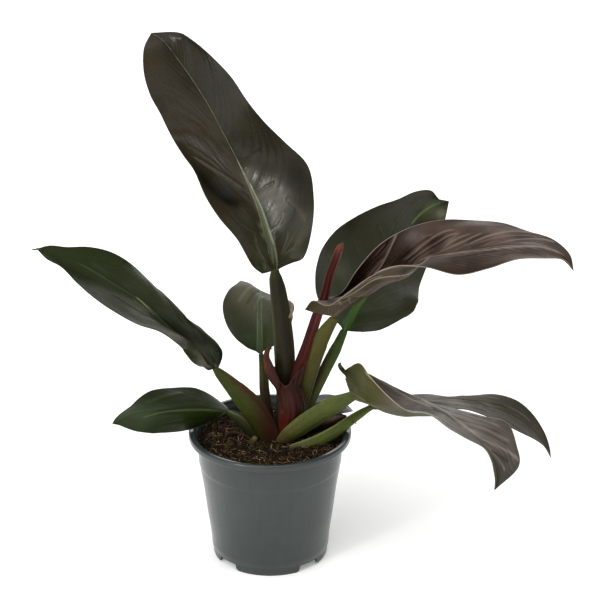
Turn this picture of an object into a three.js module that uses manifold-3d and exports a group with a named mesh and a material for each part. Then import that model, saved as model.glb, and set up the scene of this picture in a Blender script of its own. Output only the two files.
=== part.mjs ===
// A potted philodendron in a round nursery pot. Millimetres, +Z up, the pot stands on z = 0.
// Nine leaf blades on nine petioles, a rolled new leaf, the sheaths round them, a short stem, soil and the pot.
import * as THREE from 'three';
import { mergeVertices } from 'three/addons/utils/BufferGeometryUtils.js';
import Module from 'manifold-3d';

// ---- driving dimensions (mm) ----
const RIM_R = 60; // outer radius of the rolled rim: a 12 cm pot
const POT_H = 100; // height of the pot
const BASE_R = 42.4; // outer radius at the feet
const WALL = 1.2; // wall thickness
const LIP_H = 5; // height of the rolled rim
const LIP_IN_R = 56; // inner edge of the rim
const FLOOR_Z = 6; // underside of the raised floor
const FOOT_GAP_H = 5.5; // height of the gaps between the four feet
const FOOT_GAP_DEG = 23; // angle of each gap
const FOOT_TURN_DEG = -2.6; // the front foot is turned a little to the left
const DRAIN_R = 3.5; // drain holes in the floor
const SOIL_Z = 92; // soil surface, 8 below the rim
const BLADE_T = 1.2; // thickness of a leaf blade's solid
const GAP = 0.35; // clearance between neighbouring pieces
const POT_X = -26.6; // the pot's axis, measured from the middle of the whole plant's width
const POT_Y = -49.7; // and from the middle of its depth
const SEG = 40; // facets round the pot

const wasm = await Module();
wasm.setup();

// ---- solids ----
function solid(geometry) {
  const g = geometry.clone();
  for (const name of Object.keys(g.attributes)) if (name !== 'position') g.deleteAttribute(name);
  const m = mergeVertices(g, 1e-4);
  const index = [];
  const src = m.index.array;
  for (let i = 0; i < src.length; i += 3) {
    const [a, b, c] = [src[i], src[i + 1], src[i + 2]];
    if (a !== b && b !== c && c !== a) index.push(a, b, c);
  }
  const s = new wasm.Manifold(new wasm.Mesh({
    numProp: 3,
    vertProperties: new Float32Array(m.attributes.position.array),
    triVerts: new Uint32Array(index),
  }));
  return s;
}
function geometryOf(manifold) {
  // the largest connected piece, as a BufferGeometry
  const parts = manifold.decompose();
  let best = parts[0];
  for (const p of parts) if (p.volume() > best.volume()) best = p;
  const mesh = best.getMesh();
  const g = new THREE.BufferGeometry();
  g.setAttribute('position', new THREE.BufferAttribute(new Float32Array(mesh.vertProperties), 3));
  g.setIndex(new THREE.BufferAttribute(new Uint32Array(mesh.triVerts), 1));
  g.computeVertexNormals();
  return g;
}
function indexed(positions, index) {
  const g = new THREE.BufferGeometry();
  g.setAttribute('position', new THREE.BufferAttribute(new Float32Array(positions), 3));
  g.setIndex(index);
  return g;
}

// ---- curves ----
// A uniform Catmull-Rom value at t in 0..n-1 of rows of numbers.
function spline(rows, t) {
  const n = rows.length;
  const i = Math.min(Math.max(Math.floor(t), 0), n - 2);
  const f = t - i;
  const at = (k, c) => (k < 0 ? 2 * rows[0][c] - rows[1][c] : k > n - 1 ? 2 * rows[n - 1][c] - rows[n - 2][c] : rows[k][c]);
  return rows[0].map((_, c) => {
    const [a, b, d, e] = [at(i - 1, c), at(i, c), at(i + 1, c), at(i + 2, c)];
    return 0.5 * (2 * b + (d - a) * f + (2 * a - 5 * b + 4 * d - e) * f * f + (3 * b - a - 3 * d + e) * f * f * f);
  });
}

// A closed blade from a net of rows (base to tip) of seven points (left margin, midrib, right margin).
function blade(net, nu, nv, thickness) {
  const flat = net.map((row) => row.flat());
  const P = [];
  for (let i = 0; i < nu; i++) {
    const row = spline(flat, (i / (nu - 1)) * (net.length - 1));
    const pts = [];
    for (let k = 0; k < row.length; k += 3) pts.push(row.slice(k, k + 3));
    P.push(Array.from({ length: nv }, (_, j) => new THREE.Vector3(...spline(pts, (j / (nv - 1)) * (pts.length - 1)))));
  }
  const tip = P[nu - 1][(nv - 1) / 2];
  const rows = nu - 1; // the last row is the tip point
  const normalAt = (i, j) => {
    const u = P[Math.min(i + 1, rows - 1)][j].clone().sub(P[Math.max(i - 1, 0)][j]);
    const v = P[i][Math.min(j + 1, nv - 1)].clone().sub(P[i][Math.max(j - 1, 0)]);
    return v.cross(u).normalize();
  };
  const pos = [];
  for (const side of [1, -1]) {
    for (let i = 0; i < rows; i++)
      for (let j = 0; j < nv; j++) pos.push(...P[i][j].clone().addScaledVector(normalAt(i, j), (side * thickness) / 2).toArray());
    pos.push(...tip.clone().addScaledVector(normalAt(rows - 1, (nv - 1) / 2), (side * thickness) / 2).toArray());
  }
  const half = rows * nv + 1;
  const top = (i, j) => i * nv + j;
  const bot = (i, j) => half + i * nv + j;
  const [T, B] = [half - 1, 2 * half - 1];
  const f = [];
  const quad = (a, b, c, d) => f.push(a, b, c, a, c, d);
  for (let i = 0; i < rows - 1; i++)
    for (let j = 0; j < nv - 1; j++) {
      quad(top(i, j), top(i, j + 1), top(i + 1, j + 1), top(i + 1, j));
      quad(bot(i, j), bot(i + 1, j), bot(i + 1, j + 1), bot(i, j + 1));
    }
  const L = rows - 1;
  for (let j = 0; j < nv - 1; j++) {
    f.push(top(L, j), top(L, j + 1), T);
    f.push(bot(L, j + 1), bot(L, j), B);
    quad(top(0, j + 1), top(0, j), bot(0, j), bot(0, j + 1));
  }
  for (let i = 0; i < L; i++) {
    quad(top(i, 0), top(i + 1, 0), bot(i + 1, 0), bot(i, 0));
    quad(top(i + 1, nv - 1), top(i, nv - 1), bot(i, nv - 1), bot(i + 1, nv - 1));
  }
  quad(top(L, 0), T, B, bot(L, 0));
  quad(T, top(L, nv - 1), bot(L, nv - 1), B);
  return indexed(pos, f);
}

// A closed stalk along rows of [x, y, z, half width]; deep is its depth as a share of its width.
function stalk(rows, { sides = 10, per = 2, deep = 0.85, grow = 0 } = {}) {
  const n = (rows.length - 1) * per + 1;
  const C = Array.from({ length: n }, (_, i) => spline(rows, i / per));
  const p = C.map((c) => new THREE.Vector3(c[0], c[1], c[2]));
  const pos = [];
  for (let i = 0; i < n; i++) {
    const T = p[Math.min(i + 1, n - 1)].clone().sub(p[Math.max(i - 1, 0)]).normalize();
    const U = new THREE.Vector3().crossVectors(T, new THREE.Vector3(0, 1, 0)).normalize();
    const W = new THREE.Vector3().crossVectors(U, T);
    const end = i === 0 ? -grow : i === n - 1 ? grow : 0;
    const c = p[i].clone().addScaledVector(T, end);
    const [a, b] = [C[i][3] + grow, C[i][3] * deep + grow];
    for (let k = 0; k < sides; k++) {
      const t = (k / sides) * 2 * Math.PI;
      pos.push(...c.clone().addScaledVector(U, a * Math.cos(t)).addScaledVector(W, b * Math.sin(t)).toArray());
    }
    if (i === 0 || i === n - 1) (i === 0 ? (pos.first = c) : (pos.last = c));
  }
  const f = [];
  for (let i = 0; i < n - 1; i++)
    for (let k = 0; k < sides; k++) {
      const [a, b] = [i * sides + k, i * sides + ((k + 1) % sides)];
      f.push(a, a + sides, b, b, a + sides, b + sides);
    }
  const lo = n * sides;
  const hi = lo + 1;
  const { first, last } = pos;
  pos.push(...first.toArray(), ...last.toArray());
  for (let k = 0; k < sides; k++) {
    f.push(lo, k, (k + 1) % sides);
    f.push(hi, (n - 1) * sides + ((k + 1) % sides), (n - 1) * sides + k);
  }
  const g = indexed(pos, f);
  return solid(g).volume() < 0 ? indexed(pos, f.map((_, i) => f[i - (i % 3) + 2 - (i % 3)])) : g;
}
const lathe = (profile, seg = SEG) => new THREE.LatheGeometry(profile.map(([r, z]) => new THREE.Vector2(r, z)), seg).rotateX(Math.PI / 2);

// ---- nets and centre lines, from the pot's axis at soil side up, z from the ground ----
const TALL_NET = [
  [[-5.1,3.1,223.2], [0.2,1.3,225.3], [3.9,5.6,224.9], [3.8,11.7,222.4], [6.6,5.4,225.6], [10,-0.6,229.9], [15.5,-5.6,234.8]],
  [[-12.7,-8.2,235.3], [-4.8,-1.5,236.2], [0.2,7.3,233.3], [2.5,15.3,228], [9.3,11.1,232.8], [17,8.7,236.2], [25.5,8.7,234.5]],
  [[-21.9,-6.3,252.9], [-13.1,1.9,248.1], [-5.5,11.3,242.6], [0.5,21.5,236.8], [11.1,19.8,242.4], [21.3,18.6,248], [31.1,19,253.1]],
  [[-34.9,4,265.3], [-23.1,10.8,260.1], [-12.5,19.2,254.6], [-3.3,29.2,249.7], [9.2,29.8,256], [20.6,29.7,264.2], [32,29.8,272.5]],
  [[-45.1,17.8,277], [-32.6,23.2,271], [-20.4,29.9,266.3], [-8.6,37.9,263.6], [3.8,39.4,270.7], [15.7,39.5,280.4], [27.7,39.6,292.3]],
  [[-53,33.5,289.5], [-42.1,38.3,281.2], [-29.7,43.5,277.3], [-16.6,48.1,278.3], [-4.8,47.6,286.9], [5.3,45.4,297.4], [11.7,40.8,309.2]],
  [[-62.7,49.4,297.3], [-50.6,53.4,291.9], [-37.6,55.7,291.4], [-25.3,55,294.9], [-15.2,51.8,303.5], [-7.6,47.2,313.8], [-3,40.3,324.7]],
  [[-71.7,63.8,306.6], [-58.2,64.5,306.8], [-45.6,62.7,308.6], [-34.5,59,312.3], [-26.1,54.2,320.3], [-19.9,48.7,330], [-15.7,42.1,340.5]],
  [[-79.2,63.8,323.7], [-66.7,63.7,324.5], [-54.9,63.1,326.3], [-43.9,62.4,329.9], [-36.7,57.2,337.1], [-31.1,51.8,346.1], [-26.8,46.4,356.4]],
  [[-85.7,57.6,340], [-74.6,58.8,341.5], [-64,60.9,343.9], [-54.3,64.1,347.3], [-47.4,61,353.6], [-42.6,56.6,361.3], [-40,51,369.9]],
  [[-89.4,54.6,357.1], [-80.8,57,359.2], [-72.6,60.3,361.4], [-65.5,64.8,364.1], [-59.9,65.4,368.8], [-55.6,63.3,374], [-53.3,59,379.4]],
  [[-89.3,59.3,373.7], [-83.8,61.6,373.7], [-79.2,64.7,374.8], [-75.3,68.1,376.3], [-72.6,69.9,378.2], [-69.5,70.6,380.4], [-64.8,71.2,381.8]],
  [[-84.7,74.1,380.9], [-84.7,74.1,380.9], [-84.7,74.1,380.9], [-84.7,74.1,380.9], [-84.6,74.1,380.9], [-84.5,74.1,380.9], [-84.5,74.1,380.9]]
];
const LEFT_UPPER_NET = [
  [[-47.9,-4.9,152.9], [-44.7,-7.6,153.3], [-41.4,-9.6,153.4], [-38.9,-11.9,154.9], [-38.6,-7.8,153.3], [-37.1,-3.8,152.5], [-36.2,0.3,152.9]],
  [[-53.3,-16.4,161.5], [-49.4,-17.6,156.8], [-44.2,-16.9,156.6], [-42.4,-12.4,159.5], [-40.5,-6.7,161.4], [-35.9,-6.2,163.9], [-34,-11.5,163.9]],
  [[-57.5,-29.1,171.2], [-50.8,-28.8,165.2], [-46.4,-22.7,165.8], [-48,-13.8,166.7], [-43.7,-8.9,172], [-37.4,-12.3,176.1], [-35.3,-21.7,176.8]],
  [[-56.1,-46,178.4], [-50.8,-37.6,179.2], [-51.5,-27.3,178.8], [-56.1,-17.9,176.6], [-49.9,-14.8,183.9], [-43.4,-16.6,190.2], [-47.9,-24.2,191.7]],
  [[-61.6,-54.3,192.5], [-59.8,-43,192.4], [-61.3,-32.5,189.8], [-65,-23.1,187.4], [-58.5,-21.1,195.7], [-54.7,-18.5,204.3], [-63.1,-16.7,201.8]],
  [[-74.4,-58.8,205.2], [-73.6,-48.2,202.3], [-73.9,-38.1,200.1], [-75.3,-28.3,199.6], [-70.4,-25,207.9], [-69.7,-19.3,215.7], [-76.2,-11.5,215]],
  [[-90.6,-61.8,212.6], [-88,-51.8,211.5], [-86.4,-42.1,211], [-85.6,-33.1,212.1], [-83.8,-27.5,218.8], [-84.6,-20.8,225.1], [-88.8,-12.5,228.6]],
  [[-105.3,-62.4,221.9], [-102,-53.5,221.1], [-99.6,-44.8,221.3], [-98.3,-36.4,222.5], [-97.8,-30.1,228.3], [-98.4,-23.8,234.8], [-100,-17.3,241.6]],
  [[-119,-61.5,231.8], [-115.7,-53.8,230.9], [-113.4,-46.2,230.8], [-112.2,-38.8,231.6], [-111.5,-33.3,237.3], [-111.7,-28.3,244], [-112.3,-23.7,251.7]],
  [[-131.3,-59,242.4], [-128.9,-53,240.9], [-127.2,-46.9,240.3], [-126.3,-41,240.8], [-125.5,-37,245.7], [-125.5,-33.5,251.4], [-126.2,-30.5,257.8]],
  [[-142.1,-54.5,252.4], [-141.4,-50.9,250.7], [-140.8,-47.2,249.8], [-140.6,-43.5,249.7], [-139.7,-41.1,253.2], [-139.5,-39.1,256.9], [-139.9,-37.4,260.5]],
  [[-152.9,-50.8,257.2], [-152,-49,257.6], [-151.3,-47.3,257.9], [-150.9,-45.6,258.4], [-150.8,-44.4,259.7], [-150.8,-43.4,261.4], [-151,-42.4,263.7]],
  [[-159.7,-47.4,263.4], [-159.7,-47.4,263.4], [-159.7,-47.4,263.4], [-159.6,-47.4,263.4], [-159.6,-47.4,263.4], [-159.6,-47.4,263.4], [-159.6,-47.4,263.4]]
];
const LEFT_LOWER_NET = [
  [[-33.8,8.5,107.8], [-32.6,5.2,110], [-31.3,2.1,112], [-30,-0.8,114], [-30.9,3,115], [-32.2,6.9,114.8], [-33.5,10.8,114.2]],
  [[-41.1,6.4,104.5], [-38.2,3.5,108.1], [-35.4,0.6,111.7], [-32.8,-2.1,115.2], [-34.8,2.5,117.1], [-37.3,7.2,118.4], [-40,11.9,119.3]],
  [[-48.8,3,101.8], [-44.7,0.5,107], [-40.8,-2,112], [-37.3,-4.4,117.2], [-40,0.9,119.9], [-43.5,6.2,122.2], [-47.2,11.6,124.5]],
  [[-56.8,-1.4,101.2], [-52,-3.6,107.1], [-47.6,-5.9,113.2], [-44,-7.9,119.5], [-47,-2.2,122.9], [-50.9,3.5,126], [-55.1,9.2,129.1]],
  [[-64.1,-6.8,102.2], [-59.2,-8.5,108.4], [-54.9,-10.2,114.8], [-51.5,-11.8,121.6], [-54.6,-6.2,125.4], [-58.6,-0.7,128.8], [-63.1,4.8,131.9]],
  [[-71.5,-12.9,104.1], [-66.8,-14,110.3], [-62.8,-15.2,116.7], [-59.8,-16.2,123.4], [-62.9,-11,127.5], [-66.9,-5.9,131.1], [-71.5,-0.9,134.1]],
  [[-78.2,-19.2,106.6], [-74,-19.7,112.5], [-70.5,-20.2,118.7], [-68,-20.7,125], [-71.1,-16,129.1], [-75,-11.4,132.8], [-79.3,-6.9,136.4]],
  [[-84.3,-25.7,109.3], [-80.9,-25.4,115], [-78.1,-25.4,120.8], [-76.1,-25.4,126.6], [-79,-21.2,130.2], [-82.7,-17.1,133.7], [-87,-13.2,137.4]],
  [[-90.3,-31.5,113], [-87.7,-31,118], [-85.7,-30.6,123], [-84.2,-30.2,128], [-86.8,-26.7,130.9], [-90.1,-23.2,133.3], [-94.1,-20.1,135.4]],
  [[-96.2,-37.2,117], [-94.5,-36.3,121.2], [-93.3,-35.6,125.3], [-92.5,-35.1,129.4], [-94.7,-32.4,131], [-97.3,-29.9,132.1], [-100,-27.3,132.2]],
  [[-102.2,-41.9,121.7], [-101.4,-41.2,124.5], [-101,-40.6,127.2], [-100.9,-40.1,129.9], [-102.3,-38.4,130.3], [-104,-36.7,130.6], [-105.8,-34.9,130.8]],
  [[-107.5,-45.1,125.8], [-107.4,-44.8,126.9], [-107.3,-44.5,128], [-107.4,-44.2,129.1], [-108.1,-43.4,129.2], [-108.9,-42.6,129.3], [-109.9,-41.9,129.6]],
  [[-112.1,-47.5,128.1], [-112.1,-47.5,128.1], [-112.1,-47.5,128.1], [-112.1,-47.5,128], [-112.1,-47.5,128], [-112.1,-47.5,128], [-112.1,-47.5,128.1]]
];
const BACK_SMALL_NET = [
  [[-17.3,18.5,158.3], [-14.7,21.1,155.3], [-11.3,23.1,152.9], [-7,24,150.7], [-4.5,21.6,153.5], [-2.4,18.4,156.2], [-0.5,14.8,158.9]],
  [[-25,25.6,161.9], [-19.4,26.7,158.6], [-13.4,27.4,155.8], [-7.2,27.6,154.2], [-2.8,24.8,157.5], [2.3,22.4,160.9], [8,20,163.7]],
  [[-30.9,34.2,166.8], [-23.4,33.9,162.9], [-15.4,33.3,160.3], [-7.4,32.6,159.3], [-1.2,29.5,163.1], [6,28,166.6], [14.2,28.1,169.2]],
  [[-34.5,44.5,172], [-25.7,42.8,168.7], [-16.6,40.8,166.9], [-7.7,38.8,166.6], [-0.1,36.3,170.1], [8.3,36.5,172.2], [16.8,39,172]],
  [[-35.2,55.4,177.5], [-25.8,51.9,175.2], [-16.8,48.4,174.2], [-7.8,45.7,174.6], [0.7,45.5,176.1], [9.3,47.4,174.9], [16.8,50.1,169.8]],
  [[-31.1,67.1,182.5], [-23.3,62,181.3], [-15.7,58,180.7], [-7.8,55.7,179.9], [1.1,57,178.8], [9.1,59.1,175], [15.7,61.5,168.5]],
  [[-24.9,77.5,183.6], [-18.1,73.3,184.3], [-12.5,69.7,182.4], [-7.6,67.1,179.3], [-0,68.4,177.4], [8,70.2,173.5], [16,72.3,168.5]],
  [[-22.8,88.4,182], [-16.1,84.7,180.5], [-11.3,80.7,177.4], [-8,76.7,172.8], [-0.9,78.4,172.1], [6.6,80.4,170], [14.3,82.8,166.8]],
  [[-21.1,97.6,175.4], [-15.9,93.6,173.1], [-11.9,89.5,170.1], [-8.8,85.7,166.2], [-2.4,87.2,165.5], [4.1,89.4,164.2], [10.6,92,162.2]],
  [[-19.4,104.5,166.3], [-15.9,100.8,164.4], [-12.7,97.3,162], [-9.6,94.3,159.2], [-4.5,95.5,158.5], [0.6,97.4,157.4], [5.6,99.6,156]],
  [[-17.2,109.1,156.4], [-15.1,106.7,155.1], [-12.9,104.5,153.6], [-10.6,102.6,151.9], [-7.3,103.2,151.3], [-4,104.3,150.6], [-0.7,105.7,149.7]],
  [[-14.6,111.6,147.7], [-13.7,110.6,147.1], [-12.7,109.6,146.4], [-11.6,108.8,145.6], [-10,109,145.3], [-8.5,109.5,145], [-7,110,144.6]],
  [[-12.3,113.2,140.7], [-12.3,113.2,140.7], [-12.3,113.2,140.7], [-12.3,113.2,140.7], [-12.3,113.2,140.7], [-12.3,113.2,140.7], [-12.3,113.2,140.7]]
];
const BACK_RIGHT_NET = [
  [[43,12.1,188.5], [46.6,15.6,182.1], [50.7,18.7,176], [55.1,21.6,170.3], [58.3,15.7,172], [62.3,10,174.4], [67.2,4.2,176.8]],
  [[35.1,25.7,195], [42.3,25.9,187.2], [49.1,26.1,179.2], [56.3,26.2,171], [64.8,21.2,174], [73.1,16.9,175.6], [81.1,13.2,174.5]],
  [[33.4,42,203.2], [41,39.3,192.7], [49.4,36.9,182.6], [58.9,34.7,173], [71.3,30.5,174.4], [83.8,27.6,175.3], [96.1,25.8,176.5]],
  [[35.1,59.8,208.9], [43.9,55.3,197.8], [53.4,51.1,186.9], [63.6,47.6,176.6], [77.5,44,173.3], [91.8,42.4,172.8], [105.9,43.1,175.2]],
  [[39.7,77.5,213.9], [49.8,71.2,202.8], [60,65.4,191.9], [70.8,60.9,181.6], [82.4,59.6,173.7], [96.2,59.6,170.1], [109.7,62.5,173.3]],
  [[49.7,94,220.5], [58.2,86.7,208.2], [67.9,80.6,197], [78.4,76.2,187], [87.1,77.2,176.1], [98.5,78.9,168.5], [112,82,167.5]],
  [[64.2,106.5,226], [68.2,101.2,212.7], [75.6,96.1,200.8], [85,92.4,190.5], [91.7,94.6,179], [100.8,97.6,169.3], [112.8,100.6,162.4]],
  [[80.2,115.8,230.5], [80.1,114.4,217.1], [84.1,111.5,204.6], [91.5,108.8,193.8], [97.6,111.3,182.8], [105.2,114.9,172.5], [114.2,118.9,163]],
  [[96.4,123.9,233.1], [93.4,126,221.3], [94,126,209.1], [98.4,125.3,197.6], [104,127.7,187.2], [110.9,131.1,177.2], [118.8,135.1,167.7]],
  [[110.1,134.6,235.4], [106.6,137.4,224.7], [105,139.6,213.6], [106.1,141.4,202.6], [111.3,143.4,192.8], [117.6,146,183.3], [124.7,149.3,174.3]],
  [[123,144.8,232.7], [119.2,148.7,225.2], [117.1,152.5,217], [116.1,156,208.8], [120.3,157,200.2], [125.3,158.4,191.8], [130.9,160.2,183.9]],
  [[130.7,153.8,221.7], [130,158.2,220.2], [128.9,161.6,217], [128,164.6,213.5], [129.8,164.7,207.8], [132.4,165.2,202.4], [135.6,165.9,197.5]],
  [[138.9,168.1,214.6], [138.9,168.1,214.6], [138.9,168.1,214.6], [138.9,168.1,214.6], [138.9,168.1,214.6], [138.9,168.1,214.6], [138.9,168.1,214.6]]
];
const ARCHING_NET = [
  [[38.3,5.7,202.7], [42.5,2.2,203.8], [42,-1.8,194.6], [46.9,-6.1,193.8], [40.2,-6.3,195], [33,-7,197.1], [25.7,-7.3,199.9]],
  [[48,18.1,199.2], [49.8,11.3,194.6], [50.6,2.9,194.1], [50.6,-6.2,197.4], [43.4,-6.9,203.8], [37.7,-12.4,208.2], [31.5,-19.1,211.8]],
  [[54.4,0.7,211.9], [59.9,11.3,208.4], [62.7,4.9,199.7], [58.2,-5.1,204], [52.5,-12.2,211.9], [48.4,-22.8,214], [42.4,-34.9,214.8]],
  [[64.2,-5,231.1], [70.5,3.7,222.8], [76.8,3.8,211.4], [70.3,-7,214.2], [69,-20.1,216], [62.8,-31.4,222.5], [55.7,-43.8,228.5]],
  [[80.1,-3,249.3], [84.7,-2.4,236], [90.9,-0.8,224.2], [84,-11.5,225.6], [82.7,-25.1,226.7], [77.6,-37.7,233.1], [71.7,-47.5,242.9]],
  [[101.3,-2.2,261.5], [101.5,-7.2,249.2], [106,-8,237], [98.9,-18.6,237.4], [96.9,-32.7,236.5], [94.2,-45.6,241.9], [88.9,-55.5,253]],
  [[123.8,-3.7,267.4], [119.3,-12.4,260.1], [120.5,-16.5,248.9], [113.9,-26.2,247.9], [110.5,-37.6,251], [109.2,-50.5,254], [108.4,-64,256.3]],
  [[145.2,-9.1,269.2], [138.4,-18.2,267.7], [133.9,-26.2,261.5], [131,-34.2,254.8], [128.5,-44.7,257.1], [128.4,-56.5,257], [130.5,-67.6,252.2]],
  [[164.6,-17.4,270.6], [157.9,-24.9,268.7], [152.6,-32.7,265.4], [149.2,-40.5,260.6], [147.9,-49.9,260.8], [148.6,-59.6,259.4], [151.3,-69,257.6]],
  [[182.1,-27.3,267.8], [176.5,-33.1,267.7], [171.8,-39.3,266.8], [168.3,-45.9,265.5], [167.9,-53.1,263.8], [168.8,-60.6,262.7], [170.9,-68,264.1]],
  [[197.7,-38.8,266.7], [193.9,-42.2,265.3], [190.7,-46.1,265.3], [188.6,-50.3,266.3], [188,-54.8,264.7], [188.4,-59.6,263.6], [189.8,-64.4,263.2]],
  [[208.5,-48.9,260.1], [206,-50.1,259.4], [204.5,-51.8,259.6], [204.3,-53.5,260.8], [203.2,-55.2,259.7], [203,-57.2,259.1], [203.9,-59,259.8]],
  [[211.2,-56.5,250.6], [211.2,-56.5,250.6], [211.2,-56.5,250.6], [211.2,-56.5,250.6], [211.2,-56.5,250.6], [211.2,-56.5,250.6], [211.2,-56.5,250.6]]
];
const FRONT_RIGHT_NET = [
  [[52,-1,143.6], [53.5,-5,139.3], [55.5,-9.6,135.8], [58.4,-14.6,133.4], [57,-12.7,139.2], [54.6,-10.9,145.9], [52.5,-10.2,152]],
  [[63.9,-8.3,150.7], [57.7,-11.7,147], [54.6,-15,141.7], [54.5,-18.2,136], [57.1,-18.8,143.3], [58.4,-19.5,151.4], [58.3,-20.3,159.8]],
  [[71.5,-19.8,156], [62.8,-20.9,153.7], [56.6,-23.1,147.6], [54.1,-26.1,139.5], [59.2,-28.7,145.8], [63.3,-30.6,154.8], [65.5,-32.3,167.3]],
  [[81.2,-11.3,145.4], [73.5,-15.1,143.6], [69,-21.8,141.3], [67.7,-29.4,138], [72.8,-37.4,140.7], [72.6,-41.7,152.2], [72.6,-47.8,164.8]],
  [[92.6,-2.9,135.2], [83.9,-10,130.9], [80.6,-19.5,130.7], [81.5,-29.6,134.2], [85.3,-42.3,137.6], [83,-51,148.2], [83.5,-59.9,157.3]],
  [[104.7,1.3,126.8], [99.4,-10.1,123.5], [96.2,-20.7,125.8], [94.8,-30.5,132.7], [96.4,-40,143.8], [97.7,-52,150.3], [97.8,-65.5,150.2]],
  [[119.8,-3.3,122.4], [115.8,-12.7,125], [111.6,-22.6,128.1], [108.2,-33.5,132.3], [109.5,-43.7,139.6], [111.4,-55,143.8], [112.8,-66.2,145.1]],
  [[137.4,-10.4,120.8], [132.2,-17.6,124.2], [126.9,-26.7,126.9], [122,-37.4,128.7], [122.6,-47.4,132.5], [124.3,-57.5,134.5], [127.3,-67.6,134.3]],
  [[155.4,-18.8,119.8], [148.6,-24.6,121.8], [141.8,-32.2,122.4], [135.4,-41.1,121.4], [136.3,-49.4,124.2], [138.2,-57.5,125.5], [140.2,-65.4,125.2]],
  [[172.2,-28,119.2], [163.5,-32.7,116.4], [155.8,-38,114.7], [149.1,-43.9,112.8], [150.4,-49.9,115], [151.9,-55.8,115.9], [153.3,-61.3,115.5]],
  [[178.5,-38,106.5], [172.1,-40.5,103.5], [165.9,-43.2,101.6], [160.2,-46.3,100.4], [160.7,-50,101.3], [160.8,-53.2,101.7], [159.6,-55.3,102.4]],
  [[179.7,-46.3,92.6], [171.8,-47.4,89.6], [167.1,-48.3,88.1], [163.7,-49.5,87.5], [163.2,-51.3,87.8], [162.9,-52.5,88.2], [162.9,-52.9,89.2]],
  [[162.9,-52.7,77.6], [162.9,-52.7,77.6], [162.7,-52.8,77.5], [162.6,-52.8,77.4], [162.7,-52.8,77.3], [162.7,-52.8,77.4], [162.7,-52.8,77.4]]
];
const LOW_RIGHT_NET = [
  [[67,17.2,106], [71.3,14.8,108], [75.6,12.2,110.1], [80.3,9.3,112.5], [75.3,8.5,113.8], [73.9,4.9,115.6], [77,-0.3,116.1]],
  [[76,27.5,104.7], [77.9,22.5,106.9], [80,17.6,109.2], [82.2,13,111.5], [80.8,12.5,116.4], [82.1,9.4,117.4], [84.2,7,112.6]],
  [[87.7,38,104.2], [87.6,30.8,106.3], [88,24.1,108.6], [89,18,111.5], [90.7,14.8,117.2], [93.1,8.7,118], [94.4,1,114.2]],
  [[102.6,46.4,104.7], [101.2,37.9,106.3], [100.5,29.9,108.7], [101,22.5,111.8], [103.8,15.7,115.3], [106.4,7.5,116.2], [108.3,-1.5,115.2]],
  [[119.2,50.8,103.8], [116.6,42.1,106], [115.1,33.7,108.6], [115,25.4,111.4], [117.8,17,113.2], [121.3,8.4,114.5], [124.9,0.4,115.8]],
  [[136.9,52.2,100.9], [133.5,44.4,104.9], [131.3,36.1,107.8], [130.7,27.6,110.1], [133.6,19.1,111.2], [137.8,10.9,112.5], [143.4,3.7,114.4]],
  [[153.8,53.2,101.5], [150.1,45.5,104.2], [147.4,37.6,106.1], [146.3,29.5,107.4], [149.2,21.5,107.9], [153.4,13.8,108.1], [159,6.6,107.9]],
  [[170.4,53,102.4], [166.4,45.7,102.6], [163.4,38.4,103], [161.8,31.2,103], [164.2,24,102.6], [167.9,17,101.5], [172.6,10.2,99.5]],
  [[186.1,50.9,98.3], [181.7,44.9,97.7], [178.5,38.9,97.3], [176.6,32.9,96.8], [178.4,26.7,95.6], [181.2,20.6,93.5], [184.8,14.8,90.7]],
  [[198.5,47.8,88.6], [194.6,43.6,88.6], [191.8,39.1,88.4], [190.1,34.5,88.1], [191.2,29.7,86.6], [193.2,25,84.5], [196,20.5,82]],
  [[206.8,44,76.7], [204.3,41.6,76.7], [202.4,38.9,76.7], [201.4,36.1,76.6], [201.8,33,75.5], [203,29.9,74.3], [204.8,26.9,72.9]],
  [[211,40.3,66], [209.7,39.3,65.8], [208.8,38.1,65.7], [208.3,36.9,65.6], [208.4,35.4,65.2], [209,34,64.8], [209.9,32.6,64.4]],
  [[212.6,37.1,56.9], [212.6,37.1,56.9], [212.6,37.1,56.9], [212.6,37.1,56.8], [212.6,37.1,56.8], [212.6,37.1,56.8], [212.6,37.1,56.8]]
];
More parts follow.
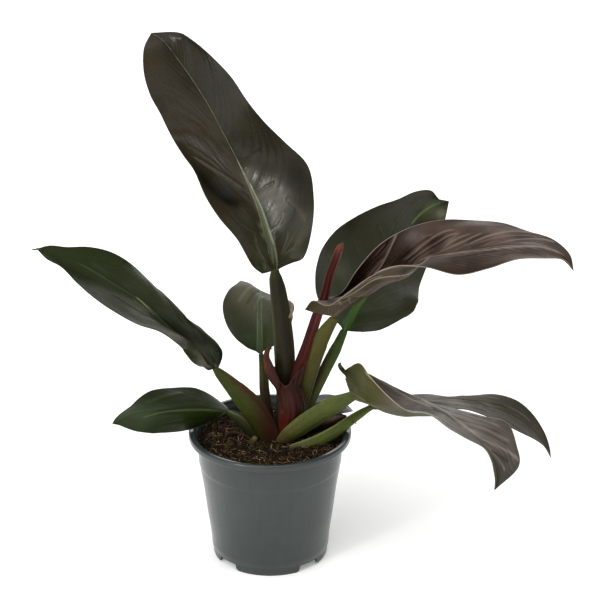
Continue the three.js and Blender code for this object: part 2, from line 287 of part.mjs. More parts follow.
const BACK_LOW_NET = [
  [[26.6,11.9,116.9], [25.2,12,115.2], [24,12.2,113.5], [23,12.9,111.7], [23.5,11.3,110.7], [23.5,9.6,109.7], [23.3,7.8,108.8]],
  [[27.8,16.3,116.3], [25.9,15.4,115.1], [25,14.5,113.5], [25.1,13.3,112], [25.9,11.4,110.6], [26.8,9.6,109], [27.6,7.7,107.4]],
  [[28.7,21.1,115.1], [27.5,19,113.7], [27.7,16.6,112.7], [28.3,13.8,112.6], [29.4,12,110.5], [30.8,10.1,108.4], [32.4,8.1,106.2]],
  [[30.4,25.5,113], [31,22.1,112.2], [31.7,18.6,112.4], [32.5,15.3,113], [33.8,13.2,110.5], [35.4,11.2,108], [37.4,9.2,105.3]],
  [[34.1,28.7,112.6], [35,24.6,112.3], [35.8,20.8,112.5], [36.9,17.4,112.8], [38.3,15.1,110.2], [40.1,13,107.6], [42.2,11.1,104.8]],
  [[38.8,31.2,112.7], [39.4,27.1,112.3], [40.3,23.3,112.1], [41.4,19.9,111.6], [42.9,17.5,109.4], [44.8,15.5,107], [47,13.6,104.4]],
  [[43.4,33.1,111.8], [43.8,29.4,111.5], [44.5,25.8,111], [45.6,22.6,110.3], [47.1,20.3,108.3], [49.1,18.4,106.1], [51.3,16.7,103.8]],
  [[47.7,34.9,110.1], [48,31.5,109.7], [48.5,28.3,109.2], [49.5,25.4,108.4], [50.9,23.4,106.7], [52.8,21.6,104.9], [55,20.2,103]],
  [[51.3,36.4,107.1], [51.7,33.5,107.1], [52.1,30.8,106.7], [52.8,28.4,105.9], [54.3,26.7,104.7], [56,25.2,103.2], [58.1,24,101.7]],
  [[54.7,37.5,103.9], [55.1,35.3,104], [55.5,33.2,103.7], [56,31.4,103.2], [57.2,30.2,102.3], [58.6,29.1,101.3], [60.3,28.3,100.2]],
  [[58,38.3,100.7], [58.2,36.9,100.6], [58.5,35.6,100.4], [58.9,34.5,100.1], [59.6,33.7,99.6], [60.6,33.1,99], [61.7,32.6,98.5]],
  [[60.6,38.7,97.9], [60.7,38,97.8], [60.8,37.5,97.7], [60.9,37,97.5], [61.3,36.6,97.3], [61.7,36.4,97.1], [62.2,36.1,96.9]],
  [[62.4,38.9,95.5], [62.4,38.9,95.5], [62.4,38.9,95.5], [62.4,38.9,95.5], [62.4,38.9,95.5], [62.4,38.9,95.5], [62.4,38.9,95.5]]
];
const TALL_STALK = [[9,6.5,98,5.2], [10.3,7,110,5.5], [11.2,7.2,124,6], [11.4,7.4,138.1,6.8], [10.9,8,159.8,7.2], [9,9.5,184.2,6.5], [6.6,11,203.8,5.7], [4.9,12,215.2,4.6], [4.2,12.3,220.5,3.2], [4,12.5,225.2,2.4]];
const SPEAR_STALK = [[14.5,1.5,119,3.2], [17,2,131,3.8], [19.6,2.5,141,4.2], [22.2,3,150.7,4.4], [27.7,2,167.3,4.1], [34.5,1,190.8,3.7], [39.7,0,207,3.2], [43.7,0,224.2,3], [47.2,0,234.3,2.9], [50.2,0,243.6,2.7], [52.6,0,247.6,1]];
const ARCHING_STALK = [[15,7,97,4.8], [19,7,106,5.6], [24.4,4,125.8,6.1], [29.5,0,149.9,7.6], [34.5,-3,164,6.5], [41,-5,180,5.1], [46.7,-6,191.6,3.5]];
const LEFT_UPPER_STALK = [[2.5,-6,90.5,7.2], [-6.4,-7,110.1,8.4], [-14,-8,123.2,8.5], [-21.5,-9,133.1,7.3], [-29.7,-10,143.2,5.5], [-35.4,-11,150.1,4], [-39.1,-12,155,2.3]];
const FRONT_RIGHT_STALK = [[3.5,-9,93.6,6.2], [17.8,-11,104.7,6.6], [29.9,-13,115.9,7.4], [42.9,-15,125.1,6.7], [54,-16,132,5.2], [60,-16.2,134.2,3.6]];
const LOW_RIGHT_STALK = [[12.6,-11,90.2,3.5], [26.2,-9,94.4,3.8], [39.9,-4,99.9,4], [55,1,104.9,3.1], [68.9,6,109.5,2.3], [80.2,9,113,1.6]];
const BACK_RIGHT_STALK = [[17,8.5,92,2.2], [24.4,10,101,2.6], [31.4,12,119.2,3.2], [40.1,16,138.9,3.9], [48.7,20,156.1,3.8], [54.5,22,169.2,2.9]];
const BACK_SMALL_STALK = [[2.5,6.5,93,3.6], [-1,9.5,106,3.9], [-3.9,14,122.7,3.5], [-4.8,19,134.2,3.1], [-5.9,22,144.2,2.2], [-6.6,24,149.8,1.8]];
const LEFT_LOWER_STALK = [[0,-1.5,89,4.8], [-6.2,-2,93.8,5.6], [-14.6,-3,102.3,5.3], [-22.6,-2,110.1,4.3], [-30.2,-1,114.6,2.3]];
const BACK_LOW_STALK = [[10.3,8,90.2,2.4], [14.8,10,98.8,2.2], [18.4,11.6,105,1.9], [19.6,12,106.6,1.3]];
const SHEATH_STALK = [[7,-3,93.5,6.6], [12.6,-2,107.4,8.3], [14.3,-1.5,118.7,10.1], [14,-1,128.9,9.8], [12.4,-0.5,137.2,7]];
const HUSK_LEFT_STALK = [[9.5,-4.5,131,3.6], [7.4,-4.6,137,3.4], [4.7,-4,142,3], [1.5,-3,148.7,2.3], [-1.1,-2,154.7,1.9], [-2.2,0,159.4,1.3], [-1.1,3,163.2,0.6]];
const HUSK_DRY_STALK = [[20.7,0,94.2,2.2], [31.1,0,99.2,3.4], [41.4,0,104.9,3.8], [50.2,0,109.1,3], [56,0,110.7,1]];
const STUB_STALK = [[-14.6,-8,88,3], [-13.1,-9,93,2.8], [-10.5,-10,98,2]];
const ROOT_STALK = [[-34.5,-6,90.5,0.7], [-33,-5.5,95.5,0.7], [-30.8,-5,98.8,0.7], [-27.8,-4,99.6,0.7], [-23.1,-4,98.7,0.7], [-18.3,-4,97.1,0.7], [-13.2,-5,93.7,0.7], [-9.5,-6,90.5,0.7]];

// ---- pot: tapered wall, rolled rim, raised floor with drain holes, four feet ----
const potWall = solid(lathe([
  [0, FLOOR_Z], [BASE_R - 1.5, FLOOR_Z], [BASE_R - 1.4, 0], [BASE_R, 0], [43.5, 7], [46.9, 35], [49.6, 57], [51.7, 70], [52.2, 74.6],
  [52.9, 75.4], [54.5, POT_H - LIP_H], [55.2, POT_H - 1.5], [RIM_R - 1.5, POT_H - 1.5], [RIM_R - 1.2, POT_H - LIP_H], [RIM_R, POT_H - LIP_H],
  [RIM_R, POT_H - 0.9], [RIM_R - 0.8, POT_H], [LIP_IN_R + 0.6, POT_H], [LIP_IN_R, POT_H - 0.7], [54.5 - WALL, POT_H - LIP_H],
  [51.6, 75], [51.7 - WALL, 70], [49.6 - WALL, 57], [46.9 - WALL, 35], [43.5 - WALL, FLOOR_Z + WALL], [0, FLOOR_Z + WALL],
]));
let pot = potWall;
for (let i = 0; i < 4; i++) {
  const width = 2 * BASE_R * Math.tan(THREE.MathUtils.degToRad(FOOT_GAP_DEG / 2));
  const cut = new THREE.BoxGeometry(12, width, FOOT_GAP_H + 1).translate(BASE_R, 0, (FOOT_GAP_H - 1) / 2);
  cut.rotateZ(THREE.MathUtils.degToRad(-90 + FOOT_TURN_DEG + 45 + 90 * i));
  pot = pot.subtract(solid(cut));
}
for (let i = 0; i < 8; i++) {
  const t = ((i + 0.5) / 8) * 2 * Math.PI;
  const hole = new THREE.CylinderGeometry(DRAIN_R, DRAIN_R, 4, 10).rotateX(Math.PI / 2).translate(33 * Math.cos(t), 33 * Math.sin(t), FLOOR_Z + WALL / 2);
  pot = pot.subtract(solid(hole));
}

// ---- stem, petioles and sheaths: each one is cut back by the ones before it ----
const pieces = []; // [name, solid, grown solid, material]
function grow(name, shape, grown, material) {
  let s = shape;
  for (const [, , g] of pieces) s = s.subtract(g);
  pieces.push([name, s, grown, material]);
}
function stalkPiece(name, rows, material, options = {}) {
  grow(name, solid(stalk(rows, options)), solid(stalk(rows, { ...options, grow: GAP })), material);
}
const mat = (name, color, roughness) => new THREE.MeshStandardMaterial({ name, color, roughness, metalness: 0 });
const M = {
  pot: mat('pot', 0x50585a, 0.45),
  soil: mat('soil', 0x3a2a1e, 1),
  dark: mat('leaf_dark', 0x3a3a2c, 0.35),
  green: mat('leaf_green', 0x2f3d2c, 0.35),
  mauve: mat('leaf_mauve', 0x5a4440, 0.4),
  olive: mat('petiole_olive', 0x5a5530, 0.45),
  bright: mat('petiole_green', 0x5a7030, 0.45),
  red: mat('sheath_red', 0x5a2620, 0.45),
  dry: mat('dry_husk', 0x4a3238, 0.8),
  root: mat('root', 0x8a6a4a, 0.8),
  stem: mat('stem', 0x4a3a28, 0.7),
};
const crownProfile = [[0, 64], [3.5, 65], [6.5, 74], [7.5, 86], [6, 93], [2.5, 96.5], [0, 97]];
const crownAt = (extra) => lathe(crownProfile.map(([r, z], i) => [r ? r + extra : 0, z + (i === 0 ? -extra : i >= 5 ? extra : 0)]), 14).translate(6, -1, 0);
grow('stem_crown', solid(crownAt(0)), solid(crownAt(GAP)), M.stem);
stalkPiece('petiole_tall', TALL_STALK, M.olive, { deep: 0.8 });
stalkPiece('spear_leaf', SPEAR_STALK, M.red, { deep: 0.85, sides: 8 });
stalkPiece('petiole_arching', ARCHING_STALK, M.olive, { deep: 0.7 });
stalkPiece('petiole_left_upper', LEFT_UPPER_STALK, M.olive, { deep: 0.7 });
stalkPiece('petiole_front_right', FRONT_RIGHT_STALK, M.bright, { deep: 0.7 });
stalkPiece('petiole_low_right', LOW_RIGHT_STALK, M.bright, { deep: 0.85, sides: 8 });
stalkPiece('petiole_back_right', BACK_RIGHT_STALK, M.bright, { deep: 0.85, sides: 8 });
stalkPiece('petiole_back_small', BACK_SMALL_STALK, M.olive, { deep: 0.8, sides: 8 });
stalkPiece('petiole_left_lower', LEFT_LOWER_STALK, M.olive, { deep: 0.8, sides: 8 });
stalkPiece('petiole_back_low', BACK_LOW_STALK, M.olive, { deep: 0.9, sides: 8 });
stalkPiece('sheath_central', SHEATH_STALK, M.red, { deep: 0.85, sides: 14 });
stalkPiece('husk_left', HUSK_LEFT_STALK, M.red, { deep: 0.6, sides: 8 });
stalkPiece('husk_dry', HUSK_DRY_STALK, M.dry, { deep: 0.6, sides: 8 });
stalkPiece('petiole_stub', STUB_STALK, M.olive, { deep: 0.9, sides: 8 });
stalkPiece('aerial_root', ROOT_STALK, M.root, { deep: 1, sides: 6 });

// ---- blades: each one has a notch where its petiole reaches it ----
const stalks = pieces.slice();
function bladePiece(name, net, material, nu = 17, nv = 7) {
  let s = solid(blade(net, nu, nv, BLADE_T));
  for (const [, , g] of stalks) s = s.subtract(g);
  pieces.push([name, s, null, material]);
}
bladePiece('blade_tall', TALL_NET, M.dark, 19, 7);
bladePiece('blade_left_upper', LEFT_UPPER_NET, M.green);
bladePiece('blade_left_lower', LEFT_LOWER_NET, M.green, 13, 7);
bladePiece('blade_back_small', BACK_SMALL_NET, M.green, 15, 7);
bladePiece('blade_back_right', BACK_RIGHT_NET, M.dark);
bladePiece('blade_arching', ARCHING_NET, M.mauve, 19, 11);
bladePiece('blade_front_right', FRONT_RIGHT_NET, M.mauve, 21, 11);
bladePiece('blade_low_right', LOW_RIGHT_NET, M.dark);
bladePiece('blade_back_low', BACK_LOW_NET, M.mauve, 11, 5);

// ---- soil: fills the pot, cut back by the stem and the stalks that enter it ----
let soil = solid(lathe([
  [0, FLOOR_Z + WALL + GAP], [43.5 - WALL - GAP, FLOOR_Z + WALL + GAP], [46.9 - WALL - GAP, 35], [49.6 - WALL - GAP, 57], [51.6 - WALL - GAP, 70], [51.6 - GAP, 76],
  [54.5 - WALL - GAP - 0.6, SOIL_Z - 0.6], [40, SOIL_Z], [22, SOIL_Z + 0.8], [0, SOIL_Z + 1],
], 30));
for (const [, , g] of stalks) soil = soil.subtract(g);

// ---- the group ----
const plant = new THREE.Group();
plant.position.set(POT_X, POT_Y, 0);
const add = (name, manifold, material) => {
  const mesh = new THREE.Mesh(geometryOf(manifold), material);
  mesh.name = name;
  plant.add(mesh);
};
add('pot', pot, M.pot);
add('soil', soil, M.soil);
for (const [name, s, , material] of pieces) add(name, s, material);
const part = new THREE.Group();
part.add(plant);
export default part;
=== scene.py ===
# A potted philodendron: glossy pointed leaves on sheathed stalks, a rolled new leaf, soil and a nursery pot.
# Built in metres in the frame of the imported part. Lengths in the tables are in millimetres from the pot's axis.
import math

import bpy
import numpy as np
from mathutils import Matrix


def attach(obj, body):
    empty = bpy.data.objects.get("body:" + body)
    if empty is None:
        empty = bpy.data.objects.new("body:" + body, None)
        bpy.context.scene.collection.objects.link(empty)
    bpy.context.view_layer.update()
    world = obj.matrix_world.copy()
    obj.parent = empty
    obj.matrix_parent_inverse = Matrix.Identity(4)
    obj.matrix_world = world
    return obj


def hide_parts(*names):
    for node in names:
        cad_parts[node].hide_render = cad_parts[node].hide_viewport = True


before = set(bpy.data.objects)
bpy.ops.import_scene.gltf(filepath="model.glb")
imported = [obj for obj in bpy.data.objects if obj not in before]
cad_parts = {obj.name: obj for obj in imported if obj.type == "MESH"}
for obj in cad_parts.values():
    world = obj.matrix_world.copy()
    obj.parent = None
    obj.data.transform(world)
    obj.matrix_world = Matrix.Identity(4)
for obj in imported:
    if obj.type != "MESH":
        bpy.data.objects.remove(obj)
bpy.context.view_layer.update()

POT = np.array([-26.6, -49.7, 0.0])  # the pot's axis in the part's frame, mm
MM = 0.001

# ------------------------------------------------------------------ camera
cam_data = bpy.data.cameras.new("camera")
cam_data.sensor_width = 36
cam_data.lens = 141.7
cam_data.clip_start, cam_data.clip_end = 0.05, 50
camera = bpy.data.objects.new("camera", cam_data)
bpy.context.scene.collection.objects.link(camera)
camera.location = [(a + b) * MM for a, b in zip((22.2, -1557.2, 885.8), POT)]
camera.rotation_euler = (math.radians(90 - 23.65), 0, 0)
bpy.context.scene.camera = camera
bpy.context.scene.view_settings.view_transform = "Standard"


# ------------------------------------------------------------------ numbers
def lin(h):
    """A hex colour as linear light."""
    c = [int(h[i : i + 2], 16) / 255 for i in (1, 3, 5)]
    return tuple(x / 12.92 if x <= 0.04045 else ((x + 0.055) / 1.055) ** 2.4 for x in c)


def step(x, a, b):
    t = np.clip((np.asarray(x, float) - a) / (b - a), 0, 1)
    return t * t * (3 - 2 * t)


def spline(P, t):
    """A uniform Catmull-Rom along the first axis of P, at t in 0..len(P)-1."""
    n = len(P)
    Q = np.concatenate([[2 * P[0] - P[1]], P, [2 * P[-1] - P[-2]]], 0)
    i = np.clip(np.floor(t).astype(int), 0, n - 2)
    f = (t - i).reshape((-1,) + (1,) * (P.ndim - 1))
    a, b, c, d = Q[i], Q[i + 1], Q[i + 2], Q[i + 3]
    return 0.5 * (2 * b + (c - a) * f + (2 * a - 5 * b + 4 * c - d) * f * f + (3 * b - a - 3 * c + d) * f**3)


TABLES = {}


def noise(p, seed=0):
    """Smooth value noise, -1..1, of points in units of one cell."""
    if seed not in TABLES:
        TABLES[seed] = np.random.default_rng(seed).uniform(-1, 1, (32, 32, 32))
    g = TABLES[seed]
    i = np.floor(p).astype(int)
    f = p - i
    f = f * f * (3 - 2 * f)
    out = 0
    for dx in (0, 1):
        for dy in (0, 1):
            for dz in (0, 1):
                w = (f[..., 0] if dx else 1 - f[..., 0]) * (f[..., 1] if dy else 1 - f[..., 1]) * (f[..., 2] if dz else 1 - f[..., 2])
                out = out + w * g[(i[..., 0] + dx) % 32, (i[..., 1] + dy) % 32, (i[..., 2] + dz) % 32]
    return out


def plane_noise(x, y, seed=0):
    x, y = np.broadcast_arrays(np.asarray(x, float), np.asarray(y, float))
    return noise(np.stack([x, y, np.full_like(x, 0.5)], -1), seed)


def unit(v):
    return v / (np.linalg.norm(v, axis=-1, keepdims=True) + 1e-12)


def line_distance(x, y, line):
    """Distance of points (x, y) to a polyline, and how far along it the nearest point is, 0..1."""
    best = np.full(np.shape(x), 1e9)
    where = np.zeros(np.shape(x))
    line = np.asarray(line, float)
    seg = np.hypot(*np.diff(line, axis=0).T)
    start = np.r_[0, np.cumsum(seg)]
    for k in range(len(line) - 1):
        a, d = line[k], line[k + 1] - line[k]
        t = np.clip(((x - a[0]) * d[0] + (y - a[1]) * d[1]) / (seg[k] ** 2 + 1e-9), 0, 1)
        r = np.hypot(x - a[0] - t * d[0], y - a[1] - t * d[1])
        near = r < best
        best = np.where(near, r, best)
        where = np.where(near, (start[k] + t * seg[k]) / start[-1], where)
    return best, where


# ------------------------------------------------------------------ meshes
def make(name, verts, faces, material, nodes=(), attrs=None, smooth=True):
    """A mesh piece in the part's frame. verts in metres; attrs: name -> (kind, values)."""
    mesh = bpy.data.meshes.new(name)
    mesh.from_pydata(np.asarray(verts).tolist(), [], faces)
    for key, (kind, values) in (attrs or {}).items():
        a = mesh.attributes.new(key, kind, "POINT")
        field = {"FLOAT": "value", "FLOAT_VECTOR": "vector", "FLOAT_COLOR": "color"}[kind]
        v = np.asarray(values, np.float32)
        if kind == "FLOAT_COLOR":
            v = np.concatenate([v, np.ones((len(v), 1), np.float32)], 1)
        a.data.foreach_set(field, v.reshape(-1))
    mesh.polygons.foreach_set("use_smooth", np.full(len(mesh.polygons), smooth))
    for m in material if isinstance(material, (list, tuple)) else [material]:
        mesh.materials.append(m)
    mesh.validate()
    mesh.update()
    o = bpy.data.objects.new(name, mesh)
    bpy.context.scene.collection.objects.link(o)
    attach(o, "root")
    if nodes:
        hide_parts(*nodes)
    return o


def grid_faces(n, m, first=0, wrap=False, flip=False):
    """Quads between n rows of m points."""
    i, j = np.meshgrid(np.arange(n - 1), np.arange(m if wrap else m - 1), indexing="ij")
    i, j = i.ravel(), j.ravel()
    k = (j + 1) % m
    q = np.stack([i * m + j, i * m + k, (i + 1) * m + k, (i + 1) * m + j], 1) + first
    return (q[:, ::-1] if flip else q).tolist()


# ------------------------------------------------------------------ materials
class Graph:
    """A small helper for node materials."""

    def __init__(self, name):
        self.mat = bpy.data.materials.new(name)
        self.mat.use_nodes = True
        self.t = self.mat.node_tree
        self.t.nodes.clear()
        self.out = self.t.nodes.new("ShaderNodeOutputMaterial")
        self.bsdf = self.t.nodes.new("ShaderNodeBsdfPrincipled")
        self.t.links.new(self.bsdf.outputs[0], self.out.inputs[0])

    def put(self, socket, value):
        if isinstance(value, bpy.types.NodeSocket):
            self.t.links.new(value, socket)
        elif value is not None:
            if hasattr(socket.default_value, "__len__") and len(socket.default_value) == 4 and len(value) == 3:
                value = (*value, 1)
            socket.default_value = value

    def set(self, **values):
        for k, v in values.items():
            self.put(self.bsdf.inputs[k.replace("_", " ")], v)

    def math(self, op, a, b=None, c=None, clamp=False):
        n = self.t.nodes.new("ShaderNodeMath")
        n.operation = op
        n.use_clamp = clamp
        for s, v in zip(n.inputs, (a, b, c)):
            self.put(s, v)
        return n.outputs[0]

    def range(self, x, a, b, lo=0.0, hi=1.0, smooth=True):
        n = self.t.nodes.new("ShaderNodeMapRange")
        n.interpolation_type = "SMOOTHSTEP" if smooth else "LINEAR"
        for k, v in (("Value", x), ("From Min", a), ("From Max", b), ("To Min", lo), ("To Max", hi)):
            self.put(n.inputs[k], v)
        return n.outputs[0]

    def mix(self, fac, a, b, kind="MIX"):
        n = self.t.nodes.new("ShaderNodeMix")
        n.data_type = "RGBA"
        n.blend_type = kind
        self.put(n.inputs["Factor"], fac)
        self.put(n.inputs[6], a)
        self.put(n.inputs[7], b)
        return n.outputs[2]

    def coords(self):
        if not hasattr(self, "_co"):
            self._co = self.t.nodes.new("ShaderNodeTexCoord").outputs["Object"]
        return self._co

    def noise(self, scale, detail=3.0, rough=0.5, vector=None, distortion=0.0):
        n = self.t.nodes.new("ShaderNodeTexNoise")
        self.put(n.inputs["Vector"], vector or self.coords())
        for k, v in (("Scale", scale), ("Detail", detail), ("Roughness", rough), ("Distortion", distortion)):
            self.put(n.inputs[k], v)
        return n.outputs[0]

    def voronoi(self, scale, vector=None, feature="F1", output="Distance"):
        n = self.t.nodes.new("ShaderNodeTexVoronoi")
        n.feature = feature
        self.put(n.inputs["Vector"], vector or self.coords())
        self.put(n.inputs["Scale"], scale)
        return n.outputs[output]

    def attr(self, name, output="Fac"):
        n = self.t.nodes.new("ShaderNodeAttribute")
        n.attribute_name = name
        return n.outputs[output]

    def sep(self, vector):
        n = self.t.nodes.new("ShaderNodeSeparateXYZ")
        self.put(n.inputs[0], vector)
        return n.outputs

    def comb(self, x, y, z):
        n = self.t.nodes.new("ShaderNodeCombineXYZ")
        for s, v in zip(n.inputs, (x, y, z)):
            self.put(s, v)
        return n.outputs[0]

    def bump(self, height, distance, strength=1.0, normal=None):
        n = self.t.nodes.new("ShaderNodeBump")
        self.put(n.inputs["Height"], height)
        self.put(n.inputs["Distance"], distance)
        self.put(n.inputs["Strength"], strength)
        if normal is not None:
            self.put(n.inputs["Normal"], normal)
        return n.outputs[0]


def leaf_material(name, rib, vein, edge, core="#40452f", rib_w=(2.2, 0.5), rib_mix=0.8, core_mix=0.8, vein_mix=0.3, second_mix=0.12, fine_mix=0.1, rough=0.36, spec=0.3, fine_bump=0.00006, blotch=0.25, coat=0.0, under_rough=0.16, fleck=0.22, rib_pow=2.2, low_at=0.75):
    """Upper face: a midrib that is a band with pale edges near the base and a thin line near the tip, side veins
    and finer ones between. Lower face: matter, with a faint net."""
    g = Graph(name)
    u, t, ph = g.sep(g.attr("leafco", "Vector"))[:3]
    under = g.attr("under")
    q = g.attr("q")
    tint = g.attr("tint", "Color")
    at = g.math("ABSOLUTE", t)
    w = g.math("ADD", g.math("MULTIPLY", g.math("POWER", g.math("SUBTRACT", 1.0, u), rib_pow), rib_w[0] - rib_w[1]), rib_w[1])
    low = g.range(u, low_at, low_at * 0.4)
    band = g.math("MULTIPLY", g.range(g.math("DIVIDE", at, w), 1.0, 0.8), low)
    away = g.math("ABSOLUTE", g.math("SUBTRACT", at, g.math("MULTIPLY", g.math("SUBTRACT", w, 0.25), low)))
    lines = g.range(away, g.math("MULTIPLY", w, 0.5), 0.05)
    lines = g.math("MULTIPLY", lines, g.range(g.noise(150, 3, 0.6), 0.3, 0.6, 0.35, 1.0))
    wob = g.math("MULTIPLY", g.math("SUBTRACT", g.noise(90, 2), 0.5), 0.22)
    phw = g.math("ADD", ph, wob)
    d1 = g.math("PINGPONG", phw, 0.5)
    first = g.range(d1, 0.06, 0.0)
    d2 = g.math("PINGPONG", g.math("MULTIPLY", phw, 3.0), 0.5)
    second = g.range(d2, 0.2, 0.0)
    d3 = g.math("PINGPONG", g.math("MULTIPLY", phw, 13.0), 0.5)
    fade = g.math("MULTIPLY", g.range(q, 1.0, 0.72), g.range(at, 0.4, 2.5))
    some = g.range(g.noise(45, 2), 0.4, 0.62, 0.15, 1.0)
    fade = g.math("MULTIPLY", fade, some)
    cloud = g.noise(38, 4, 0.55)
    speck = g.noise(520, 3, 0.6)
    col = g.mix(g.range(cloud, 0.35, 0.7, 0.0, blotch), tint, g.mix(1.0, tint, (0.62, 0.66, 0.62), "MULTIPLY"))
    col = g.mix(g.range(speck, 0.52, 0.75, 0.0, fleck), col, g.mix(1.0, col, (1.6, 1.6, 1.5), "MULTIPLY"))
    col = g.mix(g.math("MULTIPLY", g.math("MULTIPLY", g.range(d3, 0.5, 0.0), fine_mix), fade), col, vein)
    col = g.mix(g.math("MULTIPLY", g.math("MULTIPLY", second, second_mix), fade), col, vein)
    col = g.mix(g.math("MULTIPLY", g.math("MULTIPLY", first, vein_mix), fade), col, vein)
    upper = g.math("SUBTRACT", 1.0, g.math("MULTIPLY", under, 0.5))
    col = g.mix(g.math("MULTIPLY", g.math("MULTIPLY", band, core_mix), upper), col, lin(core))
    col = g.mix(g.math("MULTIPLY", g.math("MULTIPLY", lines, rib_mix), upper), col, rib)
    col = g.mix(g.range(q, 0.985, 1.0, 0.0, 0.75), col, edge)
    r = g.math("ADD", g.range(cloud, 0.3, 0.7, -0.05, 0.08), rough)
    r = g.math("ADD", r, g.math("MULTIPLY", under, under_rough))
    r = g.math("MINIMUM", g.math("ADD", r, g.attr("matt")), 0.95)
    r = g.math("ADD", r, g.math("MULTIPLY", g.range(speck, 0.4, 0.7), 0.06))
    height = g.math("ADD", g.math("MULTIPLY", g.math("MULTIPLY", d3, fade), 0.9), g.math("MULTIPLY", g.noise(900, 2, 0.6), 0.5))
    height = g.math("ADD", height, g.math("MULTIPLY", g.math("MULTIPLY", d2, fade), 1.6))
    height = g.math("ADD", height, g.math("MULTIPLY", g.noise(230, 3, 0.6), 1.2))
    g.set(Base_Color=col, Roughness=r, Specular_IOR_Level=spec, Normal=g.bump(height, fine_bump))
    if coat:
        g.set(Coat_Weight=coat, Coat_Roughness=0.22)
    return g.mat


def stalk_material(name, rough=0.42, spec=0.35, streak=0.3, speck_col=(0.03, 0.02, 0.012)):
    """Stalks and sheaths: lengthwise streaks and small freckles over the tint."""
    g = Graph(name)
    s, x, th = g.sep(g.attr("stalkco", "Vector"))[:3]
    tint = g.attr("tint", "Color")
    streaks = g.noise(1.0, 4, 0.65, g.comb(g.math("MULTIPLY", th, 75.0), g.math("MULTIPLY", s, 9.0), 0.0))
    freck = g.noise(700, 2, 0.6)
    cloud = g.noise(90, 3, 0.55)
    col = g.mix(g.range(streaks, 0.35, 0.7, 0.0, streak), tint, g.mix(1.0, tint, (0.5, 0.48, 0.5), "MULTIPLY"))
    col = g.mix(g.range(cloud, 0.45, 0.75, 0.0, 0.3), col, g.mix(1.0, tint, (1.5, 1.45, 1.3), "MULTIPLY"))
    col = g.mix(g.range(freck, 0.58, 0.72, 0.0, 0.5), col, speck_col)
    r = g.math("ADD", g.range(cloud, 0.3, 0.7, -0.05, 0.1), rough)
    height = g.math("ADD", streaks, g.math("MULTIPLY", g.noise(1300, 2, 0.6), 0.35))
    g.set(Base_Color=col, Roughness=r, Specular_IOR_Level=spec, Normal=g.bump(height, 0.00018))
    return g.mat


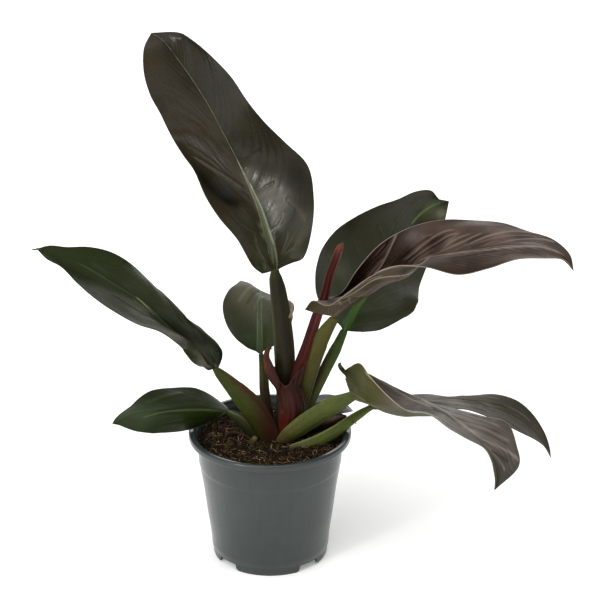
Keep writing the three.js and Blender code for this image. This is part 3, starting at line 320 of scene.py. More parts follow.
# ------------------------------------------------------------------ leaves
def leaf(name, net, material, node, p, patches=(), folds=(), lines=(), nu=220, nv=81, th=0.55):
    """A blade from a net of rows (base to tip) of seven points (left margin, midrib, right margin), in mm.
    folds: (line, width, height): the colour gets a painted highlight along ridges and painted shade along grooves.
    lines: (face, line, width, colour, weight)."""
    G = np.array(net, float)
    P = spline(spline(G, np.linspace(0, len(G) - 1, nu)).transpose(1, 0, 2), np.linspace(0, 6, nv)).transpose(1, 0, 2)
    c = (nv - 1) // 2
    S = np.r_[0, np.cumsum(np.linalg.norm(np.diff(P[:, c], axis=0), axis=1))]
    L = S[-1]
    gaps = np.linalg.norm(np.diff(P, axis=1), axis=2)
    T = np.zeros((nu, nv))
    T[:, c + 1 :] = np.cumsum(gaps[:, c:], 1)
    T[:, :c] = -np.cumsum(gaps[:, :c][:, ::-1], 1)[:, ::-1]
    V = np.linspace(-1, 1, nv)[None].repeat(nu, 0)
    q = abs(V)
    HW = np.where(V < 0, -T[:, :1], T[:, -1:])
    SS = S[:, None].repeat(nv, 1)
    U = SS / L
    du, dv = np.gradient(P, axis=0), np.gradient(P, axis=1)
    n = np.cross(dv, du)
    n[-3:] = n[-4]
    n = unit(n)
    for _ in range(2):
        n[1:-1] = unit(n[:-2] + 2 * n[1:-1] + n[2:])
    # side veins: phi is where a vein leaves the midrib, in mm
    a, b = p.get("a", 0.8), p.get("b", 0.6)
    if isinstance(a, tuple):
        a = np.where(V < 0, a[0], a[1])
    if isinstance(b, tuple):
        b = np.where(V < 0, b[0], b[1])
    s0, s1 = p.get("su", (0.75, 1.25))
    phi = SS - HW * (a * q + b * q * q) * (s0 + (s1 - s0) * U)
    rnd = np.random.default_rng(p.get("seed", 1))
    coord, deep = np.zeros_like(phi), np.zeros_like(phi)
    for side in (-1, 1):
        count = int(4.2 * L / p.get("gap", 10))
        marks = np.cumsum(np.r_[-2.6 * L, p.get("gap", 10) * rnd.uniform(0.55, 1.45, count)])
        strength = rnd.uniform(0.05, 1.0, count + 2) ** 1.4
        pick = V < 0 if side < 0 else V >= 0
        coord[pick] = np.interp(phi[pick], marks, np.arange(len(marks)) * 1.0)
        deep[pick] = strength[np.clip(np.round(coord[pick]).astype(int), 0, count)]
    inner = step(abs(T), 0.5, 4) * step(1 - q, 0.0, 0.22) * step(1 - U, 0.0, 0.12) * step(U, 0.0, 0.06)
    near = abs(coord - np.round(coord))
    patchy = 0.35 + 0.65 * step(plane_noise(SS / 34, T / 22, p.get("seed", 1) + 20), -0.5, 0.5)
    h = p.get("quilt", 0.25) * (np.cos(2 * np.pi * coord) * -0.5) * inner * patchy * (0.3 + 0.9 * deep)
    h = h - p.get("groove", 0.2) * np.exp(-((near / 0.08) ** 2)) * inner * deep
    for s0, t0, r, height in p.get("bulge", ()):
        h = h + height * np.exp(-(((SS - s0) ** 2 + (T - t0) ** 2) / r**2))
    h = h + p.get("wave", 0.35) * plane_noise(SS / 26, T / 17, p.get("seed", 1) + 50) * step(q, 0, 0.3)
    h = h + p.get("ripple", 0.08) * plane_noise(SS / 7, T / 5, p.get("seed", 1) + 80)
    wr = p.get("rib", (2.4, 0.7))
    w = wr[1] + (wr[0] - wr[1]) * (1 - U) ** 2.5
    rib = np.exp(-((T / (1.25 * w)) ** 2))
    top = h - p.get("sink", 0.5) * rib * (0.4 + 0.6 * (1 - U)) + p.get("crest", 0.35) * np.exp(-(((abs(T) - 0.85 * w) / (0.3 * w + 0.1)) ** 2)) * (1 - U)
    bottom = h - p.get("keel", 1.3) * np.exp(-((T / (0.8 * w)) ** 2)) * (1 - 0.75 * U) * step(1 - U, 0, 0.08)
    # Painted highlight and shade: the colour is lightened where the quilting bulges and on fold ridges, and darkened
    # in vein grooves and fold grooves.
    relief_shading = p.get("quilt_shading", 0.0) * -np.cos(2 * np.pi * coord) * inner * patchy * (0.3 + 0.7 * deep)
    for line, width, height in folds:
        d, along = line_distance(SS, T, line)
        k = np.exp(-((d / width) ** 2)) * step(along, 0, 0.12) * step(1 - along, 0, 0.12)
        top, bottom = top + height * k, bottom + height * k
        relief_shading = relief_shading + k * p.get("relief_shading", 0.9) * np.clip(height, -1, 1)
    half = th / 2 * (0.75 + 0.25 * step(q, 0.985, 1)) * np.ones_like(q)
    top, bottom = top + half, bottom - half
    A = P + n * top[..., None]
    B = P + n * bottom[..., None]
    rows = nu - 1
    verts = np.concatenate([A[:rows].reshape(-1, 3), A[-1, c][None], B[:rows].reshape(-1, 3), B[-1, c][None]])
    H = rows * nv + 1
    faces = grid_faces(rows, nv) + grid_faces(rows, nv, H, flip=True)
    l = (rows - 1) * nv
    for j in range(nv - 1):
        faces.append([l + j, l + j + 1, H - 1])
        faces.append([H + l + j + 1, H + l + j, 2 * H - 1])
        faces.append([j + 1, j, H + j, H + j + 1])
    for i in range(rows - 1):
        faces.append([i * nv, (i + 1) * nv, H + (i + 1) * nv, H + i * nv])
        faces.append([(i + 1) * nv + nv - 1, i * nv + nv - 1, H + i * nv + nv - 1, H + (i + 1) * nv + nv - 1])
    faces.append([l, H - 1, 2 * H - 1, H + l])
    faces.append([H - 1, l + nv - 1, H + l + nv - 1, 2 * H - 1])

    def both(x):
        x = np.asarray(x)
        one = np.concatenate([x[:rows].reshape((-1,) + x.shape[2:]), x[-1, c][None]])
        return np.concatenate([one, one])

    tints = []
    for face, key in ((0, "top"), (1, "bottom")):
        col = np.ones((nu, nv, 3)) * lin(p[key])
        if key + "_left" in p:
            col = np.where((V < 0)[..., None], lin(p[key + "_left"]), col)
        for f, s0, t0, r, colour, weight in patches:
            if f == face:
                k = weight * np.exp(-(((SS - s0) ** 2 + (T - t0) ** 2) / r**2))
                col = col * (1 - k[..., None]) + np.array(lin(colour)) * k[..., None]
        # Painted highlight on ridges and painted shade in grooves, either in the given ridge and groove colours or by
        # brightening and darkening the tint.
        for colour, amount in ((p.get("ridge_highlight"), relief_shading), (p.get("groove_shade"), -relief_shading)):
            if colour:
                k = 0.8 * np.clip(amount, 0, 1) * (1 if face == 0 else 0.5)
                col = col * (1 - k[..., None]) + np.array(lin(colour)) * k[..., None]
            else:
                col = col * np.exp(np.where(amount > 0, relief_shading, 0) * (1 if face == 0 else 0.5))[..., None]
        for f, line, width, colour, weight in lines:
            if f == face:
                d, along = line_distance(SS, T, line)
                k = weight * np.exp(-((d / width) ** 2)) * step(along, 0, 0.08) * step(1 - along, 0, 0.08)
                col = col * (1 - k[..., None]) + np.array(lin(colour)) * k[..., None]
        tints.append(np.concatenate([col[:rows].reshape(-1, 3), col[-1, c][None]]))
    gloss = []
    for face in (0, 1):
        v = np.zeros((nu, nv))
        for f, s0, t0, r, amount in p.get("gloss", ()):
            if f == face:
                v = v + amount * np.exp(-(((SS - s0) ** 2 + (T - t0) ** 2) / r**2))
        gloss.append(np.concatenate([v[:rows].reshape(-1), v[-1, c][None]]))
    co = np.stack([both(U), both(T), both(coord)], 1)
    under = np.r_[np.zeros(H), np.ones(H)]
    return make(name, (verts + POT) * MM, faces, material, (node,), {
        "leafco": ("FLOAT_VECTOR", co), "q": ("FLOAT", both(q)), "under": ("FLOAT", under), "matt": ("FLOAT", np.concatenate(gloss)), "tint": ("FLOAT_COLOR", np.concatenate(tints)),
    })


# ------------------------------------------------------------------ stalks
def stalk(name, rows, material, node, base, patches=(), deep=0.8, sides=48, per=16, ridges=(), flute=0.06, lens=0.6, shape=None):
    """A stalk along rows of [x, y, z, half width]. th runs round it: 0 left, 90 back, 180 right, 270 front (degrees).
    ridges: (angle, spread, height, from, to) raises a thin margin along it; patches: (s, angle, s spread, angle spread, colour, weight)."""
    R = np.array(rows, float)
    n = (len(rows) - 1) * per + 1
    C = spline(R, np.linspace(0, len(R) - 1, n))
    p, a = C[:, :3], np.maximum(C[:, 3], 0.3)
    s = np.r_[0, np.cumsum(np.linalg.norm(np.diff(p, axis=0), axis=1))]
    length = s[-1]
    s = s / length
    T = unit(np.gradient(p, axis=0))
    Ux = unit(np.cross(T, [0, 1, 0]))
    W = np.cross(Ux, T)
    th = np.arange(sides) / sides * 2 * np.pi
    deg = np.degrees(th)[None]
    sg = s[:, None]
    rad = 1 + flute * 0.5 * np.cos(9 * th)[None] * np.sin(np.pi * np.clip(sg, 0, 1)) + 0.03 * plane_noise(sg * 5, deg / 50, 11)
    extra = np.zeros((n, sides))
    for angle, spread, height, lo, hi in ridges:
        d = (deg - angle + 180) % 360 - 180
        extra = extra + height * np.exp(-((d / spread) ** 2)) * step(sg, lo - 0.04, lo + 0.04) * step(1 - sg, 1 - hi - 0.04, 1 - hi + 0.04)
    if shape is not None:
        rad = rad * shape(sg, deg)
    x = np.cos(th)[None] * (a[:, None] * rad + extra)
    sn, cs = np.sin(th)[None], np.cos(th)[None]
    y = (lens * np.sign(sn) * (1 - cs * cs) + (1 - lens) * sn) * a[:, None] * deep * rad + sn * extra
    P = p[:, None] + Ux[:, None] * x[..., None] + W[:, None] * y[..., None]
    # round ends
    P0 = [p[0] - T[0] * a[0] * 0.5 * k + (P[0] - p[0]) * m for k, m in ((0.9, 0.35), (0.6, 0.75))]
    P1 = [p[-1] + T[-1] * a[-1] * 0.5 * k + (P[-1] - p[-1]) * m for k, m in ((0.6, 0.75), (0.9, 0.35))]
    grid = np.concatenate([np.array(P0), P, np.array(P1)])
    sv = np.r_[0, 0, s, 1, 1][:, None].repeat(sides, 1)
    dv = np.broadcast_to(deg, sv.shape)
    m = len(grid)
    verts = np.concatenate([grid.reshape(-1, 3), [p[0] - T[0] * a[0] * 0.5], [p[-1] + T[-1] * a[-1] * 0.5]])
    faces = grid_faces(m, sides, wrap=True, flip=True)
    lo, hi = m * sides, m * sides + 1
    for k in range(sides):
        k2 = (k + 1) % sides
        faces.append([lo, k, k2])
        faces.append([hi, (m - 1) * sides + k2, (m - 1) * sides + k])
    col = np.ones((m, sides, 3)) * lin(base)
    for s0, ang, ds, da, colour, weight in patches:
        d = (dv - ang + 180) % 360 - 180
        k = weight * np.exp(-(((sv - s0) / ds) ** 2) - (d / da) ** 2)
        col = col * (1 - k[..., None]) + np.array(lin(colour)) * k[..., None]
    xs = np.cos(np.radians(dv))
    co = np.stack([sv * length / 40, xs, dv / 360], -1).reshape(-1, 3)
    co = np.concatenate([co, co[:1], co[-1:]])
    tint = np.concatenate([col.reshape(-1, 3), col[0, :1], col[-1, :1]])
    return make(name, (verts + POT) * MM, faces, material, (node,) if node else (), {"stalkco": ("FLOAT_VECTOR", co), "tint": ("FLOAT_COLOR", tint)})


def wrap(name, rows, top, material, slot, node, base, patches=(), deep=0.8, sides=120, n=60, wall=0.7, inner=14, rim=None):
    """A sheath: a tube along the rows, open at the top, whose rim is cut at top(angle), a share of its length."""
    R = np.array(rows, float)
    th = np.arange(sides) / sides * 2 * np.pi
    deg = np.degrees(th)
    a_k, v_k = np.array(sorted(top.items()), float).T
    cut = np.interp(deg, np.r_[a_k[-1] - 360, a_k, a_k[0] + 360], np.r_[v_k[-1], v_k, v_k[0]])
    for _ in range(6):
        cut = (np.roll(cut, 1) + 2 * cut + np.roll(cut, -1)) / 4
    grid, sv = [], []
    for share, inset in [(k / (n - 1), 0.0) for k in range(n)] + [(1.0, 0.5)] + [(1 - 0.03 * k, 1.0) for k in range(1, inner)]:
        s = cut * share
        C = spline(R, s * (len(R) - 1))
        T = unit(spline(R, np.minimum(1, s + 0.01) * (len(R) - 1))[:, :3] - spline(R, np.maximum(0, s - 0.01) * (len(R) - 1))[:, :3])
        Ux = unit(np.cross(T, [0, 1, 0]))
        W = np.cross(Ux, T)
        flare = 0.9 * step(share, 0.8, 1.0) * (1 - inset * 0.2)
        crease = 0.35 * np.cos(np.radians(deg) * 14) * step(s, 0.1, 0.3) + 0.4 * plane_noise(deg / 23, s * 9, 61)
        a = C[:, 3] + crease + flare - wall * inset
        P = C[:, :3] + Ux * (np.cos(th) * a)[:, None] + W * (np.sin(th) * a * deep)[:, None]
        grid.append(P)
        sv.append(np.stack([s, np.full(sides, share * (inset == 0) + (inset > 0)), np.full(sides, inset)], 1))
    grid, sv = np.array(grid), np.array(sv)
    m = len(grid)
    verts = np.concatenate([grid.reshape(-1, 3), [grid[0].mean(0) - [0, 0, 2]], [grid[-1].mean(0)]])
    faces = grid_faces(m, sides, wrap=True, flip=True)
    lo, hi = m * sides, m * sides + 1
    for k in range(sides):
        k2 = (k + 1) % sides
        faces.append([lo, k, k2])
        faces.append([hi, (m - 1) * sides + k2, (m - 1) * sides + k])
    col = np.ones((m, sides, 3)) * lin(base)
    for s0, ang, ds, da, colour, weight in patches:
        d = (deg[None] - ang + 180) % 360 - 180
        k = weight * np.exp(-(((sv[..., 0] - s0) / ds) ** 2) - (d / da) ** 2)
        col = col * (1 - k[..., None]) + np.array(lin(colour)) * k[..., None]
    if rim:
        k = 0.8 * step(sv[..., 1], 0.965, 1.0) * (sv[..., 2] < 0.9)
        col = col * (1 - k[..., None]) + np.array(lin(rim)) * k[..., None]
    length = np.linalg.norm(R[-1, :3] - R[0, :3])
    co = np.stack([sv[..., 0] * length / 40, np.cos(th)[None].repeat(m, 0), (deg / 360)[None].repeat(m, 0)], -1).reshape(-1, 3)
    co = np.concatenate([co, co[:1], co[-1:]])
    tint = np.concatenate([col.reshape(-1, 3), col[0, :1], col[-1, :1]])
    return make(name, (verts + POT) * MM, faces, material, (node,), {"stalkco": ("FLOAT_VECTOR", co), "tint": ("FLOAT_COLOR", tint)})


# ------------------------------------------------------------------ leaf materials
DARK_A = leaf_material("leaf_tall", lin("#858a6c"), lin("#453e30"), lin("#1c1a14"), core="#50563e", rib_w=(4.6, 0.45), rib_mix=0.7, core_mix=0.85, vein_mix=0.3, second_mix=0.2, fine_mix=0.16, rib_pow=4.0, low_at=0.5, rough=0.2, spec=0.16, fleck=0.15)
GREEN_B = leaf_material("leaf_left_upper", lin("#39452a"), lin("#3a402c"), lin("#14170e"), core="#1e2a10", rib_w=(1.4, 0.4), rib_mix=0.5, core_mix=0.6, vein_mix=0.14, second_mix=0.08, rough=0.3, spec=0.12, fleck=0.15)
GREEN_C = leaf_material("leaf_left_lower", lin("#47523a"), lin("#2f3a1c"), lin("#3c4426"), core="#2f3a1e", rib_w=(1.2, 0.4), rib_mix=0.5, vein_mix=0.16, second_mix=0.06, rough=0.33, spec=0.12, fleck=0.12)
GREEN_D = leaf_material("leaf_back_small", lin("#56604a"), lin("#54553f"), lin("#25281a"), core="#3c4a2a", rib_w=(2.4, 1.0), vein_mix=0.2, second_mix=0.12, rough=0.36, spec=0.14, fleck=0.15)
DARK_E = leaf_material("leaf_back_right", lin("#3f5a24"), lin("#3d3f2e"), lin("#1d1e14"), core="#37551f", rib_w=(3.0, 1.3), rib_mix=0.6, core_mix=0.8, vein_mix=0.22, second_mix=0.08, rough=0.38, spec=0.08, fleck=0.15)
MAUVE_F = leaf_material("leaf_arching", lin("#75665a"), lin("#665548"), lin("#8b7f74"), core="#5c4c40", rib_w=(1.5, 0.8), vein_mix=0.42, second_mix=0.3, fine_mix=0.34, rough=0.36, spec=0.2)
MAUVE_G = leaf_material("leaf_front_right", lin("#756c62"), lin("#6a6058"), lin("#938d78"), core="#60574c", rib_w=(1.5, 0.8), vein_mix=0.45, second_mix=0.34, fine_mix=0.36, rough=0.36, spec=0.24)
DARK_H = leaf_material("leaf_low_right", lin("#625a4c"), lin("#585044"), lin("#2c2820"), core="#4c463a", rib_w=(1.5, 0.8), vein_mix=0.36, second_mix=0.28, fine_mix=0.3, rough=0.38, spec=0.19)
MAUVE_J = leaf_material("leaf_back_low", lin("#5a4e52"), lin("#4a4044"), lin("#4a4448"), core="#4a4046", rib_w=(1.4, 0.7), vein_mix=0.2, rough=0.38, spec=0.26)

# ------------------------------------------------------------------ leaf tables
BLADE_TALL = [
  [[-5.1,3.1,223.2], [0.2,1.3,225.3], [3.9,5.6,224.9], [3.8,11.7,222.4], [6.6,5.4,225.6], [10,-0.6,229.9], [15.5,-5.6,234.8]],
  [[-12.7,-8.2,235.3], [-4.8,-1.5,236.2], [0.2,7.3,233.3], [2.5,15.3,228], [9.3,11.1,232.8], [17,8.7,236.2], [25.5,8.7,234.5]],
  [[-21.9,-6.3,252.9], [-13.1,1.9,248.1], [-5.5,11.3,242.6], [0.5,21.5,236.8], [11.1,19.8,242.4], [21.3,18.6,248], [31.1,19,253.1]],
  [[-34.9,4,265.3], [-23.1,10.8,260.1], [-12.5,19.2,254.6], [-3.3,29.2,249.7], [9.2,29.8,256], [20.6,29.7,264.2], [32,29.8,272.5]],
  [[-45.1,17.8,277], [-32.6,23.2,271], [-20.4,29.9,266.3], [-8.6,37.9,263.6], [3.8,39.4,270.7], [15.7,39.5,280.4], [27.7,39.6,292.3]],
  [[-53,33.5,289.5], [-42.1,38.3,281.2], [-29.7,43.5,277.3], [-16.6,48.1,278.3], [-4.8,47.6,286.9], [5.3,45.4,297.4], [11.7,40.8,309.2]],
  [[-62.7,49.4,297.3], [-50.6,53.4,291.9], [-37.6,55.7,291.4], [-25.3,55,294.9], [-15.2,51.8,303.5], [-7.6,47.2,313.8], [-3,40.3,324.7]],
  [[-71.7,63.8,306.6], [-58.2,64.5,306.8], [-45.6,62.7,308.6], [-34.5,59,312.3], [-26.1,54.2,320.3], [-19.9,48.7,330], [-15.7,42.1,340.5]],
  [[-79.2,63.8,323.7], [-66.7,63.7,324.5], [-54.9,63.1,326.3], [-43.9,62.4,329.9], [-36.7,57.2,337.1], [-31.1,51.8,346.1], [-26.8,46.4,356.4]],
  [[-85.7,57.6,340], [-74.6,58.8,341.5], [-64,60.9,343.9], [-54.3,64.1,347.3], [-47.4,61,353.6], [-42.6,56.6,361.3], [-40,51,369.9]],
  [[-89.4,54.6,357.1], [-80.8,57,359.2], [-72.6,60.3,361.4], [-65.5,64.8,364.1], [-59.9,65.4,368.8], [-55.6,63.3,374], [-53.3,59,379.4]],
  [[-89.3,59.3,373.7], [-83.8,61.6,373.7], [-79.2,64.7,374.8], [-75.3,68.1,376.3], [-72.6,69.9,378.2], [-69.5,70.6,380.4], [-64.8,71.2,381.8]],
  [[-84.7,74.1,380.9], [-84.7,74.1,380.9], [-84.7,74.1,380.9], [-84.7,74.1,380.9], [-84.6,74.1,380.9], [-84.5,74.1,380.9], [-84.5,74.1,380.9]]
]
BLADE_LEFT_UPPER = [[[-47.9, -4.9, 152.9], [-44.7, -7.6, 153.3], [-41.4, -9.6, 153.4], [-38.9, -11.9, 154.9], [-38.6, -7.8, 153.3], [-37.1, -3.8, 152.5], [-36.2, 0.3, 152.9]], [[-51.0, -17.4, 159.6], [-47.7, -17.6, 159.2], [-44.2, -16.9, 156.6], [-42.4, -12.4, 159.5], [-40.5, -6.7, 161.4], [-35.9, -6.2, 163.9], [-34.0, -11.5, 163.9]], [[-55.2, -30.1, 169.3], [-50.9, -27.8, 168.7], [-46.4, -22.7, 165.8], [-48.0, -13.8, 166.7], [-43.7, -8.9, 172.0], [-37.8, -12.3, 175.0], [-35.3, -21.7, 176.8]], [[-59.3, -44.0, 182.6], [-54.6, -36.6, 180.5], [-51.5, -27.3, 178.8], [-56.1, -17.9, 176.6], [-49.6, -14.8, 181.3], [-45.2, -16.6, 185.0], [-50.0, -24.2, 192.2]], [[-61.6, -54.3, 192.5], [-59.8, -43.0, 192.4], [-61.3, -32.5, 189.8], [-65.0, -23.1, 187.4], [-60.1, -21.1, 193.2], [-59.9, -18.5, 198.9], [-65.8, -16.7, 203.9]], [[-74.4, -58.8, 205.2], [-73.6, -48.2, 202.3], [-73.9, -38.1, 200.1], [-75.3, -28.3, 199.6], [-71.0, -25.0, 206.7], [-71.1, -19.3, 212.1], [-76.6, -11.5, 214.3]], [[-90.6, -61.8, 212.6], [-88.0, -51.8, 211.5], [-86.4, -42.1, 211.0], [-85.6, -33.1, 212.1], [-83.8, -27.5, 218.8], [-84.6, -20.8, 225.1], [-88.8, -12.5, 228.6]], [[-105.3, -62.4, 221.9], [-102.0, -53.5, 221.1], [-99.6, -44.8, 221.3], [-98.3, -36.4, 222.5], [-97.8, -30.1, 228.3], [-98.4, -23.8, 234.8], [-100.0, -17.3, 241.6]], [[-119.0, -61.5, 231.8], [-115.7, -53.8, 230.9], [-113.4, -46.2, 230.8], [-112.2, -38.8, 231.6], [-111.5, -33.3, 237.3], [-111.7, -28.3, 244.0], [-112.3, -23.7, 251.7]], [[-131.3, -59.0, 242.4], [-128.9, -53.0, 240.9], [-127.2, -46.9, 240.3], [-126.3, -41.0, 240.8], [-125.5, -37.0, 245.7], [-125.5, -33.5, 251.4], [-126.2, -30.5, 257.8]], [[-142.1, -54.5, 252.4], [-141.4, -50.9, 250.7], [-140.8, -47.2, 249.8], [-140.6, -43.5, 249.7], [-139.7, -41.1, 253.2], [-139.5, -39.1, 256.9], [-139.9, -37.4, 260.5]], [[-152.9, -50.8, 257.2], [-152.0, -49.0, 257.6], [-151.3, -47.3, 257.9], [-150.9, -45.6, 258.4], [-150.8, -44.4, 259.7], [-150.8, -43.4, 261.4], [-151.0, -42.4, 263.7]], [[-159.7, -47.4, 263.4], [-159.7, -47.4, 263.4], [-159.7, -47.4, 263.4], [-159.6, -47.4, 263.4], [-159.6, -47.4, 263.4], [-159.6, -47.4, 263.4], [-159.6, -47.4, 263.4]]]
BLADE_LEFT_LOWER = [
  [[-33.8,8.5,107.8], [-32.6,5.2,110], [-31.3,2.1,112], [-30,-0.8,114], [-30.9,3,115], [-32.2,6.9,114.8], [-33.5,10.8,114.2]],
  [[-41.1,6.4,104.5], [-38.2,3.5,108.1], [-35.4,0.6,111.7], [-32.8,-2.1,115.2], [-34.8,2.5,117.1], [-37.3,7.2,118.4], [-40,11.9,119.3]],
  [[-48.8,3,101.8], [-44.7,0.5,107], [-40.8,-2,112], [-37.3,-4.4,117.2], [-40,0.9,119.9], [-43.5,6.2,122.2], [-47.2,11.6,124.5]],
  [[-56.8,-1.4,101.2], [-52,-3.6,107.1], [-47.6,-5.9,113.2], [-44,-7.9,119.5], [-47,-2.2,122.9], [-50.9,3.5,126], [-55.1,9.2,129.1]],
  [[-64.1,-6.8,102.2], [-59.2,-8.5,108.4], [-54.9,-10.2,114.8], [-51.5,-11.8,121.6], [-54.6,-6.2,125.4], [-58.6,-0.7,128.8], [-63.1,4.8,131.9]],
  [[-71.5,-12.9,104.1], [-66.8,-14,110.3], [-62.8,-15.2,116.7], [-59.8,-16.2,123.4], [-62.9,-11,127.5], [-66.9,-5.9,131.1], [-71.5,-0.9,134.1]],
  [[-78.2,-19.2,106.6], [-74,-19.7,112.5], [-70.5,-20.2,118.7], [-68,-20.7,125], [-71.1,-16,129.1], [-75,-11.4,132.8], [-79.3,-6.9,136.4]],
  [[-84.3,-25.7,109.3], [-80.9,-25.4,115], [-78.1,-25.4,120.8], [-76.1,-25.4,126.6], [-79,-21.2,130.2], [-82.7,-17.1,133.7], [-87,-13.2,137.4]],
  [[-90.3,-31.5,113], [-87.7,-31,118], [-85.7,-30.6,123], [-84.2,-30.2,128], [-86.8,-26.7,130.9], [-90.1,-23.2,133.3], [-94.1,-20.1,135.4]],
  [[-96.2,-37.2,117], [-94.5,-36.3,121.2], [-93.3,-35.6,125.3], [-92.5,-35.1,129.4], [-94.7,-32.4,131], [-97.3,-29.9,132.1], [-100,-27.3,132.2]],
  [[-102.2,-41.9,121.7], [-101.4,-41.2,124.5], [-101,-40.6,127.2], [-100.9,-40.1,129.9], [-102.3,-38.4,130.3], [-104,-36.7,130.6], [-105.8,-34.9,130.8]],
  [[-107.5,-45.1,125.8], [-107.4,-44.8,126.9], [-107.3,-44.5,128], [-107.4,-44.2,129.1], [-108.1,-43.4,129.2], [-108.9,-42.6,129.3], [-109.9,-41.9,129.6]],
  [[-112.1,-47.5,128.1], [-112.1,-47.5,128.1], [-112.1,-47.5,128.1], [-112.1,-47.5,128], [-112.1,-47.5,128], [-112.1,-47.5,128], [-112.1,-47.5,128.1]]
]
BLADE_BACK_SMALL = [[[-17.3, 18.5, 158.3], [-14.7, 21.1, 155.3], [-11.3, 23.1, 152.9], [-7.0, 24.0, 150.7], [-4.5, 21.6, 153.5], [-2.4, 18.4, 156.2], [-0.5, 14.8, 158.9]], [[-25.0, 25.6, 161.9], [-19.4, 26.7, 158.6], [-13.4, 27.4, 155.8], [-7.2, 27.6, 154.2], [-2.8, 24.8, 157.5], [2.3, 22.4, 160.9], [8.0, 20.0, 163.7]], [[-30.9, 34.2, 166.8], [-23.4, 33.9, 162.9], [-15.4, 33.3, 160.3], [-7.4, 32.6, 159.3], [-1.2, 29.5, 163.1], [6.0, 28.0, 166.6], [14.2, 28.1, 169.2]], [[-34.5, 44.5, 172.0], [-25.7, 42.8, 168.7], [-16.6, 40.8, 166.9], [-7.7, 38.8, 166.6], [-0.1, 36.3, 170.1], [8.3, 36.5, 172.2], [16.8, 39.0, 172.0]], [[-35.2, 55.4, 177.5], [-25.8, 51.9, 175.2], [-16.8, 48.4, 174.2], [-7.8, 45.7, 174.6], [0.7, 45.5, 176.1], [9.3, 47.4, 174.9], [16.8, 50.1, 169.8]], [[-31.1, 67.1, 182.5], [-23.3, 62.0, 181.3], [-15.7, 58.0, 180.7], [-7.8, 55.7, 179.9], [1.1, 57.0, 178.8], [9.1, 59.1, 175.0], [15.7, 61.5, 168.5]], [[-24.9, 77.5, 183.6], [-18.1, 73.3, 184.3], [-12.6, 69.7, 183.2], [-7.6, 67.1, 180.7], [-2.1, 68.4, 178.0], [4.9, 70.2, 175.2], [16.0, 72.3, 168.5]], [[-22.6, 88.4, 181.2], [-16.1, 84.7, 180.8], [-11.5, 80.7, 179.2], [-7.5, 76.7, 178.3], [-3.2, 78.4, 175.3], [2.9, 80.4, 171.6], [14.3, 82.8, 166.8]], [[-21.1, 97.6, 175.4], [-16.2, 93.6, 174.5], [-12.0, 89.5, 172.8], [-8.1, 85.7, 171.5], [-3.2, 87.2, 168.0], [2.8, 89.4, 166.4], [10.6, 92.0, 162.2]], [[-19.4, 104.5, 166.3], [-15.9, 100.8, 164.4], [-12.7, 97.3, 162.0], [-9.6, 94.3, 159.2], [-4.5, 95.5, 158.5], [0.6, 97.4, 157.4], [5.6, 99.6, 156.0]], [[-17.2, 109.1, 156.4], [-15.1, 106.7, 155.1], [-12.9, 104.5, 153.6], [-10.6, 102.6, 151.9], [-7.3, 103.2, 151.3], [-4.0, 104.3, 150.6], [-0.7, 105.7, 149.7]], [[-14.6, 111.6, 147.7], [-13.7, 110.6, 147.1], [-12.7, 109.6, 146.4], [-11.6, 108.8, 145.6], [-10.0, 109.0, 145.3], [-8.5, 109.5, 145.0], [-7.0, 110.0, 144.6]], [[-12.3, 113.2, 140.7], [-12.3, 113.2, 140.7], [-12.3, 113.2, 140.7], [-12.3, 113.2, 140.7], [-12.3, 113.2, 140.7], [-12.3, 113.2, 140.7], [-12.3, 113.2, 140.7]]]
BLADE_BACK_RIGHT = [
  [[43,12.1,188.5], [46.6,15.6,182.1], [50.7,18.7,176], [55.1,21.6,170.3], [58.3,15.7,172], [62.3,10,174.4], [67.2,4.2,176.8]],
  [[35.1,25.7,195], [42.3,25.9,187.2], [49.1,26.1,179.2], [56.3,26.2,171], [64.8,21.2,174], [73.1,16.9,175.6], [81.1,13.2,174.5]],
  [[33.4,42,203.2], [41,39.3,192.7], [49.4,36.9,182.6], [58.9,34.7,173], [71.3,30.5,174.4], [83.8,27.6,175.3], [96.1,25.8,176.5]],
  [[35.1,59.8,208.9], [43.9,55.3,197.8], [53.4,51.1,186.9], [63.6,47.6,176.6], [77.5,44,173.3], [91.8,42.4,172.8], [105.9,43.1,175.2]],
  [[39.7,77.5,213.9], [49.8,71.2,202.8], [60,65.4,191.9], [70.8,60.9,181.6], [82.4,59.6,173.7], [96.2,59.6,170.1], [109.7,62.5,173.3]],
  [[49.7,94,220.5], [58.2,86.7,208.2], [67.9,80.6,197], [78.4,76.2,187], [87.1,77.2,176.1], [98.5,78.9,168.5], [112,82,167.5]],
  [[64.2,106.5,226], [68.2,101.2,212.7], [75.6,96.1,200.8], [85,92.4,190.5], [91.7,94.6,179], [100.8,97.6,169.3], [112.8,100.6,162.4]],
  [[80.2,115.8,230.5], [80.1,114.4,217.1], [84.1,111.5,204.6], [91.5,108.8,193.8], [97.6,111.3,182.8], [105.2,114.9,172.5], [114.2,118.9,163]],
  [[96.4,123.9,233.1], [93.4,126,221.3], [94,126,209.1], [98.4,125.3,197.6], [104,127.7,187.2], [110.9,131.1,177.2], [118.8,135.1,167.7]],
  [[110.1,134.6,235.4], [106.6,137.4,224.7], [105,139.6,213.6], [106.1,141.4,202.6], [111.3,143.4,192.8], [117.6,146,183.3], [124.7,149.3,174.3]],
  [[123,144.8,232.7], [119.2,148.7,225.2], [117.1,152.5,217], [116.1,156,208.8], [120.3,157,200.2], [125.3,158.4,191.8], [130.9,160.2,183.9]],
  [[130.7,153.8,221.7], [130,158.2,220.2], [128.9,161.6,217], [128,164.6,213.5], [129.8,164.7,207.8], [132.4,165.2,202.4], [135.6,165.9,197.5]],
  [[138.9,168.1,214.6], [138.9,168.1,214.6], [138.9,168.1,214.6], [138.9,168.1,214.6], [138.9,168.1,214.6], [138.9,168.1,214.6], [138.9,168.1,214.6]]
]
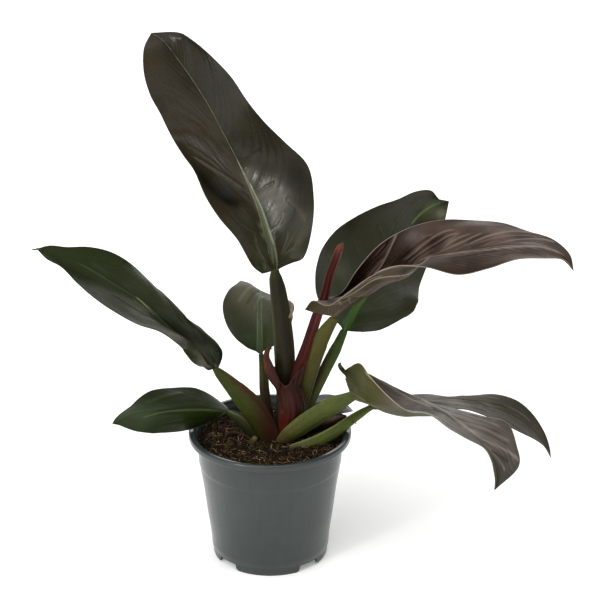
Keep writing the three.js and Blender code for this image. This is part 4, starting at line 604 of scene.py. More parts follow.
BLADE_ARCHING = [
  [[38.3,5.7,202.7], [42.5,2.2,203.8], [42,-1.8,194.6], [46.9,-6.1,193.8], [40.2,-6.3,195], [33,-7,197.1], [25.7,-7.3,199.9]],
  [[48,18.1,199.2], [49.8,11.3,194.6], [50.6,2.9,194.1], [50.6,-6.2,197.4], [43.4,-6.9,203.8], [37.7,-12.4,208.2], [31.5,-19.1,211.8]],
  [[54.4,0.7,211.9], [59.9,11.3,208.4], [62.7,4.9,199.7], [58.2,-5.1,204], [52.5,-12.2,211.9], [48.4,-22.8,214], [42.4,-34.9,214.8]],
  [[64.2,-5,231.1], [70.5,3.7,222.8], [76.8,3.8,211.4], [70.3,-7,214.2], [69,-20.1,216], [62.8,-31.4,222.5], [55.7,-43.8,228.5]],
  [[80.1,-3,249.3], [84.7,-2.4,236], [90.9,-0.8,224.2], [84,-11.5,225.6], [82.7,-25.1,226.7], [77.6,-37.7,233.1], [71.7,-47.5,242.9]],
  [[101.3,-2.2,261.5], [101.5,-7.2,249.2], [106,-8,237], [98.9,-18.6,237.4], [96.9,-32.7,236.5], [94.2,-45.6,241.9], [88.9,-55.5,253]],
  [[123.8,-3.7,267.4], [119.3,-12.4,260.1], [120.5,-16.5,248.9], [113.9,-26.2,247.9], [110.5,-37.6,251], [109.2,-50.5,254], [108.4,-64,256.3]],
  [[145.2,-9.1,269.2], [138.4,-18.2,267.7], [133.9,-26.2,261.5], [131,-34.2,254.8], [128.5,-44.7,257.1], [128.4,-56.5,257], [130.5,-67.6,252.2]],
  [[164.6,-17.4,270.6], [157.9,-24.9,268.7], [152.6,-32.7,265.4], [149.2,-40.5,260.6], [147.9,-49.9,260.8], [148.6,-59.6,259.4], [151.3,-69,257.6]],
  [[182.1,-27.3,267.8], [176.5,-33.1,267.7], [171.8,-39.3,266.8], [168.3,-45.9,265.5], [167.9,-53.1,263.8], [168.8,-60.6,262.7], [170.9,-68,264.1]],
  [[197.7,-38.8,266.7], [193.9,-42.2,265.3], [190.7,-46.1,265.3], [188.6,-50.3,266.3], [188,-54.8,264.7], [188.4,-59.6,263.6], [189.8,-64.4,263.2]],
  [[208.5,-48.9,260.1], [206,-50.1,259.4], [204.5,-51.8,259.6], [204.3,-53.5,260.8], [203.2,-55.2,259.7], [203,-57.2,259.1], [203.9,-59,259.8]],
  [[211.2,-56.5,250.6], [211.2,-56.5,250.6], [211.2,-56.5,250.6], [211.2,-56.5,250.6], [211.2,-56.5,250.6], [211.2,-56.5,250.6], [211.2,-56.5,250.6]]
]
BLADE_FRONT_RIGHT = [[[55.0, -1.0, 141.7], [56.6, -5.0, 138.4], [58.1, -9.6, 135.8], [58.4, -14.6, 133.4], [57.9, -12.7, 140.5], [56.0, -10.9, 146.1], [53.7, -10.2, 151.7]], [[63.9, -8.3, 150.7], [61.4, -11.7, 146.5], [61.9, -15.0, 140.8], [61.0, -18.2, 134.6], [60.7, -18.8, 142.6], [59.6, -19.5, 151.0], [58.3, -20.3, 160.4]], [[69.7, -19.8, 155.5], [66.2, -20.9, 150.5], [65.8, -23.1, 143.5], [64.0, -26.1, 136.9], [64.6, -28.7, 144.6], [64.5, -30.6, 154.7], [65.1, -32.3, 168.6]], [[81.2, -11.3, 145.4], [73.5, -15.1, 143.6], [69.0, -21.8, 141.3], [71.2, -29.4, 135.8], [72.8, -37.4, 141.7], [72.6, -41.7, 152.2], [72.6, -47.8, 164.8]], [[92.6, -2.9, 135.2], [83.9, -10.0, 130.9], [81.3, -19.5, 128.9], [82.8, -29.6, 129.6], [84.2, -42.3, 137.7], [83.5, -51.0, 147.6], [83.6, -59.9, 157.0]], [[104.7, 1.3, 126.8], [99.4, -10.1, 123.5], [96.6, -20.7, 123.8], [95.8, -30.5, 126.4], [97.1, -40.0, 133.3], [97.8, -52.0, 141.3], [98.0, -65.5, 147.2]], [[119.8, -3.3, 122.4], [115.8, -12.7, 125.0], [111.7, -22.6, 125.2], [109.0, -33.5, 127.9], [110.2, -43.7, 134.4], [111.7, -55.0, 140.6], [112.8, -66.2, 144.9]], [[137.4, -10.4, 120.8], [132.2, -17.6, 124.2], [126.9, -26.7, 126.9], [122.0, -37.4, 128.7], [122.6, -47.4, 132.5], [124.3, -57.5, 134.5], [127.3, -67.6, 134.3]], [[155.4, -18.8, 119.8], [148.6, -24.6, 121.8], [141.8, -32.2, 122.4], [135.4, -41.1, 121.4], [136.3, -49.4, 124.2], [138.2, -57.5, 125.5], [140.2, -65.4, 125.2]], [[172.2, -28.0, 119.2], [163.5, -32.7, 116.4], [155.8, -38.0, 114.7], [149.1, -43.9, 112.8], [150.4, -49.9, 115.0], [151.9, -55.8, 115.9], [153.3, -61.3, 115.5]], [[178.5, -38.0, 106.5], [172.1, -40.5, 103.5], [165.9, -43.2, 101.6], [160.2, -46.3, 100.4], [160.7, -50.0, 101.3], [160.8, -53.2, 101.7], [159.6, -55.3, 102.4]], [[179.7, -46.3, 92.6], [171.8, -47.4, 89.6], [167.1, -48.3, 88.1], [163.7, -49.5, 87.5], [163.2, -51.3, 87.8], [162.9, -52.5, 88.2], [162.9, -52.9, 89.2]], [[162.9, -52.7, 77.6], [162.9, -52.7, 77.6], [162.7, -52.8, 77.5], [162.6, -52.8, 77.4], [162.7, -52.8, 77.3], [162.7, -52.8, 77.4], [162.7, -52.8, 77.4]]]
BLADE_LOW_RIGHT = [
  [[67,17.2,106], [71.3,14.8,108], [75.6,12.2,110.1], [80.3,9.3,112.5], [75.3,8.5,113.8], [73.9,4.9,115.6], [77,-0.3,116.1]],
  [[76,27.5,104.7], [77.9,22.5,106.9], [80,17.6,109.2], [82.2,13,111.5], [80.8,12.5,116.4], [82.1,9.4,117.4], [84.2,7,112.6]],
  [[87.7,38,104.2], [87.6,30.8,106.3], [88,24.1,108.6], [89,18,111.5], [90.7,14.8,117.2], [93.1,8.7,118], [94.4,1,114.2]],
  [[102.6,46.4,104.7], [101.2,37.9,106.3], [100.5,29.9,108.7], [101,22.5,111.8], [103.8,15.7,115.3], [106.4,7.5,116.2], [108.3,-1.5,115.2]],
  [[119.2,50.8,103.8], [116.6,42.1,106], [115.1,33.7,108.6], [115,25.4,111.4], [117.8,17,113.2], [121.3,8.4,114.5], [124.9,0.4,115.8]],
  [[136.9,52.2,100.9], [133.5,44.4,104.9], [131.3,36.1,107.8], [130.7,27.6,110.1], [133.6,19.1,111.2], [137.8,10.9,112.5], [143.4,3.7,114.4]],
  [[153.8,53.2,101.5], [150.1,45.5,104.2], [147.4,37.6,106.1], [146.3,29.5,107.4], [149.2,21.5,107.9], [153.4,13.8,108.1], [159,6.6,107.9]],
  [[170.4,53,102.4], [166.4,45.7,102.6], [163.4,38.4,103], [161.8,31.2,103], [164.2,24,102.6], [167.9,17,101.5], [172.6,10.2,99.5]],
  [[186.1,50.9,98.3], [181.7,44.9,97.7], [178.5,38.9,97.3], [176.6,32.9,96.8], [178.4,26.7,95.6], [181.2,20.6,93.5], [184.8,14.8,90.7]],
  [[198.5,47.8,88.6], [194.6,43.6,88.6], [191.8,39.1,88.4], [190.1,34.5,88.1], [191.2,29.7,86.6], [193.2,25,84.5], [196,20.5,82]],
  [[206.8,44,76.7], [204.3,41.6,76.7], [202.4,38.9,76.7], [201.4,36.1,76.6], [201.8,33,75.5], [203,29.9,74.3], [204.8,26.9,72.9]],
  [[211,40.3,66], [209.7,39.3,65.8], [208.8,38.1,65.7], [208.3,36.9,65.6], [208.4,35.4,65.2], [209,34,64.8], [209.9,32.6,64.4]],
  [[212.6,37.1,56.9], [212.6,37.1,56.9], [212.6,37.1,56.9], [212.6,37.1,56.8], [212.6,37.1,56.8], [212.6,37.1,56.8], [212.6,37.1,56.8]]
]
BLADE_BACK_LOW = [
  [[26.6,11.9,116.9], [25.2,12,115.2], [24,12.2,113.5], [23,12.9,111.7], [23.5,11.3,110.7], [23.5,9.6,109.7], [23.3,7.8,108.8]],
  [[27.8,16.3,116.3], [25.9,15.4,115.1], [25,14.5,113.5], [25.1,13.3,112], [25.9,11.4,110.6], [26.8,9.6,109], [27.6,7.7,107.4]],
  [[28.7,21.1,115.1], [27.5,19,113.7], [27.7,16.6,112.7], [28.3,13.8,112.6], [29.4,12,110.5], [30.8,10.1,108.4], [32.4,8.1,106.2]],
  [[30.4,25.5,113], [31,22.1,112.2], [31.7,18.6,112.4], [32.5,15.3,113], [33.8,13.2,110.5], [35.4,11.2,108], [37.4,9.2,105.3]],
  [[34.1,28.7,112.6], [35,24.6,112.3], [35.8,20.8,112.5], [36.9,17.4,112.8], [38.3,15.1,110.2], [40.1,13,107.6], [42.2,11.1,104.8]],
  [[38.8,31.2,112.7], [39.4,27.1,112.3], [40.3,23.3,112.1], [41.4,19.9,111.6], [42.9,17.5,109.4], [44.8,15.5,107], [47,13.6,104.4]],
  [[43.4,33.1,111.8], [43.8,29.4,111.5], [44.5,25.8,111], [45.6,22.6,110.3], [47.1,20.3,108.3], [49.1,18.4,106.1], [51.3,16.7,103.8]],
  [[47.7,34.9,110.1], [48,31.5,109.7], [48.5,28.3,109.2], [49.5,25.4,108.4], [50.9,23.4,106.7], [52.8,21.6,104.9], [55,20.2,103]],
  [[51.3,36.4,107.1], [51.7,33.5,107.1], [52.1,30.8,106.7], [52.8,28.4,105.9], [54.3,26.7,104.7], [56,25.2,103.2], [58.1,24,101.7]],
  [[54.7,37.5,103.9], [55.1,35.3,104], [55.5,33.2,103.7], [56,31.4,103.2], [57.2,30.2,102.3], [58.6,29.1,101.3], [60.3,28.3,100.2]],
  [[58,38.3,100.7], [58.2,36.9,100.6], [58.5,35.6,100.4], [58.9,34.5,100.1], [59.6,33.7,99.6], [60.6,33.1,99], [61.7,32.6,98.5]],
  [[60.6,38.7,97.9], [60.7,38,97.8], [60.8,37.5,97.7], [60.9,37,97.5], [61.3,36.6,97.3], [61.7,36.4,97.1], [62.2,36.1,96.9]],
  [[62.4,38.9,95.5], [62.4,38.9,95.5], [62.4,38.9,95.5], [62.4,38.9,95.5], [62.4,38.9,95.5], [62.4,38.9,95.5], [62.4,38.9,95.5]]
]
leaf("blade_tall_leaf", BLADE_TALL, DARK_A, "blade_tall", {'top': '#26241a', 'top_left': '#2b2519', 'bottom': '#2c2818', 'seed': 3, 'gap': 9, 'ridge_highlight': '#4a4234', 'groove_shade': '#0c0a06', 'relief_shading': 0.8, 'quilt_shading': 0.12, 'a': (2.3, 0.7), 'b': (1.0, 0.5), 'su': (0.4, 1.5), 'quilt': 0.2, 'groove': 0.22, 'wave': 0.5, 'ripple': 0.05, 'rib': (4.4, 0.6), 'sink': 0.5, 'crest': 0.4, 'keel': 1.8, 'bulge': [(60.9, -25.0, 11.8, -3.2), (71.5, 2.8, 6.6, 0.45), (48.1, 10.4, 8.1, 0.8), (40.0, -27.6, 2.6, 0.5), (75.4, 17.5, 11.8, -0.5), (20.6, 25.9, 10.3, 0.5), (8.1, -32.5, 5.2, 0.5)], 'gloss': [(0, 45.7, 40.7, 16.2, 0.4), (0, 32.2, 40.1, 11.8, 0.4), (0, 59.5, 35.0, 10.3, 0.3), (0, 75.4, 1.8, 8.1, -0.1), (0, 48.1, 10.4, 11.1, -0.1), (0, 59.5, -25.0, 11.8, 0.3)]},
     # Painted light among these patches: the pale greys near the midrib ('#56554b', '#605f55', '#65645a', '#4c4a43')
     # are painted highlight on the glossy panels, and the near-black ones ('#040302', '#020201', '#030302', '#100d08')
     # are painted shadow in the hollow of the left half.
     patches=[(0, 174.6, -8.8, 36.8, '#2f291d', 0.6), (0, 123.8, -21.7, 22.1, '#2d2619', 0.5), (0, 64.9, 42.6, 16.2, '#302e23', 0.6), (0, 14.5, -15.2, 8.8, '#3c4029', 0.6), (0, 49.3, 11.5, 5.9, '#56554b', 0.6), (0, 20.6, 12.9, 8.1, '#25261a', 0.7), (0, 184.3, 3.1, 14.7, '#15120b', 0.8), (0, 26.8, -35.1, 8.8, '#36342a', 0.7), (0, 62.2, -23.9, 11.8, '#040302', 0.95), (0, 68.8, -34.9, 8.8, '#100d08', 0.8), (0, 49.3, 35.3, 13.3, '#14120a', 0.9), (0, 13.7, 25.6, 14.7, '#2e2f1f', 0.8), (0, 5.7, -20.9, 10.3, '#2a331c', 0.8), (0, 149.5, 8.8, 26.5, '#15130b', 0.7), (0, 71.5, 4.7, 6.6, '#605f55', 0.6), (0, 51.8, 9.5, 8.1, '#65645a', 0.7), (0, 42.3, 13.5, 8.1, '#65645a', 0.7), (0, 66.2, -31.3, 7.4, '#020201', 0.95), (0, 59.5, -22.1, 8.1, '#020201', 0.95), (0, 51.8, -21.5, 6.6, '#030302', 0.95), (0, 40.0, -19.7, 6.6, '#35342a', 0.7), (0, 33.3, 27.4, 7.4, '#15140c', 0.7), (0, 32.2, -17.5, 6.6, '#2f3022', 0.5), (0, 46.9, 11.5, 8.8, '#4c4a43', 0.7), (0, 25.7, -5.1, 2.9, '#6a6c54', 0.8), (0, 33.3, -4.4, 2.6, '#6a6c54', 0.7)],
     folds=[([(92.7, -32.3), (91.3, -30.2), (89.8, -28.0), (88.2, -25.9), (86.4, -23.9), (84.5, -21.8), (82.5, -19.9), (80.5, -17.9), (78.4, -16.0), (76.2, -14.2), (73.9, -12.5), (71.6, -10.8), (69.3, -9.1), (67.0, -7.6), (64.6, -6.1), (62.2, -4.7)], 1.5, 1.0), ([(58.2, 1.8), (58.3, 4.7), (58.2, 7.5), (58.0, 10.3), (57.7, 13.1), (57.2, 15.8), (56.6, 18.5)], 0.8, -0.5), ([(85.8, 0.8), (85.2, 4.2), (84.5, 7.6), (83.7, 10.9), (82.8, 14.3), (81.7, 17.6), (80.5, 20.9)], 0.8, -0.25), ([(27.7, 3.2), (28.3, 5.9), (29.2, 8.5), (30.3, 11.0), (31.6, 13.4), (33.1, 15.7), (34.8, 18.0), (36.6, 20.1)], 1.2, 0.4), ([(29.2, 6.9), (30.2, 8.7), (31.3, 10.6), (32.3, 12.5), (33.3, 14.4), (34.2, 16.3), (35.2, 18.3)], 0.9, -0.4), ([(44.5, 21.3), (42.0, 22.7), (39.4, 24.1), (36.9, 25.4), (34.3, 26.8), (31.7, 28.1), (29.2, 29.5), (26.7, 30.8), (24.2, 32.2), (21.6, 33.6)], 2.0, 0.5), ([(7.4, 7.8), (9.7, 8.9), (12.0, 10.3), (14.1, 11.7), (16.3, 13.2), (18.6, 14.4), (21.0, 15.4), (23.6, 15.9)], 0.8, 0.4), ([(6.8, 10.2), (7.7, 12.1), (8.5, 14.1), (9.3, 16.1), (10.1, 18.2), (10.8, 20.2), (11.4, 22.3)], 0.8, 0.4), ([(1.0, -12.9), (3.2, -15.9), (5.7, -18.4), (8.4, -20.3), (11.3, -21.4), (14.2, -21.6), (17.1, -20.8), (20.0, -18.8), (22.6, -15.4)], 0.9, 0.5), ([(1.3, -16.4), (2.8, -18.7), (4.5, -20.9), (6.1, -23.0), (7.9, -25.1), (9.7, -27.1), (11.6, -29.1)], 0.9, -0.4), ([(161.3, -24.4), (159.0, -21.6), (156.5, -19.1), (153.7, -16.9), (150.7, -14.9), (147.6, -13.3), (144.4, -11.9), (141.0, -10.6), (137.5, -9.5), (134.0, -8.6), (130.4, -7.8), (126.9, -7.0), (123.3, -6.3), (119.8, -5.7), (116.4, -5.0), (113.1, -4.3)], 0.9, 0.22), ([(153.2, -24.1), (150.2, -21.2), (147.0, -18.7), (143.7, -16.6), (140.2, -14.8), (136.6, -13.4), (132.9, -12.1), (129.1, -11.1), (125.2, -10.3), (121.3, -9.5), (117.4, -8.7), (113.5, -8.0), (109.6, -7.1), (105.8, -6.2), (102.0, -5.1), (98.3, -3.8)], 0.9, 0.25), ([(137.3, -23.8), (134.5, -21.5), (131.5, -19.4), (128.5, -17.5), (125.4, -15.7), (122.1, -14.0), (118.8, -12.5), (115.5, -11.1), (112.0, -9.8), (108.6, -8.7), (105.1, -7.6), (101.6, -6.7), (98.0, -5.8), (94.5, -5.0), (90.9, -4.2), (87.4, -3.6)], 0.9, 0.3), ([(123.7, -27.6), (121.5, -25.5), (119.1, -23.5), (116.6, -21.7), (114.0, -20.1), (111.3, -18.5), (108.6, -17.1), (105.7, -15.9), (102.9, -14.7), (99.9, -13.6), (97.0, -12.6), (94.0, -11.7), (91.0, -10.8), (88.1, -10.0), (85.1, -9.3), (82.2, -8.5)], 0.9, 0.3), ([(111.8, -31.2), (110.3, -28.9), (108.6, -26.6), (106.6, -24.6), (104.5, -22.7), (102.3, -20.9), (99.9, -19.2), (97.3, -17.7), (94.7, -16.3), (92.0, -15.0), (89.3, -13.8), (86.5, -12.7), (83.7, -11.7), (80.9, -10.7), (78.2, -9.9), (75.5, -9.2)], 0.9, 0.3), ([(101.1, -32.7), (100.1, -30.0), (98.8, -27.5), (97.2, -25.3), (95.4, -23.2), (93.5, -21.3), (91.3, -19.6), (89.1, -17.9), (86.7, -16.4), (84.2, -15.0), (81.6, -13.7), (79.1, -12.4), (76.5, -11.2), (73.9, -9.9), (71.4, -8.7), (68.9, -7.5)], 0.9, 0.3), ([(145.3, -23.3), (142.3, -20.8), (139.2, -18.6), (136.0, -16.7), (132.6, -15.0), (129.1, -13.6), (125.6, -12.4), (122.0, -11.3), (118.4, -10.3), (114.7, -9.4), (111.0, -8.5), (107.3, -7.6), (103.6, -6.7), (100.0, -5.7), (96.4, -4.6), (92.8, -3.4)], 0.9, -0.25), ([(129.6, -25.9), (127.5, -23.4), (125.1, -21.2), (122.5, -19.2), (119.8, -17.4), (116.8, -15.8), (113.8, -14.5), (110.6, -13.2), (107.4, -12.1), (104.1, -11.1), (100.8, -10.1), (97.5, -9.3), (94.3, -8.4), (91.1, -7.6), (88.1, -6.7), (85.1, -5.8)], 0.9, -0.3), ([(117.2, -29.3), (115.4, -26.8), (113.5, -24.6), (111.3, -22.5), (109.0, -20.7), (106.5, -19.1), (103.9, -17.6), (101.2, -16.3), (98.4, -15.1), (95.6, -14.0), (92.7, -13.0), (89.8, -12.1), (86.9, -11.3), (84.0, -10.5), (81.1, -9.7), (78.3, -8.9)], 0.9, -0.3), ([(106.0, -31.8), (104.4, -29.4), (102.6, -27.1), (100.6, -25.0), (98.6, -23.0), (96.5, -21.1), (94.3, -19.3), (91.9, -17.7), (89.6, -16.2), (87.1, -14.7), (84.6, -13.4), (82.0, -12.2), (79.4, -11.1), (76.8, -10.1), (74.1, -9.2), (71.4, -8.4)], 0.9, -0.3)],
     # The first three lines ('#6e6d63', '#65645a') are painted highlight streaks across the glossy panel of the right
     # half.
     lines=[(0, [(54.3, 2.7), (54.4, 5.8), (54.2, 8.9), (53.7, 11.9), (53.0, 14.8), (52.2, 17.7), (51.3, 20.6), (50.4, 23.5)], 0.8, '#6e6d63', 0.22), (0, [(49.5, 2.7), (48.9, 5.7), (48.5, 8.8), (48.0, 11.9), (47.3, 14.9), (46.4, 17.9), (45.1, 20.7), (43.4, 23.3)], 0.8, '#6e6d63', 0.22), (0, [(43.5, 4.5), (43.1, 6.7), (42.7, 8.8), (42.3, 11.0), (41.9, 13.1), (41.5, 15.2), (41.0, 17.3)], 0.8, '#65645a', 0.2), (0, [(26.9, 2.3), (28.0, 4.5), (28.9, 6.9), (29.6, 9.2), (30.5, 11.5), (31.7, 13.7), (33.3, 15.6), (35.7, 17.1)], 0.5, '#8c8b79', 0.45), (0, [(25.3, 8.9), (26.2, 10.3), (27.0, 11.7), (27.9, 13.2), (28.7, 14.6), (29.6, 16.0), (30.4, 17.5)], 0.4, '#75746a', 0.3), (0, [(36.9, -29.3), (34.0, -27.9), (31.8, -26.1), (30.1, -23.8), (28.8, -21.3), (27.7, -18.7), (26.8, -16.0), (25.9, -13.3)], 0.5, '#5c5b49', 0.3), (0, [(25.7, -16.1), (22.7, -17.6), (19.7, -19.2), (16.6, -20.5), (13.7, -21.3), (10.7, -21.2), (7.9, -19.8), (5.2, -16.9)], 0.5, '#77765f', 0.3), (0, [(8.1, 10.5), (9.7, 11.8), (11.3, 13.2), (12.8, 14.6), (14.2, 16.2), (15.6, 17.7), (16.8, 19.4)], 0.5, '#6e6d58', 0.3)], nu=280, nv=121)
leaf("blade_left_upper_leaf", BLADE_LEFT_UPPER, GREEN_B, "blade_left_upper", {'top': '#20270f', 'bottom': '#2a2d18', 'seed': 5, 'gap': 8, 'ridge_highlight': '#454a3a', 'groove_shade': '#0e1309', 'relief_shading': 0.8, 'a': (1.8, 1.8), 'b': (0.8, 0.8), 'quilt': 0.07, 'groove': 0.1, 'wave': 0.45, 'ripple': 0.06, 'rib': (2.2, 0.8), 'sink': 1.0, 'crest': 0.1, 'keel': 1.2},
     # The pale grey-brown patches on the left half ('#5e5b50', '#5a564a', '#4c4a3e', '#4a473d', '#413e32') are a
     # painted sheen.
     patches=[(0, 126.5, 5.6, 22.1, '#1e280f', 0.8), (0, 149.6, -2.6, 18.4, '#252c14', 0.6), (0, 77.1, 13.9, 18.4, '#262a18', 0.6), (0, 32.3, 4.4, 16.2, '#35372a', 0.85), (0, 12.9, 5.8, 10.3, '#353a28', 0.85), (0, 113.0, -13.1, 16.2, '#2b2a20', 0.7), (0, 60.2, 20.2, 13.3, '#35332a', 0.7), (1, 35.2, 23.7, 10.3, '#37352b', 0.7), (0, 13.5, 12.3, 6.6, '#33372a', 0.7), (0, 15.0, -11.8, 5.2, '#5e5b50', 0.8), (0, 25.6, -16.5, 4.4, '#4c4a3e', 0.6), (0, 86.1, -11.4, 11.8, '#35322a', 0.6), (0, 59.1, -27.9, 14.7, '#4a473d', 0.85), (0, 40.3, -28.1, 10.3, '#413e32', 0.7), (0, 14.3, -6.9, 10.3, '#5a564a', 0.9), (1, 32.3, 18.3, 22.1, '#20260f', 0.95), (1, 50.0, 17.7, 14.7, '#20260f', 0.95), (1, 20.0, 26.9, 10.3, '#20260f', 0.95)],
     folds=[([(29.5, 16.8), (26.7, 14.4), (23.5, 12.5), (20.0, 11.1), (16.3, 9.9), (12.6, 8.8), (8.9, 7.7), (5.4, 6.4)], 1.2, 0.5), ([(46.7, 11.9), (43.7, 11.4), (40.7, 10.8), (37.7, 10.2), (34.6, 9.6), (31.5, 9.0), (28.4, 8.4), (25.3, 7.8), (22.2, 7.3), (19.1, 6.7)], 1.0, 0.35), ([(81.5, 26.8), (80.1, 24.9), (78.6, 23.0), (77.0, 21.1), (75.4, 19.3), (73.6, 17.7), (71.8, 16.2), (69.9, 14.9), (67.9, 13.7), (65.8, 12.9), (63.6, 12.2), (61.3, 11.9)], 1.2, 0.4), ([(71.4, 25.4), (70.0, 23.3), (68.5, 21.4), (66.8, 19.8), (65.0, 18.3), (63.2, 17.0), (61.2, 15.8), (59.2, 14.7), (57.0, 13.7), (54.9, 12.8), (52.6, 11.9), (50.4, 11.0), (48.1, 10.0), (45.7, 9.1), (43.4, 8.0)], 1.0, -0.6), ([(67.2, 25.8), (65.3, 24.2), (63.3, 22.8), (61.2, 21.6), (59.0, 20.6), (56.7, 19.7), (54.3, 19.0), (51.9, 18.4), (49.4, 17.9), (46.9, 17.6), (44.4, 17.3), (41.9, 17.2), (39.5, 17.1), (37.0, 17.2), (34.7, 17.2), (32.4, 17.4)], 1.3, 0.6), ([(62.5, 22.2), (60.1, 21.9), (57.8, 21.5), (55.4, 21.0), (52.9, 20.3), (50.5, 19.7), (48.1, 19.1), (45.7, 18.5), (43.2, 17.9), (40.9, 17.5), (38.5, 17.2), (36.2, 17.1), (33.9, 17.2), (31.6, 17.5), (29.4, 18.2), (27.3, 19.1)], 1.0, -0.5), ([(101.7, 6.7), (98.8, 6.3), (95.9, 5.8), (93.0, 5.3), (90.2, 4.7), (87.3, 4.1), (84.4, 3.5), (81.4, 2.9), (78.5, 2.3), (75.6, 1.8), (72.6, 1.4), (69.6, 1.0), (66.6, 0.8), (63.6, 0.7)], 1.0, 0.4), ([(114.0, 8.8), (111.4, 8.6), (108.7, 8.3), (106.1, 7.9), (103.4, 7.5), (100.8, 7.1), (98.2, 6.6), (95.6, 6.1), (93.0, 5.5), (90.4, 5.0), (87.7, 4.4), (85.1, 3.9), (82.4, 3.3), (79.8, 2.8), (77.1, 2.2)], 1.2, -0.3), ([(107.3, -5.5), (104.4, -6.2), (101.5, -6.7), (98.6, -7.2), (95.7, -7.6), (92.8, -8.0), (89.8, -8.3), (86.9, -8.6), (84.0, -8.8), (81.0, -9.1), (78.1, -9.4), (75.2, -9.7), (72.2, -10.1), (69.3, -10.5), (66.4, -11.0), (63.5, -11.6)], 1.2, 0.35), ([(126.5, 10.3), (123.8, 10.0), (121.2, 9.7), (118.5, 9.4), (115.9, 9.1), (113.2, 8.8), (110.6, 8.6), (108.0, 8.4), (105.3, 8.2), (102.7, 8.0), (100.0, 7.8), (97.4, 7.7), (94.7, 7.7), (92.1, 7.6), (89.4, 7.6)], 1.4, 0.25)],
     lines=[(0, [(2.5, -1.4), (11.6, -1.7), (20.7, -1.7), (29.8, -1.6), (39.0, -1.2), (48.2, -0.7), (57.4, -0.1), (66.6, 0.7), (75.8, 1.4), (85.0, 2.2), (94.2, 2.9), (103.5, 3.6), (112.7, 4.3), (121.9, 4.7), (131.1, 5.1), (140.3, 5.2)], 0.35, '#4c5a35', 0.55), (0, [(5.3, -0.6), (12.9, -0.4), (20.5, -0.2), (28.1, 0.1), (35.7, 0.4), (43.3, 0.7), (50.8, 1.1), (58.4, 1.5), (66.0, 1.9), (73.5, 2.4), (81.1, 2.9), (88.6, 3.4), (96.1, 3.9), (103.6, 4.5), (111.1, 5.1), (118.6, 5.7)], 0.7, '#0e140a', 0.7), (0, [(68.1, -0.6), (71.1, -0.3), (74.0, 0.1), (76.8, 0.6), (79.7, 1.2), (82.5, 1.8), (85.4, 2.3), (88.3, 2.7)], 0.5, '#77805f', 0.8), (0, [(73.8, -2.4), (76.6, -2.0), (79.4, -1.6), (82.2, -1.1), (85.0, -0.6), (87.8, -0.1), (90.6, 0.4)], 0.4, '#6b7552', 0.7)], nu=250, nv=101)
leaf("blade_left_lower_leaf", BLADE_LEFT_LOWER, GREEN_C, "blade_left_lower", {'top': '#1a2608', 'bottom': '#2a3117', 'seed': 8, 'gap': 9, 'a': 1.3, 'b': 0.6, 'quilt': 0.05, 'groove': 0.1, 'wave': 0.45, 'ripple': 0.06, 'rib': (1.8, 0.8), 'sink': 0.5, 'crest': 0.1, 'keel': 1.2},
     patches=[(0, 73.8, -0.2, 14.7, '#38432c', 0.8), (0, 84.1, 6.7, 10.3, '#3c4630', 0.7), (0, 0.0, -0.2, 6.6, '#3c3c27', 0.7), (0, 44.4, 9.9, 14.7, '#23290f', 0.5), (0, 17.2, 15.0, 13.3, '#292b1e', 0.6), (0, 7.5, 9.6, 7.4, '#33372a', 0.7), (0, 80.5, -6.7, 11.8, '#252c12', 0.5), (0, 33.6, -14.8, 18.4, '#20270d', 0.5)],
     folds=[([(64.8, 8.2), (61.5, 9.0), (58.2, 9.9), (54.9, 10.8), (51.7, 11.7), (48.4, 12.5), (45.1, 13.3), (41.8, 14.0), (38.5, 14.7), (35.2, 15.3), (31.8, 15.8), (28.5, 16.2)], 1.6, 0.35), ([(52.7, -11.6), (49.3, -11.4), (46.0, -11.3), (42.6, -11.1), (39.3, -10.8), (36.0, -10.5), (32.8, -10.1), (29.5, -9.7), (26.3, -9.2), (23.0, -8.6), (19.8, -8.0), (16.7, -7.2)], 1.4, -0.3), ([(81.7, -1.1), (78.7, -0.8), (75.6, -0.5), (72.6, -0.1), (69.6, 0.3), (66.5, 0.8), (63.5, 1.2), (60.5, 1.6), (57.4, 2.0), (54.4, 2.2), (51.3, 2.4), (48.2, 2.4)], 1.0, 0.2)],
     lines=[(0, [(20.9, -23.8), (17.0, -23.0), (13.8, -22.0), (11.1, -20.8), (8.9, -19.3), (7.2, -17.5), (5.8, -15.4), (4.8, -13.0), (4.0, -10.2), (3.5, -7.1), (3.1, -3.5), (2.8, 0.5)], 0.8, '#8a9068', 0.8), (0, [(73.2, -3.1), (68.8, -2.1), (64.3, -1.2), (59.8, -0.6), (55.4, -0.1), (50.9, 0.2), (46.4, 0.4), (41.9, 0.5), (37.4, 0.5), (32.9, 0.4), (28.4, 0.3), (23.9, 0.2), (19.4, 0.1), (14.9, -0.0), (10.5, -0.1), (6.0, -0.1)], 0.4, '#5f6c4a', 0.6)], nu=200, nv=81)
